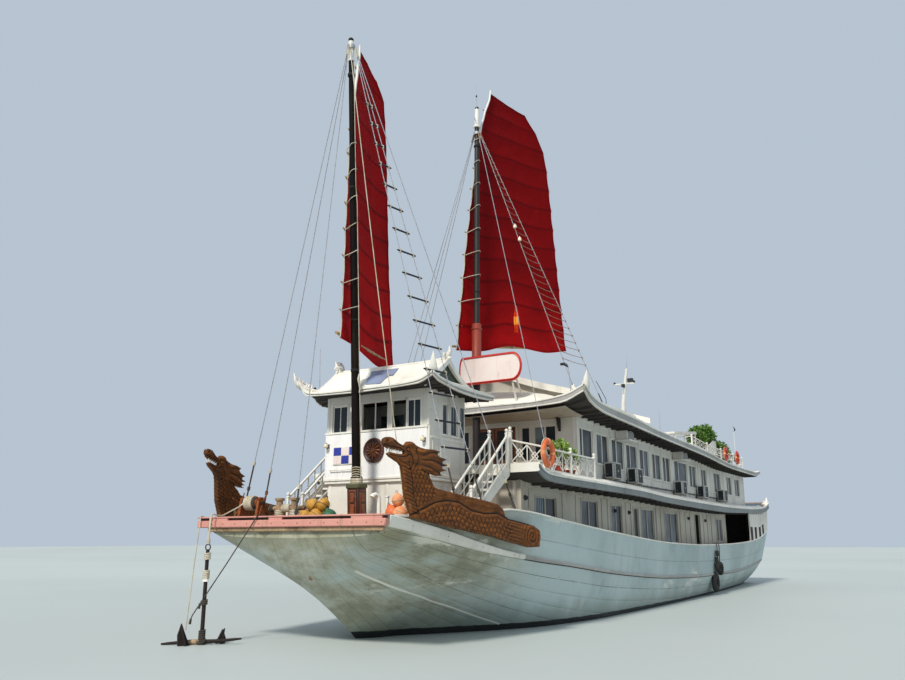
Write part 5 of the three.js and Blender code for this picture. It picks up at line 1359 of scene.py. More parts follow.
make_sail("foresail", FORE, FORE_SAIL, 5, 10, 12, "foresail", "foresail", "foresail_rig", 3.1)
make_sail("mainsail", MAIN, MAIN_SAIL, 5, 10, 12, "mainsail", "mainsail", "mainsail_rig", 8.7)

# booms along the foot, with end bands and lashings
for name, m, outline, body in (("foresail", FORE, FORE_SAIL, "foresail_rig"), ("mainsail", MAIN, MAIN_SAIL, "mainsail_rig")):
    k = 1 / math.cos(math.radians(m["rake"]))
    F = sail_frame(m)
    a, b = outline[0], outline[4]
    y = -(0.19 + 0.015 + 0.055)
    A, B = Vector((-a[0] + 0.1, y, (a[1] - m["z0"]) * k + 0.12)), Vector((-b[0] - 0.05, y, (b[1] - m["z0"]) * k + 0.12))
    s = Soup()
    s.tube([F @ A.lerp(B, i / 14) for i in range(15)], [0.038, 0.044] + [0.05] * 11 + [0.044, 0.036], 12, 0)
    for i in range(9):
        c = A.lerp(B, 0.06 + 0.11 * i)
        d = (B - A).normalized()
        s.tube([F @ (c - d * 0.03), F @ (c + d * 0.03)], 0.057, 10, 1)
    s.make(name + "_boom_spar", ["bamboo", "rope"], body=body, slot="spar_wood", replaces=(name + "_boom",))

# shrouds with rungs: heads, feet
fm_top = Vector((FORE["x"] + math.sin(math.radians(3.8)) * 13.5, 0, FORE["z0"] + math.cos(math.radians(3.8)) * 13.5))
mm_top = Vector((MAIN["x"] + math.sin(math.radians(-1)) * 12.72, 0, MAIN["z0"] + math.cos(math.radians(-1)) * 12.72))


def head_of(top, foot, r, k):
    d = Vector((foot[0] - top.x, foot[1], 0)).normalized() * (r + 0.03)
    return Vector((top.x + d.x, top.y + d.y, top.z + 0.03 * (k % 3 - 1)))


def on_line(a, b, z):
    t = (z - a.z) / (b.z - a.z)
    return a.lerp(b, t)


ff = [Vector(p) for p in ((17.57, 3.12, 2.954), (16.60, 3.29, 3.026), (15.30, 3.48, 3.154), (17.85, -3.06, 2.947), (18.75, -2.90, 2.932), (19.88, 0.0, 2.94))]
fh = [head_of(fm_top, f, 0.087, k) for k, f in enumerate(ff)]
s = Soup()
for z in (4.63, 5.30, 6.00, 6.62, 7.28, 7.92, 8.58, 9.24, 9.88, 10.52, 11.18, 11.84, 12.48, 13.1, 13.74, 14.36):
    a, b = on_line(fh[0], ff[0], z), on_line(fh[1], ff[1], z)
    d = (b - a).normalized()
    s.tube([a - d * 0.10, a - d * 0.06, b + d * 0.06, b + d * 0.10], [0.018, 0.026, 0.026, 0.018], 8, 0)
    for c in (a, b):
        s.tube([c - Vector((0, 0, 0.05)), c + Vector((0, 0, 0.05))], 0.030, 7, 1)
s.make("fore_ladder_rungs", ["rung", "rope"], slot="rigging_wire")
s = Soup()
for k, f in enumerate(ff):  # lanyards and shackles at the feet, seizings at the heads
    h = fh[k]
    d = (h - f).normalized()
    L = (1.25, 1.1, 0.8, 1.35, 1.5, 0.7)[k]
    s.tube([f - d * 0.02, f + d * 0.10, f + d * 0.12, f + d * (L - 0.03), f + d * L], [0.02, 0.024, 0.020, 0.022, 0.014], 7, 0)
    for q in (0.12, L * 0.55, L):
        s.tube([f + d * (q - 0.05), f + d * (q + 0.05)], [0.040, 0.040], 8, 0 if q < L else 1)
    s.tube([h - d * 0.35, h - d * 0.02], [0.018, 0.022], 7, 1)
    s.box(f.x - 0.06, f.x + 0.06, f.y - 0.045, f.y + 0.045, f.z - 0.03, f.z + 0.03, 0.01, 2)
s.make("fore_lanyards", ["darkrope", "rope", "steel"], slot="rigging_wire")

# halyard, its cleat, and a second line down the mast
s = Soup()
a, b = fm_top + Vector((0.10, 0.04, -0.06)), Vector((18.06, 1.92, 2.86))
s.tube([a.lerp(b, t) + Vector((0.05, 0.0, 0)) * math.sin(math.pi * t) for t in np.linspace(0, 1, 24)], 0.013, 6, 0)
s.tube([(18.06, 1.84, 2.87), (18.06, 1.86, 2.91), (18.06, 2.0, 2.91), (18.06, 2.02, 2.87)], 0.02, 6, 1)
F = mast_frame(FORE)
s.tube([F @ Vector((0.02, 0.16, h)) if 1.2 < h < 9 else F @ Vector((0.03, 0.13 - 0.004 * (h - 9), h)) for h in np.linspace(1.1, 13.0, 26)], 0.010, 6, 0)
for h in (1.2, 1.26, 1.32, 1.38, 1.44):
    r = 0.128
    s.tube([F @ Vector((r * math.cos(t), r * math.sin(t), h + 0.01 * math.sin(3 * t))) for t in np.linspace(0, 2 * math.pi, 17)[:-1]], 0.016, 6, 0, closed=True)
s.tube([F @ Vector(p) for p in ((0.02, 0.15, 3.9), (0.08, 0.16, 3.75), (0.04, 0.165, 3.62), (0.0, 0.155, 3.5), (0.05, 0.16, 3.4))], [0.02, 0.028, 0.026, 0.022, 0.012], 7, 0)
s.make("fore_halyards", ["rope", "steel"], slot="rope")

# main rigging: ratlines, lashings, two small lamps
mf_ = [(13.35, 3.66, 4.20), (10.75, 3.45, None), (9.1, 3.72, None), (12.0, -3.66, 4.19), (10.75, -3.45, None), (9.9, -3.72, None)]
mf = [Vector((x, y, z if z else roof_height(roof_at, x, y) + 0.02)) for x, y, z in mf_]
mh = [head_of(mm_top, f, 0.092, k) for k, f in enumerate(mf)]
s = Soup()
for i in range(34):
    z = 8.15 + 0.26 * i
    a, b = on_line(mh[1], mf[1], z), on_line(mh[2], mf[2], z)
    c = (a + b) / 2 - Vector((0, 0, 0.02))
    s.tube([a, c, b], 0.009, 6, 0)
    s.tube([a - Vector((0, 0, 0.03)), a + Vector((0, 0, 0.03))], 0.021, 6, 0)
    s.tube([b - Vector((0, 0, 0.03)), b + Vector((0, 0, 0.03))], 0.021, 6, 0)
for k, f in enumerate(mf):
    d = (mh[k] - f).normalized()
    s.tube([f, f + d * 0.5], [0.024, 0.018], 7, 1)
    s.tube([mh[k] - d * 0.3, mh[k]], [0.018, 0.022], 7, 0)
    s.box(f.x - 0.05, f.x + 0.05, f.y - 0.04, f.y + 0.04, f.z - 0.03, f.z + 0.02, 0.01, 2)
for z, side in ((13.05, 0.0), (12.55, 0.02)):
    a = on_line(mh[1], mf[1], z)
    m = Matrix.Translation(a + Vector((0.03, 0.05, -0.12)))
    s.lathe([(0, 0), (0.045, 0.005), (0.06, 0.02), (0.06, 0.10), (0.045, 0.125), (0.02, 0.135), (0.012, 0.17), (0, 0.17)], m, 12, 3)
s.make("main_ratlines", ["ratline", "darkrope", "steel", "lamp"], slot="rigging_wire")

# mast tabernacle: red box with gilt panels and a rope collar
s = Soup()
s.box(-0.185, 0.185, -0.185, 0.185, 0.012, 0.92, 0.02, 0, F)
s.box(-0.21, 0.21, -0.21, 0.21, 0.90, 1.02, 0.02, 3, F)
s.box(-0.205, 0.205, -0.205, 0.205, 0.012, 0.10, 0.015, 0, F)
for sx, sy in ((1, 0), (0, 1), (0, -1), (-1, 0)):
    for z0, z1, w, mi, d in ((0.14, 0.86, 0.115, 1, 0.012), (0.17, 0.83, 0.090, 0, 0.020), (0.22, 0.50, 0.065, 1, 0.028), (0.55, 0.79, 0.065, 1, 0.028)):
        if sx:
            s.box(sx * 0.18, sx * (0.185 + d), -w, w, z0, z1, 0.006, mi, F)
        else:
            s.box(-w, w, sy * 0.18, sy * (0.185 + d), z0, z1, 0.006, mi, F)
for k in range(5):
    r = 0.150 + 0.004 * (k % 2)
    h = 1.035 + 0.028 * k
    s.tube([F @ Vector((r * math.cos(t), r * math.sin(t), h)) for t in np.linspace(0, 2 * math.pi, 19)[:-1]], 0.018, 6, 2, closed=True)
s.make("mast_tabernacle_box", ["tab", "gold", "rope", "tabring"], slot="red_paint", replaces=("mast_tabernacle",))

# a limp two-coloured pennant hung from the forward port stay
s = Soup()
top = on_line(mh[0], mf[0], 9.62)
g = []
for i in range(13):
    row = []
    u = i / 12
    for j in range(29):
        v = j / 28
        zig = 0.055 * math.sin(u * 3 * math.pi + 0.5 * math.sin(2.5 * v)) * (0.45 + 0.55 * v)
        spread = 0.13 * (u - 0.5) * (0.55 + 0.6 * math.sin(math.pi * min(1, v * 1.2)) + 0.25 * v)
        x, y, z = top.x - 0.02 + zig, top.y + 0.0 + spread, top.z - 0.02 - 0.80 * v - 0.06 * abs(u - 0.5) * v
        row.append((x, y, z))
    g.append(row)
s.sheet(g, 0.004, 0)
nf = len(s.f)
for k in range(nf):
    z = s.v[s.f[k][0]][2]
    if top.z - 0.56 < z < top.z - 0.30:
        s.m[k] = 1
flag = s.make("pennant", ["flagred", "flagyellow"], slot="sail_cloth", smooth=70)
t = Soup()
t.tube([top + Vector((0, 0, 0.03)), top - Vector((0.02, 0, 0.03))], 0.018, 7, 0)
t.make("pennant_toggle", ["rope"], slot="rope")


# ------------------------------------------------------------------ walls with real window openings
LOWER_Y, UPPER_Y, WALL = 3.12, 3.05, 0.06
WALLMATS = ["wall", "white", "glass", "glassdark", "recess", "curtain", "lowwall", "steel"]


def side_map(y, sd):
    """Local (u along x, t outward from the wall's face, z) to the world for a side wall."""
    return lambda u, t, z: (u, sd * (y + t), z)


def front_map(x, way=1):
    return lambda u, t, z: (x + way * t, u, z)


def wbox(s, place, u0, u1, t0, t1, z0, z1, c=0.005, mi=0):
    """Chamfered box between two corners in wall coordinates."""
    a, b = place(u0, t0, z0), place(u1, t1, z1)
    s.box(a[0], b[0], a[1], b[1], a[2], b[2], c, mi)


def wall_run(s, place, u0, u1, thick, bot, top, holes, mi=0, step=0.9):
    """A wall of closed blocks that leaves the holes (u0, u1, z0, z1) open."""
    cuts = {u0, u1}
    for h in holes:
        cuts |= {h[0], h[1]}
    cuts = sorted(cuts)
    full = []
    for a, b in zip(cuts, cuts[1:]):
        n = max(1, int((b - a) / step))
        full += [(lerp(a, b, k / n), lerp(a, b, (k + 1) / n)) for k in range(n)]
    for a, b in full:
        m = (a + b) / 2
        inside = [h for h in holes if h[0] < m < h[1]]
        spans = [(None, None)] if not inside else [(None, inside[0][2]), (inside[0][3], None)]
        for z0, z1 in spans:
            ring = []
            for u in (a, b):
                lo = bot(u) if z0 is None else z0
                hi = top(u) if z1 is None else z1
                if hi - lo < 0.01:
                    break
                ring.append([place(u, 0, lo), place(u, 0, hi), place(u, -thick, hi), place(u, -thick, lo)])
            if len(ring) == 2:
                s.rings(ring, mi)


def window(s, place, u0, u1, z0, z1, panes, trim=1, sill=True):
    """Casing, sashes and panes set back in the wall; panes is a list of (share, material index)."""
    w = 0.050
    wbox(s, place, u0 - w, u1 + w, -0.006, 0.022, z1, z1 + w, 0.006, trim)
    wbox(s, place, u0 - w, u1 + w, -0.006, 0.026, z0 - w, z0, 0.006, trim)
    if sill:
        wbox(s, place, u0 - w - 0.02, u1 + w + 0.02, -0.004, 0.048, z0 - w - 0.012, z0 - w + 0.018, 0.006, trim)
    for a, b in ((u0 - w, u0), (u1, u1 + w)):
        wbox(s, place, a, b, -0.006, 0.020, z0, z1, 0.006, trim)
    total = sum(p[0] for p in panes)
    u = u0
    for share, mi in panes:
        v = u + (u1 - u0) * share / total
        if mi is not None:
            f = 0.030
            wbox(s, place, u + 0.002, v - 0.002, -0.052, -0.046, z0 + 0.002, z1 - 0.002, 0.001, mi)
            for a, b, c, d in ((u, u + f, z0, z1), (v - f, v, z0, z1), (u + f, v - f, z0, z0 + f), (u + f, v - f, z1 - f, z1)):
                wbox(s, place, a, b, -0.050, -0.022, c, d, 0.004, trim)
        else:
            # painted shade: an open pane gets a dark board set back in the room behind it
            wbox(s, place, u, v, -0.40, -0.36, z0 - 0.1, z1 + 0.1, 0.001, 4)
            if v - u > 0.25:  # a curtain drawn to one side inside
                g = [[place(lerp(u + 0.01, u + (v - u) * 0.34, i / 8), -0.10 - 0.016 * (i % 2) - 0.004 * math.sin(5 * j), lerp(z0 - 0.02, z1 + 0.02, j / 6)) for j in range(7)] for i in range(9)]
                s.sheet(g, 0.004, 5)
        u = v


D, L = 3, 2
UPPER_WINDOWS = [(8.60, 9.76, [(0.86, L), (0.34, D)]), (7.12, 8.26, [(0.55, D), (0.57, L)]), (5.55, 6.80, [(0.66, L), (0.51, D)]), (4.06, 5.30, [(0.55, L), (0.40, D)]), (2.64, 3.78, [(0.5, L), (0.51, D)]),
                 (1.08, 2.24, [(0.5, L), (0.39, D)]), (-0.21, 0.85, [(0.5, D), (0.5, L)]), (-2.80, -0.80, [(1.16, L), (0.68, D)]), (-4.30, -3.15, [(0.5, L), (0.5, D)]), (-6.20, -5.20, [(0.5, L), (0.5, D)]),
                 (-8.90, -7.60, [(0.5, L), (0.5, D)]), (-11.40, -10.30, [(0.5, L), (0.4, D)]), (-13.30, -12.10, [(0.5, D), (0.5, L)])]
uw_top = pchip([-13.0, 0.0, 9.57], [5.70, 5.82, 6.04])
uw_bot = pchip([-13.0, 0.0, 9.57], [4.76, 4.79, 5.01])
LOWER_WINDOWS = [(11.92, 13.36, 2.62, 3.62, [(0.5, D), (0.5, L)]), (8.58, 10.00, 2.45, 3.66, [(0.5, L), (0.5, L)]), (4.48, 5.04, 2.30, 3.56, [(1, D)]), (2.66, 4.14, 2.30, 3.56, [(0.5, L), (0.5, L)]),
                 (-0.55, 1.24, 2.30, 3.50, [(0.5, L), (0.5, L)]), (6.25, 7.35, 2.40, 3.60, [(1, D), (1, L)]), (-8.3, -7.1, 2.35, 3.42, [(1, L), (1, D)])]
for name, sd in SIDES:
    # upper wall
    place = side_map(UPPER_Y, sd)
    s = Soup()
    holes = [(a, b, uw_bot((a + b) / 2), uw_top((a + b) / 2)) for a, b, _ in UPPER_WINDOWS]
    wall_run(s, place, -14.40, 9.95, WALL, lambda u: deck_row(u)[2] + 0.004, lambda u: roof_under(roof_at, u, UPPER_Y) - 0.002, holes, 0)
    for (a, b, panes), h in zip(UPPER_WINDOWS, holes):
        window(s, place, a, b, h[2], h[3], panes)
    for u in (9.90, -14.35, 8.43, 6.96, 5.43, 3.92, 2.44, 0.97, -0.50, -2.97, -4.7, -6.9, -9.6, -11.75):  # corner boards and battens
        wbox(s, place, u - 0.045, u + 0.045, -0.004, 0.016, deck_row(u)[2] + 0.02, roof_under(roof_at, u, UPPER_Y) - 0.02, 0.005, 1 if u in (9.90, -14.35) else 0)
    rings = []
    for u in np.arange(-14.38, 9.97, 0.5):  # skirting and frieze
        z = deck_row(u)[2]
        rings.append([place(u, -0.004, z + 0.008), place(u, 0.026, z + 0.008), place(u, 0.026, z + 0.10), place(u, -0.004, z + 0.115)])
    s.rings(rings, 1)
    rings = []
    for u in np.arange(-14.38, 9.97, 0.5):
        z = roof_under(roof_at, u, UPPER_Y)
        rings.append([place(u, -0.004, z - 0.12), place(u, 0.024, z - 0.11), place(u, 0.024, z - 0.01), place(u, -0.004, z - 0.01)])
    s.rings(rings, 1)
    # ducts under the eaves
    for u0, u1 in ((5.62, 6.36), (-1.42, -0.64)):
        z = roof_under(roof_at, u0, 3.3)
        wbox(s, place, u0, u1, 0.01, 0.46, z - 0.34, z - 0.02, 0.02, 0)
        wbox(s, place, u0 - 0.08, u1 + 0.08, 0.005, 0.56, z - 0.40, z - 0.345, 0.01, 1)
        for k in range(6):
            wbox(s, place, u0 + 0.06, u1 - 0.06, 0.455, 0.475, z - 0.31 + 0.045 * k, z - 0.285 + 0.045 * k, 0.003, 7)
    s.make(f"upper_wall_{name}_boards", WALLMATS, slot="wall_paint", replaces=(f"upper_wall_{name}",))
    # lower wall
    place = side_map(LOWER_Y, sd)
    s = Soup()
    holes = [(a, b, z0, z1) for a, b, z0, z1, _ in LOWER_WINDOWS] + [(-4.10, -3.28, 1.632, 3.54)]
    wall_run(s, place, -9.0, 14.30, WALL, lambda u: MAIN_DECK + 0.004, lambda u: deck_row(u)[1] - 0.002, holes, 0)
    for a, b, z0, z1, panes in LOWER_WINDOWS:
        window(s, place, a, b, z0, z1, panes)
    for a, b in ((-4.16, -4.10), (-3.28, -3.22)):
        wbox(s, place, a, b, -0.005, 0.03, 1.64, 3.60, 0.006, 1)
    wbox(s, place, -4.10, -3.28, -0.005, 0.03, 3.54, 3.60, 0.006, 1)
    for u in (14.26, 13.75, 11.45, 10.42, 8.2, 7.65, 5.85, 5.3, 2.35, 1.75, -0.95, -1.75, -2.5, -4.75, -5.45, -6.2, -8.65, -8.96):
        wbox(s, place, u - 0.05, u + 0.05, -0.004, 0.028, 1.64, deck_row(u)[1] - 0.01, 0.006, 1 if u in (2.35, -2.5, -4.75, 14.26) else 0)
    rings = []
    for u in np.arange(-8.98, 14.3, 0.5):
        z = deck_row(u)[1]
        rings.append([place(u, -0.004, z - 0.15), place(u, 0.03, z - 0.14), place(u, 0.03, z - 0.006), place(u, -0.004, z - 0.006)])
    s.rings(rings, 0)
    for u, z in ((7.0, 3.40), (5.55, 3.38), (-2.2, 3.34), (14.02, 3.55), (-5.0, 3.3)):  # bulkhead lamps
        m = Matrix.Translation(place(u, 0.0, z)) @ Matrix.Rotation(-sd * math.pi / 2, 4, "X")
        s.lathe([(0, -0.004), (0.07, -0.004), (0.075, 0.02), (0.06, 0.04), (0.05, 0.075), (0.03, 0.095), (0, 0.10)], m, 14, 7)
    s.make(f"lower_wall_{name}_boards", ["lowwall", "lowwall", "glass", "glassdark", "recess", "curtain", "wall", "unitdark"], slot="wall_paint", replaces=(f"lower_wall_{name}",))

# end walls
for X, way, y_in, bot, top, node, body_mats, holes, wins in (
    (14.30, 1, 3.058, lambda u: MAIN_DECK + 0.004, lambda u: deck_row(14.27)[1] - 0.01, "lower_wall_front", "lowwall", [], []),
    (-9.0, -1, 3.058, lambda u: MAIN_DECK + 0.004, lambda u: deck_row(-8.97)[1] - 0.01, "lower_wall_aft", "lowwall", [(-0.45, 0.45, 1.626, 3.57)], []),
    (-14.40, -1, 2.988, lambda u: deck_row(-14.4)[2] + 0.012, lambda u: roof_under(roof_at, -14.4, u) - 0.004, "upper_wall_aft", "wall", [], [(-2.0, -0.9, 4.95, 5.70), (0.9, 2.0, 4.95, 5.70)]),
    (9.95, 1, 2.988, lambda u: deck_row(9.95)[2] + 0.006, lambda u: roof_under(roof_at, 9.92, u) - 0.004, "upper_wall_front", "wall", [(-0.82, 0.82, 4.176, 6.17)],
     [(1.02, 1.34, 4.98, 6.12), (1.50, 2.30, 4.98, 6.12), (-1.34, -1.02, 4.98, 6.12), (-2.30, -1.50, 4.98, 6.12)]),
):
    place = front_map(X, way)
    s = Soup()
    wall_run(s, place, -y_in, y_in, WALL, bot, top, holes + wins, 0)
    for k, h in enumerate(wins):
        window(s, place, *h, [(1, D if k % 2 == 0 else L)] if h[1] - h[0] < 0.5 else [(0.5, L), (0.5, D)])
    for h in holes:
        for a, b in ((h[0] - 0.07, h[0]), (h[1], h[1] + 0.07)):
            wbox(s, place, a, b, -0.005, 0.03, h[2] + 0.01, h[3] + 0.07, 0.006, 1)
        wbox(s, place, h[0], h[1], -0.005, 0.03, h[3], h[3] + 0.07, 0.006, 1)
    for u in (-2.94, 2.94):
        wbox(s, place, u - 0.045, u + 0.045, -0.004, 0.02, bot(u) + 0.02, top(u) - 0.02, 0.005, 1)
    if node == "upper_wall_front":
        for u in (-2.55, 2.46):  # scrolled brackets under the front eave
            for k in range(6):
                wbox(s, place, u - 0.035, u + 0.035, 0.0, 0.30 - 0.045 * k, 6.40 - 0.10 * k, 6.50 - 0.10 * k if k else 6.44, 0.006, 4)
    s.make(f"{node}_boards", [body_mats, "white", "glass", "glassdark", "recess", "curtain", "wall", "steel"], slot="wall_paint", replaces=(node,))


def leaf_panels(s, place, u0, u1, z0, z1, t0, t1, glazed=True, mi=0, gl=1, handle=None):
    """Panelled door leaf: stiles, rails, raised lower panels and panes above."""
    n = 0.09
    tm = (t0 + t1) / 2
    wbox(s, place, u0, u0 + n, t0, t1, z0, z1, 0.005, mi)
    wbox(s, place, u1 - n, u1, t0, t1, z0, z1, 0.005, mi)
    zz = [z0, z0 + (z1 - z0) * 0.42, z1]
    for z in (z0, zz[1] - n / 2, z1 - n):
        wbox(s, place, u0 + n, u1 - n, t0, t1, z, z + n, 0.005, mi)
    wbox(s, place, u0 + n, u1 - n, tm - 0.007, tm + 0.007, z0 + n, zz[1] - n / 2, 0.002, mi)
    for sgn in (1, -1):
        wbox(s, place, u0 + n + 0.05, u1 - n - 0.05, tm, tm + sgn * abs(t1 - t0) * 0.42, z0 + n + 0.06, zz[1] - n / 2 - 0.06, 0.008, mi)
    if glazed:
        wbox(s, place, u0 + n, u1 - n, tm - 0.004, tm + 0.004, zz[1] + n / 2, z1 - n, 0.001, gl)
        for k in (1, 2):
            z = lerp(zz[1] + n / 2, z1 - n, k / 3)
            wbox(s, place, u0 + n, u1 - n, tm - 0.012, tm + 0.012, z - 0.012, z + 0.012, 0.003, mi)
    else:
        wbox(s, place, u0 + n, u1 - n, tm - 0.007, tm + 0.007, zz[1] + n / 2, z1 - n, 0.002, mi)
    if handle:
        u, z = handle
        for sgn, tt in ((1, max(t0, t1)), (-1, min(t0, t1))):
            a, b, c = place(u, tt - sgn * 0.004, z), place(u, tt + sgn * 0.045, z), place(u + 0.10 * (1 if handle[0] < (u0 + u1) / 2 else -1), tt + sgn * 0.045, z)
            s.tube([a, b], 0.010, 8, 2)
            s.tube([b, c], 0.009, 8, 2)


for name, sd in SIDES:
    s = Soup()
    p = front_map(0, 1)
    a, b = (0.012, 0.808) if sd > 0 else (-0.808, -0.012)
    leaf_panels(s, p, a, b, 4.200, 6.155, 9.900, 9.940, True, 0, 1, (a + 0.06 if sd > 0 else b - 0.06, 5.05))
    s.make(f"cabin_door_{name}_leaf_panels", ["wood", "glassdark", "bronze"], body=f"cabin_door_{name}_leaf", slot="varnished_wood", replaces=(f"cabin_door_{name}",))
    s = Soup()
    a, b = (2.188, 3.048) if sd > 0 else (-3.048, -2.188)
    leaf_panels(s, p, a, b, 1.640, 3.555, -4.160, -4.120, False, 0, 1, (a + 0.06 if sd > 0 else b - 0.06, 2.6))
    s.make(f"lower_door_{name}_leaf_panels", ["doordark", "glassdark", "bronze"], body=f"lower_door_{name}_leaf", slot="varnished_wood", replaces=(f"lower_door_{name}",))
s = Soup()
p = lambda u, t, z: (u, t, z)
leaf_panels(s, p, 15.172, 15.848, 4.025, 5.935, -1.742, -1.702, True, 0, 1, (15.23, 5.0))
s.make("wheelhouse_door_panels", ["wood", "glass", "bronze"], body="wheelhouse_door_leaf", slot="varnished_wood", replaces=("wheelhouse_door",))

# ------------------------------------------------------------------ wheelhouse
WX0, WX1, WY, WF = 14.95, 16.78, 1.74, 3.98
under = lambda x, y: roof_under(wh_at, x, y) - 0.004
s = Soup()  # front wall
pf = front_map(WX1, 1)
HOLES = [(-1.54, -1.02, 5.34, 6.10), (-0.49, 0.37, 5.34, 6.10), (0.54, 0.98, 5.34, 6.10), (1.02, 1.46, 5.34, 6.10)]
wall_run(s, pf, -WY, WY, 0.05, lambda u: WF + 0.003, lambda u: under(WX1, u), HOLES, 0)
for k, h in enumerate(HOLES):
    w = 0.045
    wbox(s, pf, h[0] - w, h[1] + w, -0.004, 0.020, h[3], h[3] + w, 0.005, 1)
    for a, b in ((h[0] - w, h[0]), (h[1], h[1] + w)):
        if not (k == 2 and a > 0.9) and not (k == 3 and a < 1.0):
            wbox(s, pf, a, b, -0.004, 0.020, h[2], h[3], 0.005, 1)
    if k in (0, 3):
        wbox(s, pf, h[0], h[1], -0.034, -0.028, h[2], h[3], 0.001, 2)
        for a, b, c, d in ((h[0], h[0] + 0.03, h[2], h[3]), (h[1] - 0.03, h[1], h[2], h[3]), (h[0], h[1], h[2], h[2] + 0.03), (h[0], h[1], h[3] - 0.03, h[3])):
            wbox(s, pf, a, b, -0.045, -0.015, c, d, 0.004, 1)
        m = (h[0] + h[1]) / 2
        wbox(s, pf, m - 0.014, m + 0.014, -0.045, -0.015, h[2] + 0.03, h[3] - 0.03, 0.004, 1)
    if k == 1:
        wbox(s, pf, -0.075, -0.045, -0.045, -0.015, h[2], h[3], 0.004, 1)
wbox(s, pf, -1.79, 1.70, -0.002, 0.045, 5.30, 5.36, 0.010, 1)
wbox(s, pf, -1.76, 1.67, 0.0, 0.022, 4.05, 5.30, 0.004, 3)
for u in (-1.76, -1.17, -0.59, 0.0, 0.57, 1.12, 1.62):
    wbox(s, pf, u, u + 0.05, 0.018, 0.030, 4.05, 5.30, 0.004, 3)
wbox(s, pf, -1.79, 1.70, -0.002, 0.040, 4.0, 4.07, 0.010, 1)
for u in (-1.70, 1.70):
    wbox(s, pf, u - 0.04, u + 0.04, -0.004, 0.016, 5.37, under(WX1, u) - 0.01, 0.005, 1)
s.make("wheelhouse_front_boards", ["wall", "white", "glass", "frontwhite"], slot="wall_paint", replaces=("wheelhouse_front",))
for name, sd in SIDES:
    s = Soup()
    pl = side_map(WY, sd)
    holes = [(15.86, 16.14, 5.18, 6.02), (15.36, 15.72, 5.18, 6.02)] if sd > 0 else [(16.10, 16.52, 5.18, 6.02), (15.16, 15.86, 4.01, 5.95)]
    wall_run(s, pl, WX0 + 0.051, WX1 - 0.051, 0.05, lambda u: WF + 0.003, lambda u: under(u, WY), holes, 0)
    for h in holes:
        w, lowz = 0.04, h[2]
        wbox(s, pl, h[0] - w, h[1] + w, -0.004, 0.020 if lowz > 5 else 0.012, h[3], h[3] + w, 0.005, 1)
        for a, b in ((h[0] - w, h[0]), (h[1], h[1] + w)):
            wbox(s, pl, a, b, -0.004, 0.018 if lowz > 5 else 0.012, lowz, h[3], 0.005, 1)
        if lowz > 5:
            wbox(s, pl, h[0] - w - 0.015, h[1] + w + 0.015, -0.004, 0.035, lowz - 0.05, lowz, 0.005, 1)
            f = 0.026
            for a, b, c, d in ((h[0], h[0] + f, h[2], h[3]), (h[1] - f, h[1], h[2], h[3]), (h[0], h[1], h[2], h[2] + f), (h[0], h[1], h[3] - f, h[3])):
                wbox(s, pl, a, b, -0.044, -0.016, c, d, 0.004, 1)
            wbox(s, pl, h[0], h[1], -0.033, -0.028, h[2], h[3], 0.001, 2)
    if sd > 0:
        wbox(s, pl, 15.02, 15.22, -0.004, 0.006, 5.18, 6.02, 0.003, 2)
        for a, b, c, d in ((14.99, 15.02, 5.14, 6.06), (15.22, 15.26, 5.14, 6.06), (15.02, 15.22, 6.02, 6.06), (15.02, 15.22, 5.14, 5.18)):
            wbox(s, pl, a, b, -0.004, 0.018, c, d, 0.004, 1)
        wbox(s, pl, 15.0, 16.72, -0.002, 0.018, 4.02, 4.10, 0.005, 1)
        wbox(s, pl, 15.0, 16.72, -0.002, 0.014, 5.02, 5.08, 0.005, 1)
        for u in (15.3, 15.75, 16.2, 16.62):
            wbox(s, pl, u - 0.02, u + 0.02, -0.002, 0.010, 4.10, 5.02, 0.003, 0)
    s.make(f"wheelhouse_{name}_boards", ["wall", "white", "glass"], slot="wall_paint", replaces=(f"wheelhouse_{name}",))
s = Soup()
pa = front_map(WX0, -1)
holes = [(-1.2, -0.3, 5.25, 6.05), (0.3, 1.2, 5.25, 6.05)]
wall_run(s, pa, -WY, WY, 0.05, lambda u: WF + 0.003, lambda u: under(WX0, u), holes, 0)
for h in holes:
    w, f = 0.04, 0.03
    for a, b, c, d in ((h[0] - w, h[1] + w, h[3], h[3] + w), (h[0] - w, h[1] + w, h[2] - w, h[2]), (h[0] - w, h[0], h[2], h[3]), (h[1], h[1] + w, h[2], h[3])):
        wbox(s, pa, a, b, -0.004, 0.018, c, d, 0.005, 1)
    for a, b, c, d in ((h[0], h[0] + f, h[2], h[3]), (h[1] - f, h[1], h[2], h[3]), (h[0], h[1], h[2], h[2] + f), (h[0], h[1], h[3] - f, h[3]), ((h[0] + h[1]) / 2 - 0.015, (h[0] + h[1]) / 2 + 0.015, h[2], h[3])):
        wbox(s, pa, a, b, -0.044, -0.016, c, d, 0.004, 1)
    wbox(s, pa, h[0], h[1], -0.033, -0.028, h[2], h[3], 0.001, 2)
s.make("wheelhouse_aft_boards", ["wall", "white", "glass"], slot="wall_paint", replaces=("wheelhouse_aft",))
s = Soup()  # base: hollow box with a doorway aft, panelled outside
x0, x1, y = 15.05, 16.72, 1.68
for sd in (1, -1):
    s.box(x0, x1, sd * (y - 0.06), sd * y, 2.803, 3.925, 0.004, 0)
    for a, b in ((x0, x0 + 0.09), (x1 - 0.09, x1), ((x0 + x1) / 2 - 0.04, (x0 + x1) / 2 + 0.04)):
        s.box(a, b, sd * y - sd * 0.004, sd * (y + 0.018), 2.81, 3.92, 0.005, 1)
    for z in (2.81, 3.80):
        s.box(x0, x1, sd * y - sd * 0.004, sd * (y + 0.016), z, z + 0.11, 0.005, 1)
s.box(x1 - 0.06, x1, -(y - 0.0605), y - 0.0605, 2.803, 3.925, 0.003, 0)
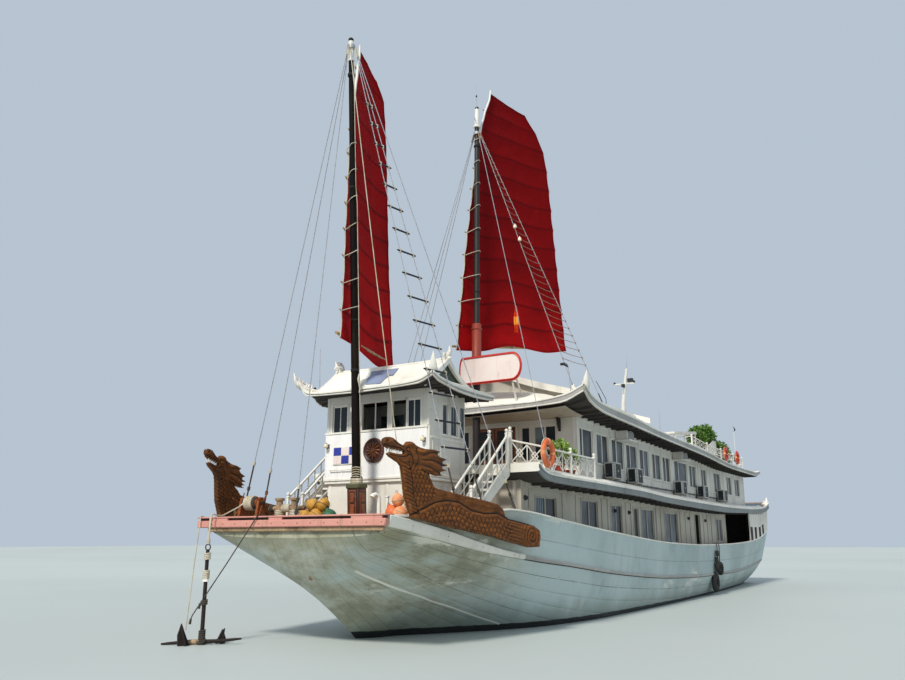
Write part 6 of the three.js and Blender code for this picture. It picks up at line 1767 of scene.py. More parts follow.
for a, b in ((-y, -0.4), (0.4, y)):
    s.box(x0, x0 + 0.06, max(a, -(y - 0.061)), min(b, y - 0.061), 2.803, 3.925, 0.003, 0)
s.box(x0, x0 + 0.06, -0.40, 0.40, 3.80, 3.925, 0.003, 0)
for a in (-1.66, -1.02, -0.36, 0.30, 0.96, 1.56):
    s.box(x1 - 0.004, x1 + 0.014, a, a + 0.10, 2.81, 3.92, 0.005, 1)
s.box(x1 - 0.004, x1 + 0.018, -1.66, 1.66, 2.81, 2.95, 0.005, 1)
s.box(14.93, 16.80, -1.76, 1.76, 3.922, 3.980, 0.010, 1)
s.make("wheelhouse_base_panels", ["wall", "white"], slot="wall_paint", replaces=("wheelhouse_base",))
s = Soup()  # helm stand and wheel, and a console behind the windows
s.box(16.34, 16.60, -0.28, 0.28, 3.983, 4.86, 0.012, 0)
s.box(16.31, 16.63, -0.31, 0.31, 4.85, 4.95, 0.015, 0)
s.box(16.40, 16.44, -0.05, 0.05, 4.93, 5.10, 0.006, 0)
for yy in (-0.16, 0.0, 0.16):
    m = Matrix.Translation((16.52, yy, 4.95))
    s.lathe([(0, -0.01), (0.055, -0.01), (0.06, 0.02), (0.05, 0.035), (0, 0.036)], m, 16, 1)
for yy in (-0.2, 0.2):
    s.box(16.335, 16.345, yy - 0.14, yy + 0.14, 4.1, 4.75, 0.004, 1)
s.make("helm_console", ["wood", "bronze"], slot="bare_wood", replaces=("helm_stand",))
s = Soup()
HX, HZ = 16.28, 5.02
ring = lambda r, n: [(HX, r * math.cos(2 * math.pi * k / n), HZ + r * math.sin(2 * math.pi * k / n)) for k in range(n)]
s.tube(ring(0.285, 36), 0.020, 8, 0, closed=True)
s.tube(ring(0.285, 36), 0.012, 6, 1, closed=True, flat=2.0)
m = Matrix.Translation((HX - 0.035, 0, HZ)) @ Matrix.Rotation(math.pi / 2, 4, "Y")
s.lathe([(0, 0), (0.045, 0.002), (0.06, 0.02), (0.06, 0.045), (0.04, 0.065), (0, 0.068)], m, 16, 1)
for k in range(8):
    a = k * math.pi / 4
    q = lambda r: (HX, r * math.cos(a), HZ + r * math.sin(a))
    s.tube([q(0.03), q(0.12), q(0.20), q(0.262), q(0.30), q(0.325), q(0.345), q(0.36)], [0.010, 0.014, 0.009, 0.013, 0.010, 0.016, 0.014, 0.006], 8, 0)
s.make("helm_wheel_spokes", ["wood", "bronze"], body="helm", slot="bare_wood", replaces=("helm_wheel",))

# checked panel, carved disc, lamps and grab rails on the wheelhouse front
s = Soup()
wbox(s, pf, -1.46, -0.58, 0.018, 0.050, 4.44, 4.95, 0.008, 0)
for r in range(2):
    for c in range(3):
        blue = (r + c) % 2 == 0
        wbox(s, pf, -1.43 + 0.275 * c, -1.43 + 0.275 * c + 0.262, 0.046, 0.058, 4.70 - 0.235 * r, 4.70 - 0.235 * r + 0.222, 0.004, 1 if blue else 2)
s.make("checked_panel", ["white", "blue", "signpale"], slot="sign_paint")
s = Soup()
m = Matrix.Translation((WX1 + 0.03, -0.04, 4.78)) @ Matrix.Rotation(math.pi / 2, 4, "Y")
s.lathe([(0, -0.01), (0.335, -0.01), (0.345, 0.02), (0.335, 0.05), (0.30, 0.062), (0.275, 0.045), (0.25, 0.035), (0, 0.035)], m, 40, 0)
for k in range(24):
    a = 2 * math.pi * k / 24
    c = Vector((WX1 + 0.085, -0.04 + 0.317 * math.cos(a), 4.78 + 0.317 * math.sin(a)))
    s.lathe([(0, -0.012), (0.018, -0.01), (0.02, 0.0), (0.012, 0.010), (0, 0.013)], Matrix.Translation(c) @ Matrix.Rotation(math.pi / 2, 4, "Y"), 8, 1)
for k in range(12):  # petals and a raised boss
    a = 2 * math.pi * k / 12
    q = lambda r, d, lift: (WX1 + 0.062 + lift, -0.04 + r * math.cos(a + d), 4.78 + r * math.sin(a + d))
    s.tube([q(0.055, 0, 0.01), q(0.12, 0.05, 0.022), q(0.18, 0.0, 0.024), q(0.235, -0.05, 0.006)], [0.018, 0.032, 0.030, 0.008], 8, 1, flat=0.7)
s.lathe([(0, 0.03), (0.075, 0.03), (0.08, 0.05), (0.06, 0.075), (0.03, 0.085), (0, 0.088)], m, 20, 1)
s.make("carved_disc", ["tab", "wood"], slot="bare_wood")
s = Soup()
for y, z in ((1.60, 4.98), (-1.66, 4.98)):
    wbox(s, pf, y - 0.05, y + 0.05, 0.02, 0.06, z - 0.06, z + 0.06, 0.006, 0)
    m = Matrix.Translation((WX1 + 0.13, y, z - 0.05))
    s.lathe([(0, 0), (0.045, 0.004), (0.06, 0.02), (0.06, 0.09), (0.04, 0.115), (0, 0.12)], m, 14, 1)
    s.tube([(WX1 + 0.05, y, z + 0.03), (WX1 + 0.10, y, z + 0.09), (WX1 + 0.13, y, z + 0.075)], 0.010, 6, 0)
s.tube([(WX1 + 0.02, -1.55, 4.30), (WX1 + 0.08, -1.55, 4.30), (WX1 + 0.08, -0.75, 4.30), (WX1 + 0.02, -0.75, 4.30)], 0.014, 8, 2)
s.make("wheelhouse_lamps", ["steel", "lamp", "white"], slot="trim_paint")


# ------------------------------------------------------------------ carved dragon boards
DRAGON = [(-0.87, 4.48), (-0.85, 4.56), (-0.77, 4.60), (-0.68, 4.61), (-0.57, 4.60), (-0.47, 4.55), (-0.38, 4.50), (-0.26, 4.46), (-0.16, 4.49), (-0.09, 4.56), (0.03, 4.57), (0.17, 4.50),
          (0.32, 4.46), (0.52, 4.44), (0.76, 4.45), (1.01, 4.42), (0.90, 4.35), (0.97, 4.30), (1.26, 4.25), (1.08, 4.19), (1.07, 4.15), (1.32, 4.12), (1.07, 4.07), (1.07, 4.03), (1.26, 4.00),
          (1.04, 3.95), (0.97, 3.91), (1.12, 3.87), (0.91, 3.85), (0.74, 3.88), (0.62, 3.90), (0.64, 3.82), (0.72, 3.72), (0.79, 3.59), (0.97, 3.55), (1.51, 3.49), (2.11, 3.42), (2.73, 3.35),
          (3.21, 3.28), (3.42, 3.16), (3.50, 3.00), (3.64, 2.93), (4.21, 2.86), (4.78, 2.77), (4.98, 2.66), (5.04, 2.46), (4.97, 2.23), (4.52, 2.22), (4.05, 2.30), (3.59, 2.37), (2.93, 2.49),
          (2.30, 2.57), (1.51, 2.67), (0.75, 2.78), (0.08, 2.88), (0.01, 2.99), (-0.07, 3.18), (-0.16, 3.39), (-0.20, 3.67), (-0.23, 3.85), (-0.28, 4.00), (-0.36, 4.07), (-0.50, 4.12), (-0.65, 4.18),
          (-0.74, 4.245), (-0.63, 4.285), (-0.50, 4.265), (-0.36, 4.26), (-0.20, 4.275), (-0.20, 4.32), (-0.34, 4.335), (-0.50, 4.345), (-0.68, 4.35), (-0.80, 4.39), (-0.86, 4.44)]
WAVE = [(-0.05, 2.88), (0.18, 2.94), (0.39, 3.03), (0.82, 3.19), (1.24, 3.25), (1.66, 3.22), (2.14, 3.04), (2.62, 2.98), (3.16, 3.00), (3.60, 2.86), (4.07, 2.80), (4.60, 2.74), (5.10, 2.66)]


def seg_dist(p, poly, closed=True):
    """Distance from each point of p (n, 2) to a polyline, and the parameter along it."""
    q = np.array(poly, float)
    a, b = (q, np.roll(q, -1, axis=0)) if closed else (q[:-1], q[1:])
    best = np.full(len(p), 1e9)
    for s0, s1 in zip(a, b):
        d = s1 - s0
        t = np.clip(((p - s0) @ d) / (d @ d), 0, 1)
        best = np.minimum(best, np.linalg.norm(p - (s0 + t[:, None] * d), axis=1))
    return best


def bumpf(d, r):
    """Round bump: 1 at the middle, 0 at r and beyond."""
    t = np.clip(1 - (d / r) ** 2, 0, 1)
    return t * t


def carve(u, z):
    """Relief of the carving over the board, metres outward, and how deep in a cut each point is, which the carved
    material turns into painted shade.
    """
    p = np.stack([u, z], 1)
    h = np.zeros(len(u))
    cut = np.zeros(len(u))
    wz = np.interp(u, [w[0] for w in WAVE], [w[1] for w in WAVE])
    body = (z < 3.62) & (u > 0.0)
    dw = z - wz
    # long wave: raised body below it, sunk cloud board above it
    below = np.clip(-dw / 0.05, 0, 1) * body
    h += 0.022 * below
    ridge = np.exp(-(dw / 0.028) ** 2) * body
    h += 0.020 * ridge
    step = np.exp(-((dw - 0.055) / 0.025) ** 2) * body
    h -= 0.022 * step
    cut += 0.9 * step
    # scales along the body, in rows that follow the wave
    s, t = u / 0.155, (dw + 2.0) / 0.115
    row = np.floor(t)
    fs = (s + 0.5 * (row % 2)) % 1.0 - 0.5
    ft = t % 1.0
    arc = np.sqrt((fs * 1.9) ** 2 + (ft - 0.1) ** 2)
    scale = np.clip((arc - 0.74) / 0.12, 0, 1) * (1 - np.clip((arc - 0.98) / 0.1, 0, 1))
    on_body = below * np.clip((3.9 - u) / 0.3, 0, 1) * np.clip((u - 0.15) / 0.2, 0, 1)
    h -= 0.013 * scale * on_body
    h += 0.010 * (1 - arc.clip(0, 1)) * on_body
    cut += 0.75 * scale * on_body
    # cloud scrolls on the board above the wave
    cloud = body & (dw > 0.08)
    for cu, cz, r0, turn in ((1.15, 3.40, 0.085, 1), (1.62, 3.37, 0.095, -1), (2.15, 3.27, 0.11, 1), (2.66, 3.20, 0.11, -1), (3.12, 3.14, 0.09, 1), (0.80, 3.42, 0.08, -1)):
        r = np.hypot(u - cu, z - cz)
        a = np.arctan2(z - cz, (u - cu) * turn)
        sp = np.cos(2 * math.pi * (r / 0.052) - a)
        w = bumpf(r, r0 * 1.5) ** 0.5 * cloud
        h += 0.012 * sp * w
        cut += 0.55 * np.clip(-sp, 0, 1) * w
    # tail: a big curl
    r = np.hypot(u - 4.62, z - 2.50)
    a = np.arctan2(z - 2.50, u - 4.62)
    sp = np.cos(2 * math.pi * (r / 0.115) - a)
    w = bumpf(r, 0.62) ** 0.35 * (u > 3.9)
    h += 0.016 * sp * w
    cut += 0.7 * np.clip(-sp - 0.1, 0, 1) * w
    # strands that run from the curl into the body
    w = np.clip((u - 3.3) / 0.3, 0, 1) * np.clip((4.3 - u) / 0.3, 0, 1) * (dw < 0)
    sp = np.cos(2 * math.pi * (dw / 0.085 + 0.3 * np.sin(3 * u)))
    h += 0.010 * sp * w
    cut += 0.6 * np.clip(-sp, 0, 1) * w
    # neck: belly plates down the front, scales behind
    front = np.interp(z, [2.88, 2.99, 3.18, 3.39, 3.67, 3.85, 4.0, 4.12], [0.08, 0.01, -0.07, -0.16, -0.20, -0.23, -0.28, -0.32])
    neck = (z > 2.95) & (z < 4.12) & (u < 0.98)
    k = (u - front)
    edge = 0.235
    belly = neck * np.clip((edge - k) / 0.02, 0, 1)
    ft = ((z + 0.35 * k) / 0.088) % 1.0
    groove = np.exp(-((ft - 0.5) / 0.13) ** 2)
    h += 0.018 * belly - 0.020 * belly * groove
    cut += 0.85 * belly * groove
    line = neck * np.exp(-((k - edge - 0.01) / 0.02) ** 2)
    h -= 0.018 * line
    cut += 0.9 * line
    back = neck * np.clip((k - edge - 0.02) / 0.03, 0, 1) * np.clip((z - wz - 0.10) / 0.06, 0, 1) * (z < 3.98) * (u < 0.80)
    s, t = k / 0.125, z / 0.098
    row = np.floor(t)
    fs = (s + 0.5 * (row % 2)) % 1.0 - 0.5
    arc = np.sqrt((fs * 1.9) ** 2 + (1 - (t % 1.0) - 0.1) ** 2)
    scale = np.clip((arc - 0.74) / 0.12, 0, 1) * (1 - np.clip((arc - 0.98) / 0.1, 0, 1))
    h += back * (0.010 * (1 - arc.clip(0, 1)) - 0.014 * scale)
    cut += 0.8 * back * scale
    # mane: strands from behind the cheek out to the spikes
    head = z > 3.82
    a = np.arctan2(z - 4.24, u + 0.25)
    r = np.hypot(u + 0.25, z - 4.24)
    w = head * np.clip((u - 0.26) / 0.16, 0, 1)
    sp = np.cos(a * 34 + 1.5 * np.sin(r * 5))
    h += (0.014 * sp + 0.008) * w
    cut += 0.75 * np.clip(-sp - 0.1, 0, 1) * w
    # brow, eye, cheek, snout, nostril, lips, beard
    for cu, cz, ru, rz, amt in ((0.0, 4.50, 0.20, 0.075, 0.055), (0.10, 4.20, 0.26, 0.16, 0.040), (-0.68, 4.50, 0.20, 0.12, 0.050), (-0.36, 4.42, 0.26, 0.09, 0.022), (-0.45, 4.19, 0.30, 0.07, 0.024), (-0.10, 4.36, 0.10, 0.075, 0.045), (0.34, 4.36, 0.20, 0.07, 0.032)):
        h += amt * bumpf(np.hypot((u - cu) / ru, (z - cz) / rz), 1.0) * head
    eye = np.hypot(u + 0.11, z - 4.375)
    ring = np.exp(-((eye - 0.050) / 0.014) ** 2) * head
    h -= 0.024 * ring
    cut += 1.0 * ring
    pupil = bumpf(eye, 0.022)
    cut += pupil
    nostril = bumpf(np.hypot((u + 0.77) / 1.3, z - 4.515), 0.034)
    h -= 0.035 * nostril
    cut += nostril
    for path in (((-0.84, 4.43), (-0.70, 4.405), (-0.52, 4.40), (-0.36, 4.385), (-0.22, 4.33)), ((-0.66, 4.225), (-0.50, 4.20), (-0.34, 4.20), (-0.16, 4.22), (-0.05, 4.28)), ((-0.60, 4.53), (-0.48, 4.50), (-0.38, 4.45), (-0.24, 4.42)),
                 ((-0.02, 4.30), (0.06, 4.10), (0.02, 3.98), (-0.10, 3.94)), ((0.22, 4.48), (0.16, 4.38), (0.22, 4.26), (0.20, 4.10), (0.12, 4.00))):
        d = seg_dist(p, path, False)
        g = np.exp(-(d / 0.015) ** 2) * head
        h -= 0.022 * g
        cut += 0.95 * g
    return h, np.clip(cut, 0, 1)


def head_pose(u, z, sd):
    """The starboard head is carved shorter and carried a little higher than the port one."""
    if sd > 0:
        return u, z
    k = np.clip((z - 3.55) / 0.55, 0, 1)
    k = k * k * (3 - 2 * k)
    return -0.12 + (u + 0.12) * (1 - 0.20 * k), z - 0.12 * k * (u + 0.12)


def make_dragon(name, sd):
    half = 0.058
    bm = bmesh.new()
    fa = [bm.verts.new((u, -half, z)) for u, z in DRAGON]
    fb = [bm.verts.new((u, half, z)) for u, z in DRAGON]
    bm.faces.new(fa)
    bm.faces.new(fb[::-1])
    for k in range(len(fa)):
        j = (k + 1) % len(fa)
        bm.faces.new((fa[k], fb[k], fb[j], fa[j]))
    bmesh.ops.recalc_face_normals(bm, faces=bm.faces)
    bmesh.ops.triangulate(bm, faces=bm.faces)
    me = bpy.data.meshes.new("raw")
    bm.to_mesh(me)
    bm.free()
    ob = bpy.data.objects.new("raw", me)
    bpy.context.scene.collection.objects.link(ob)
    r = ob.modifiers.new("r", "REMESH")
    r.mode, r.voxel_size, r.adaptivity = "VOXEL", 0.0172, 0.0
    sm = ob.modifiers.new("s", "SMOOTH")
    sm.factor, sm.iterations = 0.5, 3
    got = bpy.data.meshes.new_from_object(ob.evaluated_get(bpy.context.evaluated_depsgraph_get()))
    bpy.data.objects.remove(ob)
    n = len(got.vertices)
    co = np.zeros(n * 3)
    got.vertices.foreach_get("co", co)
    co = co.reshape(-1, 3)
    u, y, z = co[:, 0].copy(), co[:, 1].copy(), co[:, 2].copy()
    d = seg_dist(np.stack([u, z], 1), DRAGON)
    inside = np.clip(d / 0.05, 0, 1)
    rnd = np.sqrt(1 - (1 - inside) ** 2)
    h, cut = carve(u, z)
    side = np.abs(y) > half * 0.55
    sign = np.sign(y)
    lift = (half * (0.72 + 0.28 * rnd) + h * rnd) - half
    y2 = np.where(side, y + sign * lift, y)
    fine = np.array([mnoise.noise(Vector((a * 9, b * 4, c * 22))) for a, b, c in zip(u, y, z)]) * 0.0035
    y2 = y2 + np.where(side, sign * fine, 0)
    a = 0.1593
    z_old, u_old = z.copy(), u.copy()
    u, z = head_pose(u_old, z_old, sd)
    x = 19.5 - u * math.cos(a)
    Y = sd * (2.8114 + 0.16) + u * sd * math.sin(a)
    nx, ny = math.sin(a) * sd * 1.0, math.cos(a)
    co2 = np.stack([x + y2 * math.sin(a) * sd, Y + y2 * math.cos(a), z], 1)
    got.vertices.foreach_set("co", co2.reshape(-1))
    # painted shade: the attribute darkens the faces in their cuts, and the board's edges by a middling amount
    at = got.attributes.new("cut", "FLOAT", "POINT")
    at.data.foreach_set("value", np.where(side, cut, 0.15 + 0.3 * (1 - rnd)))
    got.name = f"dragon_{name}_carving"
    got.materials.clear()
    got.materials.append(M["carved"])
    got.polygons.foreach_set("material_index", [0] * len(got.polygons))
    got.shade_smooth()
    ob = bpy.data.objects.new(f"dragon_{name}_carving", got)
    bpy.context.scene.collection.objects.link(ob)
    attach(ob, "hull_body")
    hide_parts(f"dragon_{name}")
    # fangs and battens that hold the board to the bulwark
    s = Soup()
    q = lambda u, t, z: (19.5 - u * math.cos(a) + t * math.sin(a) * sd, sd * (2.8114 + 0.16) + u * sd * math.sin(a) + t * math.cos(a), z)
    for u0, z0, hh, rr in ((-0.70, 4.352, -0.085, 0.018), (-0.60, 4.345, -0.05, 0.014), (-0.50, 4.345, -0.05, 0.014), (-0.40, 4.342, -0.045, 0.013), (-0.30, 4.335, -0.04, 0.012), (-0.62, 4.275, 0.07, 0.015), (-0.46, 4.265, 0.04, 0.012), (-0.34, 4.265, 0.04, 0.012)):
        for t in (-0.032, 0.032):
            pt = [head_pose(np.array([uu]), np.array([zz]), sd) for uu, zz in ((u0, z0 - hh * 0.4), (u0, z0 + hh * 0.3), (u0 - 0.006, z0 + hh))]
            s.tube([q(float(p[0][0]), t, float(p[1][0])) for p in pt], [rr, rr * 0.8, 0.002], 7, 0)
    for u0 in (0.55, 1.9, 3.3, 4.5):
        zt = rail_top(19.5 - u0) + 0.02
        zc = np.interp(u0, [0, 5], [2.95, 2.45])
        s.bar(q(u0, -sd * 0.075, zc - 0.02), q(u0, -sd * 0.075, zc + 0.30), 0.07, 0.05, 0.008, 1, up=(1, 0, 0))
    s.make(f"dragon_{name}_teeth", ["buoywhite", "greywood"], slot="carved_wood")


for name, sd in SIDES:
    make_dragon(name, sd)

# ------------------------------------------------------------------ air-conditioner units on the upper walls
AC = [(7.35, 4.47), (5.0, 4.44), (-0.9, 4.32), (-4.5, 4.32), (-8.3, 4.32)]
for name, sd in SIDES:
    s = Soup()
    pl = side_map(0, sd)
    rings = []
    s.tube([(x, sd * 3.082, 4.45) for x in (-9.2, -6, -3, 0, 3, 6, 7.9)], 0.028, 8, 3)
    for x in np.arange(-8.9, 7.9, 1.2):
        wbox(s, pl, x - 0.02, x + 0.02, 3.045, 3.115, 4.415, 4.485, 0.004, 3)
    for cx, z0 in AC:
        wbox(s, pl, cx - 0.42, cx + 0.42, 3.10, 3.405, z0, z0 + 0.56, 0.022, 0)
        wbox(s, pl, cx - 0.40, cx + 0.40, 3.40, 3.415, z0 + 0.02, z0 + 0.54, 0.006, 1)
        for a, b, c, d in ((-0.42, -0.385, z0, z0 + 0.56), (0.385, 0.42, z0, z0 + 0.56), (-0.42, 0.42, z0, z0 + 0.035), (-0.42, 0.42, z0 + 0.525, z0 + 0.56), (0.14, 0.17, z0, z0 + 0.56)):
            wbox(s, pl, cx + a, cx + b, 3.395, 3.430, c, d, 0.006, 0)
        fc = Vector((cx - 0.12, sd * 3.418, z0 + 0.28))
        for r in (0.06, 0.11, 0.16, 0.205, 0.235):
            s.tube([(fc.x + r * math.cos(t), fc.y, fc.z + r * math.sin(t)) for t in np.linspace(0, 2 * math.pi, 25)[:-1]], 0.0055, 5, 3, closed=True)
        for k in range(8):
            a = math.pi * k / 4
            s.tube([(fc.x + 0.03 * math.cos(a), fc.y, fc.z + 0.03 * math.sin(a)), (fc.x + 0.235 * math.cos(a), fc.y, fc.z + 0.235 * math.sin(a))], 0.0055, 5, 3)
        m = Matrix.Translation(fc) @ Matrix.Rotation(-sd * math.pi / 2, 4, "X")
        s.lathe([(0, -0.02), (0.035, -0.02), (0.035, 0.006), (0.02, 0.010), (0, 0.011)], m, 12, 0)
        for k in range(9):
            z = z0 + 0.07 + 0.05 * k
            wbox(s, pl, cx + 0.185, cx + 0.375, 3.408, 3.424, z, z + 0.022, 0.003, 0)
        for k in range(7):
            z = z0 + 0.10 + 0.055 * k
            for uu in (cx - 0.425, cx + 0.415):
                wbox(s, pl, uu, uu + 0.010, 3.14, 3.36, z, z + 0.018, 0.002, 1)
        for uu in (cx - 0.424, cx + 0.412):
            wbox(s, pl, uu, uu + 0.012, 3.15, 3.402, z0 + 0.05, z0 + 0.51, 0.003, 1)
        for dx in (-0.30, 0.30):  # brackets
            s.bar((cx + dx, sd * 3.052, z0 - 0.02), (cx + dx, sd * 3.42, z0 - 0.02), 0.035, 0.035, 0.005, 2)
            s.bar((cx + dx, sd * 3.056, z0 - 0.26), (cx + dx, sd * 3.38, z0 - 0.03), 0.025, 0.025, 0.004, 2)
            s.bar((cx + dx, sd * 3.062, z0 - 0.28), (cx + dx, sd * 3.062, z0 - 0.0), 0.035, 0.02, 0.004, 2)
        s.tube([(cx + 0.46, sd * 3.25, z0 + 0.14), (cx + 0.50, sd * 3.20, z0 + 0.14), (cx + 0.51, sd * 3.09, z0 + 0.10), (cx + 0.51, sd * 3.075, z0 - 0.02), (cx + 0.49, sd * 3.075, 4.45)], 0.016, 7, 3)
        s.tube([(cx + 0.41, sd * 3.25, z0 + 0.14), (cx + 0.47, sd * 3.25, z0 + 0.14)], 0.020, 7, 3)
    s.make(f"ac_units_{name}_detailed", ["unit", "unitdark", "white", "steel"], slot="unit_paint", replaces=(f"ac_units_{name}",))


# ------------------------------------------------------------------ stairs and rails
def newel(s, x, y, z0, z1, w=0.075, mi=0):
    s.box(x - w / 2, x + w / 2, y - w / 2, y + w / 2, z0, z1 - 0.14, 0.008, mi)
    s.box(x - w * 0.65, x + w * 0.65, y - w * 0.65, y + w * 0.65, z1 - 0.15, z1 - 0.115, 0.008, mi)
    m = Matrix.Translation((x, y, z1 - 0.12))
    s.lathe([(0, 0), (0.024, 0.0), (0.022, 0.02), (0.045, 0.045), (0.052, 0.075), (0.042, 0.105), (0.015, 0.12), (0, 0.122)], m, 14, mi)


def lattice(s, p, q, h0, h1, n, r=0.014, mi=0):
    """Crossed slats between two posts, with a diamond where they cross."""
    p, q = Vector(p), Vector(q)
    for k in range(n):
        a, b = p.lerp(q, k / n), p.lerp(q, (k + 1) / n)
        up = Vector((0, 0, 1))
        s.bar(a + up * h0, b + up * h1, r * 1.6, r * 2, 0.003, mi)
        s.bar(a + up * h1, b + up * h0, r * 1.6, r * 2, 0.003, mi)
        if k:
            s.bar(a + up * h0, a + up * h1, r * 1.8, r * 1.8, 0.003, mi, up=(1, 0, 0))
        c = (a + b) / 2 + up * (h0 + h1) / 2
        e = (b - a) * 0.22
        v = up * (h1 - h0) * 0.22
        for A, B in ((c - e, c + v), (c + v, c + e), (c + e, c - v), (c - v, c - e)):
            s.bar(A, B, r * 1.4, r * 1.6, 0.002, mi)


for name, sd in SIDES:
    s = Soup()
    for yy in (2.50, 3.04):
        y = sd * yy
        out = [(16.76, 2.803), (16.95, 2.803), (16.95, 2.90), (14.86, 4.46), (14.785, 4.31), (14.785, 4.11)]
        s.plate(out, lambda a, b, t, y=y: (a, y + t, b), 0.045, 0)
        s.plate([(16.965, 2.88), (16.97, 2.93), (14.86, 4.51), (14.84, 4.47)], lambda a, b, t, y=y: (a, y + t, b), 0.065, 0)
        s.bar((16.85, y, 3.58), (14.86, y, 5.20), 0.065, 0.06, 0.014, 0)
        newel(s, 16.85, y, 2.81, 3.74, 0.07)
        newel(s, 14.90, y, 4.33, 5.38, 0.07)
        for k in range(1, 7):
            x = lerp(16.85, 14.9, k / 7)
            s.bar((x, y, lerp(2.93, 4.43, k / 7)), (x, y, lerp(3.57, 5.17, k / 7)), 0.032, 0.032, 0.005, 0, up=(1, 0, 0))
        s.bar((16.85, y, 3.24), (14.88, y, 4.84), 0.035, 0.03, 0.006, 0)
    for k in range(6):
        x, z = 16.55 - 0.31 * k, 3.00 + 0.225 * k
        s.box(x - 0.15, x + 0.13, sd * 2.52, sd * 3.02, z, z + 0.036, 0.008, 1)
        s.box(x + 0.10, x + 0.14, sd * 2.53, sd * 3.01, z - 0.02, z + 0.04, 0.006, 0)
    s.make(f"stairs_{name}_built", ["white", "greywood"], slot="trim_paint", replaces=(f"stairs_{name}",))

    s = Soup()
    y = sd * 3.74
    posts = [14.0, 12.15, 10.3]
    zd = lambda x: deck_row(x)[2]
    for x in posts:
        newel(s, x, y, zd(x) + 0.002, zd(x) + (0.92 if x > 13.9 else 0.90), 0.075)
    for a, b in zip(posts, posts[1:]):
        A, B = Vector((a, y, zd(a))), Vector((b, y, zd(b)))
        n = 6
        for h, w, t in ((0.72, 0.075, 0.05), (0.12, 0.045, 0.04)):
            for k in range(n):
                P, Q = lerp(a, b, k / n), lerp(a, b, (k + 1) / n)
                s.bar((P, y, zd(P) + h), (Q, y, zd(Q) + h), w, t, 0.008, 0)
        for k in range(3):
            P, Q = lerp(a, b, k / 3), lerp(a, b, (k + 1) / 3)
            lattice(s, (P, y, (zd(P) + zd(Q)) / 2), (Q, y, (zd(P) + zd(Q)) / 2), 0.15, 0.69, 1)
            s.bar((Q, y, zd(Q) + 0.12), (Q, y, zd(Q) + 0.71), 0.028, 0.028, 0.004, 0, up=(1, 0, 0))
    x = 14.62
    newel(s, x, sd * 3.0, zd(x) + 0.002, zd(x) + 1.10, 0.095)
    for h, w, t in ((0.72, 0.075, 0.05), (0.12, 0.045, 0.04)):
        s.bar((x, sd * 3.0, zd(x) + h), (14.0, y, zd(14.0) + h), w, t, 0.008, 0)
    lattice(s, (14.59, sd * 3.04, zd(14.6)), (14.03, sd * 3.70, zd(14.0)), 0.15, 0.69, 2)
    s.make(f"terrace_rail_{name}_lattice", ["white"], slot="trim_paint", replaces=(f"terrace_rail_{name}",))


def lifebuoy(name, c, R, r, axis, mats, slot="buoy_orange", replaces=()):
    """Ring with four white bands and a grab line in loops; axis is the ring's own axis."""
    c = Vector(c)
    ax = Vector(axis).normalized()
    e1 = ax.orthogonal().normalized() if abs(ax.z) > 0.9 else ax.cross(Vector((0, 0, 1))).normalized()
    e2 = ax.cross(e1)
    at = lambda a, rr, off=0.0: c + (e1 * math.cos(a) + e2 * math.sin(a)) * rr + ax * off
    s = Soup()
    rings, seg = [], []
    N = 48
    for k in range(N):
        a = 2 * math.pi * k / N
        band = (k % 12) in (0, 1, 11)
        rr = r * (1.03 if band else 1.0)
        rings.append([at(a, R + rr * math.cos(t), rr * math.sin(t) * 0.8) for t in (2 * math.pi * j / 14 for j in range(14))])
    for k in range(N):
        band = (k % 12) in (0, 11)
        s2 = [rings[k], rings[(k + 1) % N]]
    o = len(s.v)
    s.rings(rings, 0, False, True)
    for k in range(N):
        if (k % 12) in (0, 11):
            for j in range(14):
                s.m[k * 14 + j] = 1
    for k in range(4):
        path = [at(2 * math.pi * (k / 4 + t / 4), R + r * 1.02 + 0.035 * math.sin(math.pi * t), -0.01) for t in np.linspace(0.02, 0.98, 9)]
        s.tube(path, 0.010, 6, 2)
    s.make(name, mats, slot=slot, replaces=replaces)


lifebuoy("lifebuoy_terrace_ring", (14.10, 3.905, 4.74), 0.315, 0.088, (0, 1, 0), ["orange", "orangepale", "rope"], replaces=("lifebuoy_terrace",))


# ------------------------------------------------------------------ foredeck gear
def turns(s, c, axis, r, n, w, rr, mi):
    """Wound rope: n touching turns of radius r round an axis from c."""
    c, ax = Vector(c), Vector(axis).normalized()
    e1 = ax.orthogonal().normalized()
    e2 = ax.cross(e1)
    for k in range(n):
        off = w * (k + 0.5) / n
        s.tube([c + ax * (off + 0.3 * w / n * math.sin(t)) + (e1 * math.cos(t) + e2 * math.sin(t)) * (r + rr * 0.9) for t in np.linspace(0, 2 * math.pi, 21)[:-1]], rr, 6, mi, closed=True)


s = Soup()
s.box(18.90, 19.30, -1.45, -0.55, 2.803, 2.88, 0.012, 0)
for y in (-1.25, -0.75):
    m = Matrix.Translation((19.1, y, 2.87))
    s.lathe([(0, 0), (0.10, 0), (0.095, 0.06), (0.085, 0.12), (0.082, 0.48), (0.09, 0.50), (0.118, 0.505), (0.122, 0.52), (0.122, 0.555), (0.11, 0.568), (0, 0.57)], m, 20, 0)
    turns(s, (19.1, y, 2.98), (0, 0, 1), 0.085, 4, 0.16, 0.021, 1)
    s.lathe([(0, 0.02), (0.099, 0.02), (0.103, 0.03), (0.103, 0.05), (0.099, 0.06), (0, 0.06)], m, 20, 2)
s.tube([(19.1, -1.60, 3.18), (19.1, -1.57, 3.18), (19.1, -0.43, 3.18), (19.1, -0.40, 3.18)], [0.045, 0.058, 0.058, 0.045], 16, 0)
turns(s, (19.1, -1.13, 3.18), (0, 1, 0), 0.06, 6, 0.25, 0.021, 1)
turns(s, (19.1, -1.56, 3.18), (0, 1, 0), 0.06, 3, 0.12, 0.019, 3)
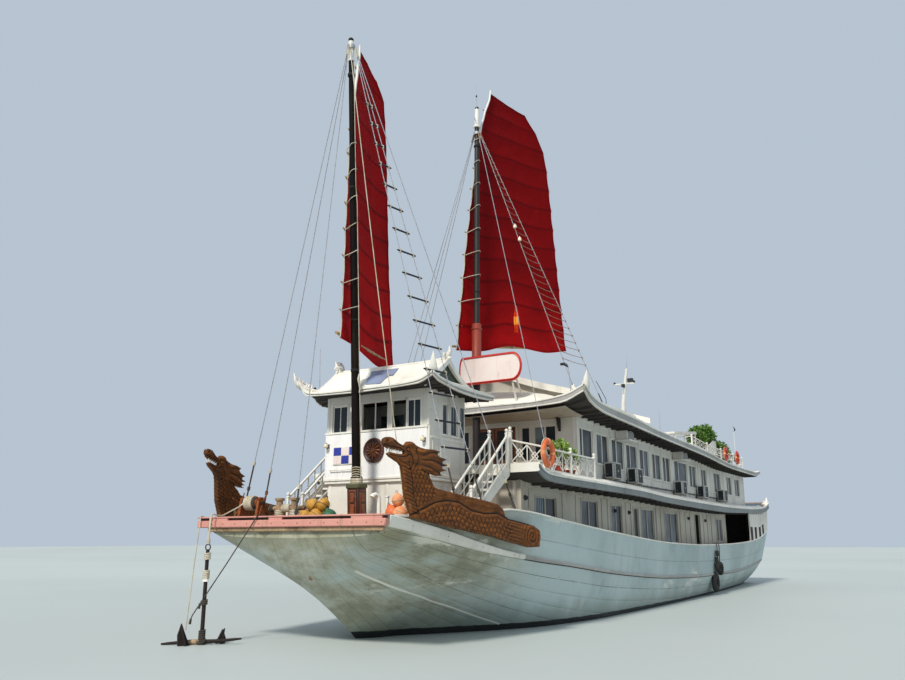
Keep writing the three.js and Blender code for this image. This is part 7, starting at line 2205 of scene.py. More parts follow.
s.make("mooring_bitts_timber", ["greywood", "rope", "rust", "darkrope"], slot="bare_wood", replaces=("mooring_bitts",))

# hand windlass with its barrel full of rope, on the starboard side of the bow
s = Soup()
for y in (-2.32, -1.72):
    s.box(19.12, 19.48, y - 0.04, y + 0.04, 2.803, 3.02, 0.012, 0)
    s.plate([(19.16, 3.0), (19.44, 3.0), (19.40, 3.34), (19.36, 3.46), (19.24, 3.46), (19.20, 3.34)], lambda a, b, t, y=y: (a, y + t, b), 0.075, 0)
s.tube([(19.30, -2.44, 3.32), (19.30, -1.60, 3.32)], 0.035, 12, 2)
s.tube([(19.30, -2.27, 3.32), (19.30, -2.24, 3.32), (19.30, -1.80, 3.32), (19.30, -1.77, 3.32)], [0.10, 0.12, 0.12, 0.10], 18, 0)
for k, (r, w0, w1, mi) in enumerate(((0.12, -2.22, -1.82, 3), (0.150, -2.17, -1.90, 1))):
    turns(s, (19.30, w0, 3.32), (0, 1, 0), r, int((w1 - w0) / 0.044), w1 - w0, 0.022, mi)
for y, d in ((-2.40, -1), (-1.64, 1)):
    for a in (0.4, 0.4 + math.pi / 2, 0.4 + math.pi, 0.4 - math.pi / 2):
        s.tube([(19.30, y, 3.32), (19.30 + 0.30 * math.cos(a), y + 0.02 * d, 3.32 + 0.30 * math.sin(a))], [0.020, 0.014], 8, 0)
    s.tube([(19.30, y - 0.03, 3.32), (19.30, y + 0.03, 3.32)], 0.055, 12, 2)
s.make("windlass", ["rust", "rope", "iron", "darkrope"], slot="bare_wood")

# fenders and floats heaped on the foredeck
s = Soup()


def float_ball(s, c, r, mi, tilt=0.0, eye=True):
    m = Matrix.Translation(c) @ Matrix.Rotation(tilt, 4, "Y") @ Matrix.Rotation(tilt * 0.6, 4, "X")
    prof = [(0, -r)] + [(r * math.cos(a), r * math.sin(a) * 1.05) for a in np.linspace(-1.45, 1.15, 14)] + [(r * 0.30, r * 1.05), (r * 0.22, r * 1.22), (0.0, r * 1.24)]
    s.lathe(prof, m, 20, mi)
    if eye:
        p = m @ Vector((0, 0, r * 1.2))
        s.tube([p + Vector((0.035 * math.cos(t), 0, 0.035 * math.sin(t) + 0.02)) for t in np.linspace(0, 2 * math.pi, 11)[:-1]], 0.009, 6, 2, closed=True)
    s.tube([m @ Vector((r * 1.005 * math.cos(t), r * 1.005 * math.sin(t), 0)) for t in np.linspace(0, 2 * math.pi, 25)[:-1]], 0.008, 5, 2, closed=True)


for x, y, z, r, mi, t in ((17.75, -1.56, 3.005, 0.19, 0, 0.5), (17.80, -1.16, 3.015, 0.20, 0, -0.6), (17.72, -0.76, 3.005, 0.19, 1, 0.3), (17.70, -1.36, 3.31, 0.175, 0, 0.9), (17.74, -0.97, 3.31, 0.17, 0, -0.4), (17.45, -1.30, 3.0, 0.18, 3, 0.7)):
    float_ball(s, (x, y, z), r, mi, t)
s.make("foredeck_floats", ["float", "floatgreen", "darkrope", "orange"], slot="buoy_orange")
s = Soup()
float_ball(s, (18.44, 1.80, 3.02), 0.20, 0, 0.5)
float_ball(s, (18.62, 2.12, 3.00), 0.18, 1, -0.5)
float_ball(s, (18.50, 1.97, 3.33), 0.15, 1, 0.2)
s.make("bow_buoys", ["orange", "orangepale", "rope"], slot="buoy_orange")

# mushroom vent, a post, deck hatch and cleats
s = Soup()
m = Matrix.Translation((18.2, 1.19, 2.80))
s.lathe([(0, 0.003), (0.11, 0.003), (0.11, 0.02), (0.055, 0.035), (0.05, 0.42), (0.05, 0.50), (0, 0.50)], m, 16, 0)
s.tube([(18.2, 1.19, 3.26), (18.2, 1.19, 3.40), (18.22, 1.17, 3.47), (18.28, 1.14, 3.50), (18.34, 1.11, 3.47), (18.36, 1.10, 3.43)], [0.045, 0.045, 0.05, 0.055, 0.062, 0.070], 12, 0)
s.box(18.17, 18.23, 1.41, 1.47, 2.803, 3.44, 0.01, 0)
s.box(18.155, 18.245, 1.395, 1.485, 3.42, 3.46, 0.008, 0)
s.box(18.10, 18.80, 0.20, 0.95, 2.803, 2.96, 0.012, 1)
s.box(18.06, 18.84, 0.16, 0.99, 2.95, 3.00, 0.012, 1)
for k in range(5):
    s.box(18.08, 18.82, 0.19 + 0.157 * k, 0.19 + 0.157 * k + 0.147, 2.99, 3.012, 0.005, 1)
for x, y in ((19.3, 2.05), (17.2, 2.55), (17.2, -2.55), (19.45, -0.2)):
    s.box(x - 0.10, x + 0.10, y - 0.05, y + 0.05, 2.803, 2.83, 0.008, 2)
    s.tube([(x - 0.17, y, 2.915), (x - 0.12, y, 2.905), (x + 0.12, y, 2.905), (x + 0.17, y, 2.915)], [0.010, 0.024, 0.024, 0.010], 8, 2)
    for dx in (-0.06, 0.06):
        s.tube([(x + dx, y, 2.82), (x + dx, y, 2.90)], 0.022, 8, 2)
s.make("foredeck_fittings", ["white", "greywood", "iron"], slot="trim_paint")

# ------------------------------------------------------------------ anchor
s = Soup()
AX, AY = 20.35, -2.35
s.tube([(AX, AY, 2.19), (AX, AY, 2.15), (AX, AY, 0.4), (AX, AY, -0.34)], [0.028, 0.044, 0.050, 0.062], 10, 0)
s.tube([(AX + 0.075 * math.cos(t), AY, 2.235 + 0.075 * math.sin(t)) for t in np.linspace(0, 2 * math.pi, 19)[:-1]], 0.014, 8, 0, closed=True)
A, B = Vector((20.90, -3.10, 0.02)), Vector((19.80, -1.60, 0.12))
s.tube([A.lerp(B, t) + Vector((0, 0, 0.010 * math.sin(7 * t))) for t in np.linspace(0, 1, 13)], [0.024, 0.032, 0.036, 0.040, 0.044, 0.050, 0.056, 0.050, 0.044, 0.040, 0.036, 0.032, 0.022], 9, 4)
s.box(AX - 0.14, AX + 0.14, AY - 0.075, AY + 0.075, -0.42, -0.27, 0.022, 0)
D_ = Vector((0.88, -0.40, 0)).normalized()
for sx, top_ in ((1, 0.50), (-1, 0.32)):
    e0 = D_ * sx
    at_ = lambda a, z, e0=e0: Vector((AX, AY, z)) + e0 * a
    k_ = (top_ + 0.34) / 0.76
    zz_ = lambda f: -0.42 + (top_ + 0.42) * f
    plank = [(0.0, zz_(0.0)), (0.0, zz_(0.17)), (0.13, zz_(0.24)), (0.27, zz_(0.42)), (0.38, zz_(0.68)), (0.50, zz_(1.0)), (0.575, zz_(0.72)), (0.555, zz_(0.44)), (0.44, zz_(0.18)), (0.26, zz_(0.02)), (0.12, zz_(-0.03))]
    s.plate(plank, lambda a, b, t, e0=e0: tuple(Vector((AX, AY, b)) + e0 * a + Vector((0, 0, 1)).cross(e0) * t), 0.075, 0)
    e = (at_(0.55, top_) - at_(0.38, -0.20)).normalized()
    sdv = Vector((0, 0, 1)).cross(e0).normalized()
    n = e.cross(sdv).normalized()
    if n.dot(e0) > 0:
        n = n * -1
    c = at_(0.47, -0.34 + 0.40 * k_)
    out = [(-0.30, 0.0), (-0.22, -0.10), (-0.02, -0.155), (0.16, -0.11), (0.34, 0.0), (0.16, 0.11), (-0.02, 0.155), (-0.22, 0.10)]
    s.plate(out, lambda a, b, t, c=c, e=e, n=n, sdv=sdv: tuple(c + e * a + sdv * b + n * (0.030 + t)), 0.024, 0)
for z, n_, mi in ((1.59, 5, 2), (0.20, 6, 3), (0.95, 3, 3), (2.02, 4, 2)):
    turns(s, (AX, AY, z - 0.02 * n_), (0, 0, 1), 0.050, n_, 0.042 * n_, 0.020, mi)
turns(s, (AX, AY, 0.0), (0.35, 0.25, 0.9), 0.075, 3, 0.13, 0.020, 3)
s.tube([A.lerp(B, 0.30), A.lerp(B, 0.47)], [0.060, 0.066], 10, 1)
s.make("anchor_forged", ["ironblack_and_slot_shade", "greywood", "rope", "darkrope", "ironblack_and_slot_shade"], slot="anchor_iron", replaces=("anchor",))
s = Soup()  # the hanging rope, its guy and the taut lines beside it
s.tube([(20.35, -2.35, 2.300), (20.345, -2.35, 2.45), (20.335, -2.35, 2.66), (20.32, -2.35, 2.86), (20.30, -2.35, 3.02)], 0.020, 8, 0)
s.tube([(20.30, -2.35, 3.0), (20.24, -2.36, 3.035), (20.12, -2.37, 3.00), (19.95, -2.34, 3.0), (19.6, -2.2, 3.2), (19.40, -2.12, 3.36)], 0.018, 7, 0)
turns(s, (20.35, -2.35, 2.31), (0, 0, 1), 0.018, 4, 0.12, 0.016, 0)
s.make("anchor_rope_laid", ["rope"], slot="rope", replaces=("anchor_rope",))
s = Soup()
s.tube([(20.185, -2.86, 2.98), (20.30, -2.86, 1.7), (20.42, -2.84, 0.30)], 0.013, 6, 0)
s.tube([(20.10, -2.85, 2.985), (20.185, -2.86, 2.985)], 0.014, 6, 0)
s.tube([(20.19, -2.52, 2.98), (20.27, -2.44, 2.66), (20.36, -2.38, 2.30)], 0.014, 6, 0)
s.tube([(20.18, -0.94, 2.96), (20.29, -1.74, 1.86), (20.42, -2.64, 0.66), (20.44, -2.72, 0.48)], 0.014, 6, 1)
s.tube([(20.00, -0.92, 2.985), (20.12, -0.93, 2.985), (20.18, -0.94, 2.95)], 0.015, 6, 1)
for c in ((20.43, -2.70, 0.50), (20.40, -2.46, 0.86)):
    s.tube([Vector(c) + Vector((0, 0.0, -0.05)), Vector(c) + Vector((0.0, 0.02, 0.07))], [0.03, 0.026], 8, 1)
s.make("anchor_lines", ["rope", "darkrope"], slot="rope")
g = []  # a rag tied round the shank
for i in range(9):
    a = 2.6 * math.pi * i / 8
    row = []
    for j in range(9):
        r = 0.066 + 0.006 * math.sin(3 * a) + 0.030 * (j / 8) ** 2 * (1 if i > 5 else 0.25)
        row.append((AX + r * math.cos(a), AY + r * math.sin(a), 1.70 - 0.24 * j / 8 - 0.03 * i / 8))
    g.append(row)
s = Soup()
s.sheet(g, 0.006, 0)
rag = s.make("anchor_rag", ["buoywhite"], slot="rope", smooth=70)

# ------------------------------------------------------------------ fenders over the port and starboard rails
for name, sd in SIDES:
    s = Soup()
    for x, top, kind in ((-4.30, 2.19, 0), (-4.72, 2.18, 1)) if sd > 0 else ((-4.5, 2.18, 1), (4.0, 2.36, 1)):
        y0 = half_breadth(x, rail_top(x) - 0.02)
        yw = lambda z, x=x: half_breadth(x, z)
        zs = [rail_top(x) + 0.05, 1.9, 1.5, 1.25]
        s.tube([(x, sd * (y0 - 0.10), rail_top(x) + 0.03), (x, sd * (y0 - 0.03), rail_top(x) + 0.055), (x, sd * (y0 + 0.045), rail_top(x) + 0.035), (x, sd * (y0 + 0.06), rail_top(x) - 0.10), (x, sd * (yw(1.75) + 0.10), 1.75), (x, sd * (yw(1.3) + 0.12), 1.30)], 0.022, 7, 1)
        if kind == 0:
            for k in range(3):
                z0 = 1.95 - 0.28 * k
                s.box(x - 0.14, x + 0.14, sd * (yw(z0) + 0.035), sd * (yw(z0) + 0.125), z0 - 0.26, z0, 0.03, 0)
        for zc, q_ in ((1.22, 0.75), (0.56, 1.45)) if kind == 0 else ((1.15, 1.0),):
            c = Vector((x, sd * (yw(zc) + 0.17), zc))
            rings = []
            for q in range(28):
                a = 2 * math.pi * q / 28
                rr = 0.105 + (0.008 if q % 2 else 0.0)
                rings.append([c + Vector((math.cos(a) * q_ * (0.20 + 0.105 * math.cos(t)), sd * rr * math.sin(t) * 0.95, math.sin(a) * q_ * (0.20 + 0.105 * math.cos(t)))) for t in (2 * math.pi * j / 12 for j in range(12))])
            s.rings(rings, 0, False, True)
            s.tube([c + Vector((0.0, 0.0, 0.13 * q_)), c + Vector((0, 0, 0.24 * q_)), (x, sd * (yw(1.3) + 0.13), max(1.32, zc + 0.3))], 0.020, 7, 1)
    s.make(f"fenders_{name}", ["rubber", "darkrope"], slot="rope")

# ------------------------------------------------------------------ sign board, aerial, lamps on the roof
s = Soup()
out = []
n = 14
yl, yr, zt, zb = -0.42, 1.93, 8.38, 7.42
cz, hh = (zt + zb) / 2, (zt - zb) / 2
for k in range(n + 1):
    a = math.pi / 2 - math.pi * k / n
    out.append((yr - 0.34 + 0.34 * math.cos(a), cz + hh * math.sin(a)))
for k in range(n + 1):
    a = -math.pi / 2 - math.pi * k / n
    out.append((yl + 0.12 + 0.12 * math.cos(a), cz + hh * math.sin(a)))
mid = lambda f: [((a - 0.755) * f[0] + 0.755, (b - cz) * f[1] + cz) for a, b in out]
s.plate(out, lambda a, b, t: (11.620 + t, a, b), 0.036, 0)
s.plate(mid((0.955, 0.86)), lambda a, b, t: (11.640 + t, a, b), 0.016, 1)
ring_ = mid((0.965, 0.88))
s.tube([(11.650, a, b) for a, b in ring_], 0.022, 7, 0, closed=True)
for y in (-0.34, 1.55):
    s.bar((11.60, y, 8.0), (10.92, y, roof_height(roof_at, 10.92, y) + 0.02), 0.05, 0.05, 0.006, 2)
    s.bar((11.59, y, 7.46), (11.30, y, roof_height(roof_at, 11.3, y) + 0.01), 0.05, 0.05, 0.006, 2)
    s.bar((11.585, y, 7.44), (11.585, y, 8.34), 0.05, 0.03, 0.005, 2, up=(1, 0, 0))
s.make("sign_board_rimmed", ["signred", "signpale", "white"], slot="sign_paint", replaces=("sign_board",))

s = Soup()
rz = roof_height(roof_at, 1.1, 1.5)
s.tube([(1.1, 1.5, rz + 0.01), (1.1, 1.5, rz + 0.10), (1.06, 1.56, 8.2), (1.0, 1.76, 9.64)], [0.13, 0.095, 0.085, 0.055], 12, 0)
s.bar((1.02, 1.18, 9.02), (1.02, 2.10, 9.02), 0.07, 0.06, 0.008, 0)
s.bar((0.72, 1.64, 8.78), (1.32, 1.64, 8.78), 0.04, 0.04, 0.006, 0)
for y, h in ((1.20, 0.09), (2.08, 0.10)):
    s.lathe([(0, 0), (0.05, 0.002), (0.055, 0.02), (0.045, h - 0.02), (0.02, h), (0, h)], Matrix.Translation((1.02, y, 9.04)), 12, 1)
s.box(1.05, 1.19, 1.55, 1.70, 8.86, 9.00, 0.015, 1)
s.box(0.96, 1.10, 1.80, 2.04, 9.08, 9.24, 0.012, 1)
s.tube([(1.0, 1.76, 9.60), (0.99, 1.79, 9.95), (0.98, 1.82, 10.35)], [0.014, 0.010, 0.004], 6, 2)
s.lathe([(0, 0), (0.05, 0.002), (0.055, 0.03), (0.035, 0.07), (0, 0.08)], Matrix.Translation((1.0, 1.76, 9.62)), 12, 3)
for dx, dy in ((0.6, 0.0), (-0.3, 0.5), (-0.3, -0.5)):
    s.tube([(1.05 + dx, 1.5 + dy, roof_height(roof_at, 1.05 + dx, 1.5 + dy) + 0.005), (1.06, 1.55, 8.1)], 0.009, 5, 2)
s.make("antenna_mast_dressed", ["capwhite", "unitdark", "wire", "lamp"], slot="trim_paint", replaces=("antenna_mast",))

s = Soup()  # lamps and aerials on the roofs
s.tube([(11.3, 3.46, roof_height(roof_at, 11.3, 3.46)), (11.3, 3.43, 7.45), (11.3, 3.40, 7.72)], 0.014, 6, 0)
s.tube([(11.3, 3.40, 7.72), (11.3, 3.33, 7.80), (11.3, 3.24, 7.84)], [0.016, 0.05, 0.035], 10, 1)
s.box(11.26, 11.34, 3.14, 3.30, 7.80, 7.88, 0.012, 1)
s.tube([(5.66, 2.5, roof_height(roof_at, 5.66, 2.5)), (5.66, 2.5, 7.6), (6.61, 2.5, 8.14)], 0.013, 6, 1)
s.tube([(-0.6, 2.6, roof_height(roof_at, -0.6, 2.6)), (-0.63, 2.6, 7.5), (-0.66, 2.6, 8.1)], [0.02, 0.012, 0.006], 6, 0)
s.tube([(16.5, -2.30, roof_height(wh_at, 16.5, -2.30)), (16.5, -2.33, 6.9), (16.5, -2.36, 7.98)], [0.016, 0.010, 0.005], 6, 0)
s.tube([(16.15, -1.70, 7.22), (16.18, -1.72, 7.40), (16.26, -1.74, 7.47), (16.36, -1.75, 7.46)], [0.03, 0.03, 0.045, 0.065], 10, 0)
s.box(9.92, 10.02, 3.52, 3.62, roof_height(roof_at, 9.97, 3.57) - 0.005, roof_height(roof_at, 9.97, 3.57) + 0.12, 0.015, 1)
s.box(-0.10, 0.02, -0.17, -0.12, 2.90, 3.04, 0.012, 3, mast_frame(FORE))
for y in (-1.9, 1.9):
    m = Matrix.Translation((17.2, y, roof_height(wh_at, 17.2, y) - 0.005))
    s.lathe([(0, 0), (0.06, 0.0), (0.06, 0.03), (0.045, 0.05), (0.045, 0.13), (0.02, 0.16), (0, 0.165)], m, 14, 1 if y < 0 else 2)
s.make("roof_lamps", ["wire", "unitdark", "red", "capwhite"], slot="trim_paint")

# ------------------------------------------------------------------ sundeck: rails, staff, planters, plants, lifebuoys
s = Soup()
px_ = [-4.6, -7.4, -10.2, -13.0, -15.3]
crown = lambda x: roof_height(roof_at, x, 2.9)
top0 = lambda x: roof_at(x)[1] + max(roof_at(x)[3], roof_at(x)[4])
for sd in (1, -1):
    for x in px_:
        newel(s, x, sd * 2.9, crown(x) - 0.01, top0(x) + 0.84, 0.065)
    for a, b in zip(px_, px_[1:]):
        for h, w in ((0.40, 0.035), (0.74, 0.055)):
            s.bar((a, sd * 2.9, top0(a) + h), (b, sd * 2.9, top0(b) + h), w, 0.035, 0.008, 0)
        lattice(s, (a, sd * 2.9, top0(a)), (b, sd * 2.9, top0(b)), 0.42, 0.72, 4, 0.010)
for x in (px_[0], px_[-1]):
    for h, w in ((0.40, 0.035), (0.74, 0.055)):
        s.bar((x, -2.9, top0(x) + h), (x, 2.9, top0(x) + h), w, 0.035, 0.008, 0)
    for y in (-1.45, 0.0, 1.45):
        newel(s, x, y, top0(x) - 0.02, top0(x) + 0.84, 0.055)
s.tube([(-15.3, 0, top0(-15.3) + 0.8), (-15.32, 0, 7.8), (-15.33, 0, 8.7)], [0.03, 0.024, 0.016], 10, 0)
s.tube([(-13.72, 2.9, top0(-13.7) + 0.02), (-13.72, 2.9, 7.6), (-13.74, 2.9, 8.72)], [0.020, 0.014, 0.008], 8, 0)
s.tube([(-13.74, 2.9, 8.50), (-13.80, 2.96, 8.60), (-13.74, 2.9, 8.78)], [0.02, 0.05, 0.015], 8, 2)
s.lathe([(0, 0), (0.03, 0.005), (0.035, 0.03), (0.02, 0.055), (0, 0.06)], Matrix.Translation((-15.33, 0, 8.68)), 10, 1)
s.make("sundeck_rail_built", ["white", "red", "unitdark"], slot="trim_paint", replaces=("sundeck_rail",))
for k, x in enumerate((-10.95, -13.65)):
    lifebuoy(f"sundeck_lifebuoy_{k}", (x, 2.995, 6.96 if k == 0 else 6.98), 0.30, 0.085, (0, 1, 0), ["red", "orangepale", "rope"])

rnd = random.Random(11)


def foliage(name, blobs, n, size, mats, slot="roof_paint"):
    """Clumps of small closed leaves on stems, packed toward the outside of each blob."""
    s = Soup()
    total = sum(b[3] ** 2 for b in blobs)
    for cx, cy, cz, r, squash in blobs:
        base = Vector((cx, cy, cz - r * squash))
        for k in range(5):
            t = Vector((cx + rnd.uniform(-0.6, 0.6) * r, cy + rnd.uniform(-0.6, 0.6) * r, cz + rnd.uniform(-0.1, 0.5) * r * squash))
            s.tube([base + Vector((rnd.uniform(-0.05, 0.05), rnd.uniform(-0.05, 0.05), -0.02)), base.lerp(t, 0.5) + Vector((rnd.uniform(-0.05, 0.05), 0, 0)), t], [0.022, 0.014, 0.006], 5, 2)
        for _ in range(int(n * r * r / total)):
            d = Vector((rnd.gauss(0, 1), rnd.gauss(0, 1), rnd.gauss(0, 1)))
            d.normalize()
            lump = 0.82 + 0.28 * mnoise.noise(d * 2.2 + Vector((cx, cy, cz)))
            q = r * lump * (rnd.uniform(0.25, 1.0) ** 0.4)
            c = Vector((cx + d.x * q, cy + d.y * q, cz + d.z * q * squash))
            if d.z < -0.75 or c.z < cz - r * squash + 0.02:
                continue
            ln, wd = size * rnd.uniform(0.7, 1.3), size * rnd.uniform(0.26, 0.42)
            out = (d + Vector((rnd.uniform(-0.7, 0.7), rnd.uniform(-0.7, 0.7), rnd.uniform(-0.3, 0.8)))).normalized()
            sdv = out.cross(Vector((rnd.gauss(0, 1), rnd.gauss(0, 1), rnd.gauss(0, 1)))).normalized()
            nrm = out.cross(sdv)
            th = 0.0016
            mid_ = c + out * ln * 0.45 + nrm * ln * 0.10
            tip = c + out * ln - nrm * ln * 0.05
            v = [c, mid_ + sdv * wd, tip, mid_ - sdv * wd]
            up = [p + nrm * th for p in v]
            dn = [p - nrm * th for p in v]
            s.add([tuple(p) for p in up + dn], [(0, 1, 2), (0, 2, 3), (6, 5, 4), (7, 6, 4), (0, 4, 5, 1), (1, 5, 6, 2), (2, 6, 7, 3), (3, 7, 4, 0)], 0 if rnd.random() < 0.62 else 1)
    s.make(name, mats, slot=slot, smooth=20)


def planter(s, x, y, w, d, h, z):
    s.box(x - w / 2, x + w / 2, y - d / 2, y + d / 2, z, z + h, 0.02, 0)
    s.box(x - w / 2 - 0.03, x + w / 2 + 0.03, y - d / 2 - 0.03, y + d / 2 + 0.03, z + h - 0.05, z + h + 0.01, 0.012, 0)
    s.box(x - w / 2 + 0.04, x + w / 2 - 0.04, y - d / 2 + 0.04, y + d / 2 - 0.04, z + h, z + h + 0.03, 0.01, 1)


s = Soup()
rh = lambda x, y: roof_height(roof_at, x, y) - 0.015
for x, y, w, d, h in ((-7.9, 2.15, 1.5, 0.55, 0.60), (-9.7, 2.15, 1.7, 0.55, 0.60), (-11.6, 2.35, 1.5, 0.5, 0.50), (-13.2, 2.35, 1.2, 0.5, 0.45), (-14.5, 2.35, 0.8, 0.5, 0.45), (-6.5, -2.1, 1.5, 0.55, 0.50), (-11.0, -2.1, 1.4, 0.5, 0.45)):
    planter(s, x, y, w, d, h, rh(x, y))
# a low white seat-box and canopy frame forward of the plants
z = rh(-5.0, 2.4)
s.plate([(-2.6, 7.20), (-2.6, 7.28), (-6.45, 7.70), (-6.45, 7.56)], lambda a, b, t: (a, 2.35 + t, b), 0.62, 0)
for x, zz in ((-2.75, 7.21), (-4.5, 7.38), (-6.3, 7.55)):
    for y in (2.08, 2.62):
        s.box(x - 0.03, x + 0.03, y - 0.03, y + 0.03, rh(x, y), zz, 0.006, 0)
s.box(-6.3, -2.8, 2.12, 2.58, z + 0.02, z + 0.52, 0.03, 0)
s.plate([(-8.0, z + 0.50), (-8.0, z + 0.62), (-10.1, z + 1.36), (-10.25, z + 1.30), (-10.25, z + 0.50)], lambda a, b, t: (a, 2.66 + t, b), 0.04, 0)
for x in (-8.3, -10.1):
    s.box(x - 0.03, x + 0.03, 2.62, 2.68, rh(x, 2.65), z + 0.5, 0.006, 0)

s.make("sundeck_planters", ["pot", "bark"], slot="roof_paint")
zt_ = rh(-9.0, 2.1) + 0.5
foliage("sundeck_bushes", [(-8.3, 2.15, zt_ + 0.82, 0.52, 1.0), (-9.0, 2.1, zt_ + 1.05, 0.56, 1.05), (-9.8, 2.2, zt_ + 1.12, 0.60, 1.05), (-10.6, 2.1, zt_ + 0.95, 0.56, 1.0), (-11.3, 2.2, zt_ + 0.62, 0.48, 1.0)], 2600, 0.17, ["leaf", "leafdark", "bark"])
foliage("sundeck_shrubs", [(-12.0, 2.4, zt_ + 0.62, 0.50, 1.0), (-12.8, 2.35, zt_ + 0.55, 0.46, 1.0), (-13.5, 2.35, zt_ + 0.42, 0.42, 1.0), (-14.5, 2.35, zt_ + 0.30, 0.36, 1.0), (-6.5, -2.1, zt_ + 0.45, 0.60, 0.9), (-11.0, -2.1, zt_ + 0.40, 0.55, 0.9)], 1500, 0.13, ["leafdark", "leaf", "bark"])
s = Soup()  # pots on the terrace
zT = lambda x: deck_row(x)[2] + 0.006
for x, y, r, h in ((12.1, 3.36, 0.17, 0.40), (11.4, 3.40, 0.15, 0.30), (12.7, -3.3, 0.16, 0.32)):
    m = Matrix.Translation((x, y, zT(x)))
    s.lathe([(0, 0), (r * 0.68, 0.0), (r * 0.72, 0.03), (r, h - 0.05), (r * 1.08, h - 0.045), (r * 1.08, h), (r * 0.9, h + 0.002), (0, h - 0.01)], m, 20, 0)
s.make("terrace_pots", ["sleeve"], slot="roof_paint")
foliage("terrace_plants", [(12.1, 3.36, zT(12.1) + 0.80, 0.36, 1.0), (11.4, 3.40, zT(11.4) + 0.66, 0.34, 1.0), (12.7, -3.3, zT(12.7) + 0.6, 0.32, 1.0)], 900, 0.11, ["leaflight", "leaf", "bark"])

# ------------------------------------------------------------------ stern: transom battens, after deck and horns, planked quarter panels with slots, after bay
s = Soup()
for z in (0.9, 1.5, 2.1, 2.7):  # battens on the transom
    x = transom_x(z)
    b = half_breadth(-17.2, z) - 0.10
    s.box(x - 0.030, x + 0.02, -b, b, z - 0.04, z + 0.04, 0.01, 0)
for y in (-2.0, -0.9, 0.9, 2.0):
    s.bar((transom_x(0.7) - 0.02, y, 0.7), (transom_x(3.0) - 0.02, y, 3.0), 0.06, 0.04, 0.008, 0, up=(1, 0, 0))
s.make("transom_battens", ["white"], slot="trim_paint")
zs = lambda x: deck_row(x)[2] + 0.004
s = Soup()  # painted after end of the upper deck, with corner horns
g = [[(x, y, zs(x) + 0.004) for y in np.linspace(-3.2, 3.2, 9)] for x in np.linspace(-14.75, -18.6, 12)]
s.sheet(g, 0.012, 0)
for sd in (1, -1):
    for x in (-15.2, -16.4, -17.6):
        s.box(x - 0.13, x + 0.13, sd * 2.95, sd * 3.05, zs(x) + 0.01, zs(x) + 0.06, 0.01, 1)
s.make("after_deck_paint", ["deckblue", "steel"], slot="roof_paint")
s = Soup()
for sd in (1, -1):
    finial(s, (-18.55, sd * 3.28, zs(-18.6) - 0.02), (-18.86, sd * 3.42, zs(-18.6) + 0.36), 0.15)
s.make("after_deck_horns", ["white", "white"], slot="roof_paint", smooth=50)
SLOTS = [(-12.74, -13.50), (-13.98, -14.72), (-15.30, -16.02), (-16.42, -17.08)]
for name, sd in (("port", 1), ("starboard", -1)):  # planked sides right aft, with upright slots over the rail
    s = Soup()

    def out_(x):
        return half_breadth(x, rail_top(x)) - 0.005

    def part(x0, x1, lo, hi, slant=False):
        rings = []
        n_ = max(2, int(abs(x1 - x0) / 0.15))
        for q in range(n_ + 1):
            x = lerp(x0, x1, q / n_)
            a, b = lo(x), hi(x)
            xa, xb = (lerp(x0, transom_x(a) + 0.035, q / n_), lerp(x0, transom_x(b) + 0.035, q / n_)) if slant else (x, x)
            rings.append([(xa, sd * (out_(x) - 0.06), a), (xa, sd * out_(x), a), (xb, sd * out_(x), b), (xb, sd * (out_(x) - 0.06), b)])
        s.rings(rings, 0)
    low = lambda x: rail_top(x) + 0.008
    high = lambda x: deck_row(x)[1] - 0.010
    sill = lambda x: max(3.12, rail_top(x) + 0.60)
    edges = [-12.66] + [v for p_ in SLOTS for v in p_]
    for q in range(0, len(edges) - 1, 2):
        part(edges[q], edges[q + 1], low, high)
    for x0, x1 in SLOTS:
        part(x0, x1, sill, high)
    part(SLOTS[-1][1], -18.3, low, high, True)
    # painted shade: a near-black panel set back in each slot below the sill stands for the shade inside
    for x0, x1 in SLOTS:
        rings = []
        for q in range(5):
            x = lerp(x0 + 0.01, x1 - 0.01, q / 4)
            rings.append([(x, sd * (out_(x) - 0.045), rail_top(x) + 0.010), (x, sd * (out_(x) - 0.022), rail_top(x) + 0.010), (x, sd * (out_(x) - 0.022), sill(x) + 0.03), (x, sd * (out_(x) - 0.045), sill(x) + 0.03)])
        s.rings(rings, 2)
        s.bar((x0, sd * (out_(x0) + 0.014), sill(x0) + 0.02), (x1, sd * (out_(x1) + 0.014), sill(x1) + 0.02), 0.05, 0.035, 0.006, 1)
    for x in list(np.arange(-12.72, -18.0, -0.58)):
        a = sill(x) + 0.10
        s.bar((x, sd * (out_(x) + 0.004), a), (x, sd * (out_(x) + 0.004), high(x) - 0.02), 0.03, 0.02, 0.004, 0, up=(1, 0, 0))
    s.make(f"quarter_panel_{name}_planked", ["wall", "white", "ironblack_and_slot_shade"], slot="wall_paint", replaces=(f"quarter_panel_{name}",))
s = Soup()  # painted shade: dark backs, a bulkhead and a box stand for the shaded after room inside the lower deckhouse; posts carry the deck aft
for sd in (1, -1):
    rings = []
    for x in np.linspace(-12.75, -17.3, 18):  # painted shade: dark backs to the quarter windows
        y = half_breadth(x, rail_top(x)) - 0.17
        rings.append([(x, sd * (y - 0.02), rail_top(x) + 0.03), (x, sd * y, rail_top(x) + 0.03), (x, sd * y, deck_row(x)[1] - 0.02), (x, sd * (y - 0.02), deck_row(x)[1] - 0.02)])
    s.rings(rings, 1)
for x in (-16.4,):
    for sd in (1, -1):
        y = half_breadth(x, rail_top(x)) - 0.32
        s.box(x - 0.05, x + 0.05, sd * y - 0.05, sd * y + 0.05, 1.64, deck_row(x)[1] - 0.004, 0.01, 0)
s.box(-14.28, -14.20, -3.30, 3.30, 1.65, deck_row(-14.24)[1] - 0.01, 0.01, 1)
s.box(-12.6, -10.2, -1.7, 1.7, 1.65, deck_row(-11.4)[1] - 0.01, 0.02, 1)
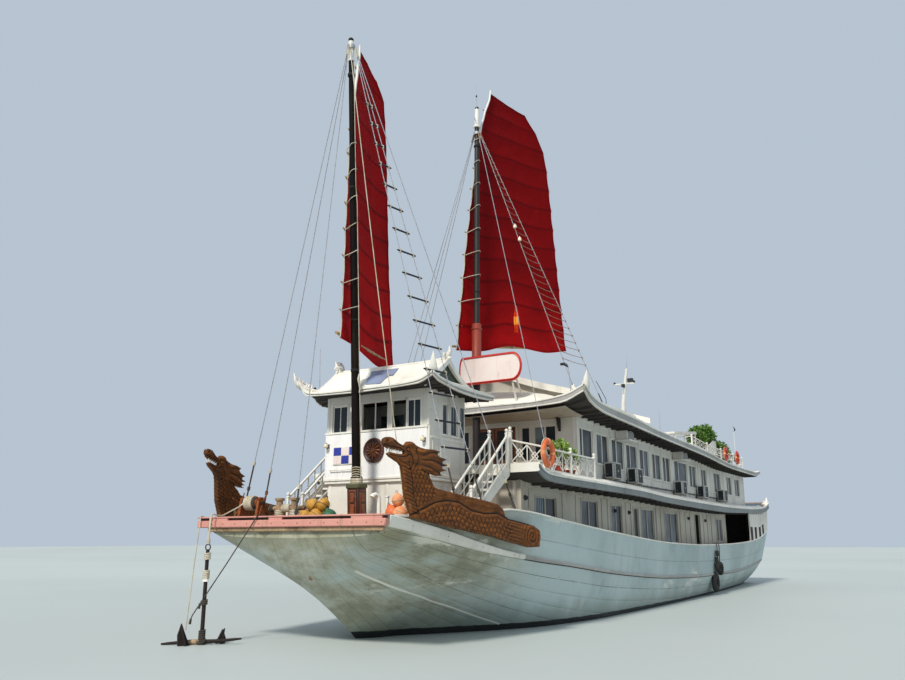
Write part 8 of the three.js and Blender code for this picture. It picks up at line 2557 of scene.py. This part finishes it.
s.box(-14.2, -12.6, -0.05, 0.05, 1.65, deck_row(-13.4)[1] - 0.01, 0.01, 1)
for k in range(9):
    for sd in (1, -1):
        s.box(-12.55 + 0.27 * k, -12.53 + 0.27 * k, sd * 1.69, sd * 1.715, 1.7, deck_row(-11.4)[1] - 0.05, 0.004, 1)
s.make("after_bay", ["lowwall", "recess"], slot="wall_paint")

# ------------------------------------------------------------------ finishes of the model's own parts
CAD_FINISH = {
    "lower_wall_port": "lowwall", "lower_wall_starboard": "lowwall", "lower_wall_front": "lowwall", "lower_wall_aft": "lowwall",
    "upper_wall_port": "wall", "upper_wall_starboard": "wall", "upper_wall_front": "wall", "upper_wall_aft": "wall",
    "quarter_panel_port": "wall", "quarter_panel_starboard": "wall", "wheelhouse_base": "wall", "wheelhouse_front": "wall", "wheelhouse_port": "wall",
    "wheelhouse_starboard": "wall", "wheelhouse_aft": "wall", "wheelhouse_roof": "roof", "upper_roof": "roof", "upper_deck": "roof",
    "hull": "hull", "bulwark_port": "hull", "bulwark_starboard": "hull", "bulwark_stern": "hull", "bow_beam": "pink", "rub_strake_port": "white", "rub_strake_starboard": "white",
    "propeller": "bronze", "rudder": "hull", "lower_door_port": "wood", "lower_door_starboard": "wood", "cabin_door_port": "wood", "cabin_door_starboard": "wood",
    "wheelhouse_door": "wood", "helm_stand": "wood", "helm_wheel": "wood", "foremast": "dark", "mainmast": "mastbrown", "mast_tabernacle": "tab",
    "foresail": "foresail", "mainsail": "mainsail", "foresail_boom": "bamboo", "mainsail_boom": "bamboo", "foremast_stays": "wire", "mainmast_stays": "wire",
    "dragon_port": "carved", "dragon_starboard": "carved", "mooring_bitts": "greywood", "stairs_port": "white", "stairs_starboard": "white",
    "terrace_rail_port": "white", "terrace_rail_starboard": "white", "sundeck_rail": "white", "ac_units_port": "unit", "ac_units_starboard": "unit",
    "lifebuoy_terrace": "orange", "sign_board": "signred", "antenna_mast": "capwhite", "anchor": "iron", "anchor_rope": "rope",
}
for name, ob in NODES.items():
    ob.data.materials.clear()
    ob.data.materials.append(M[CAD_FINISH[name]])
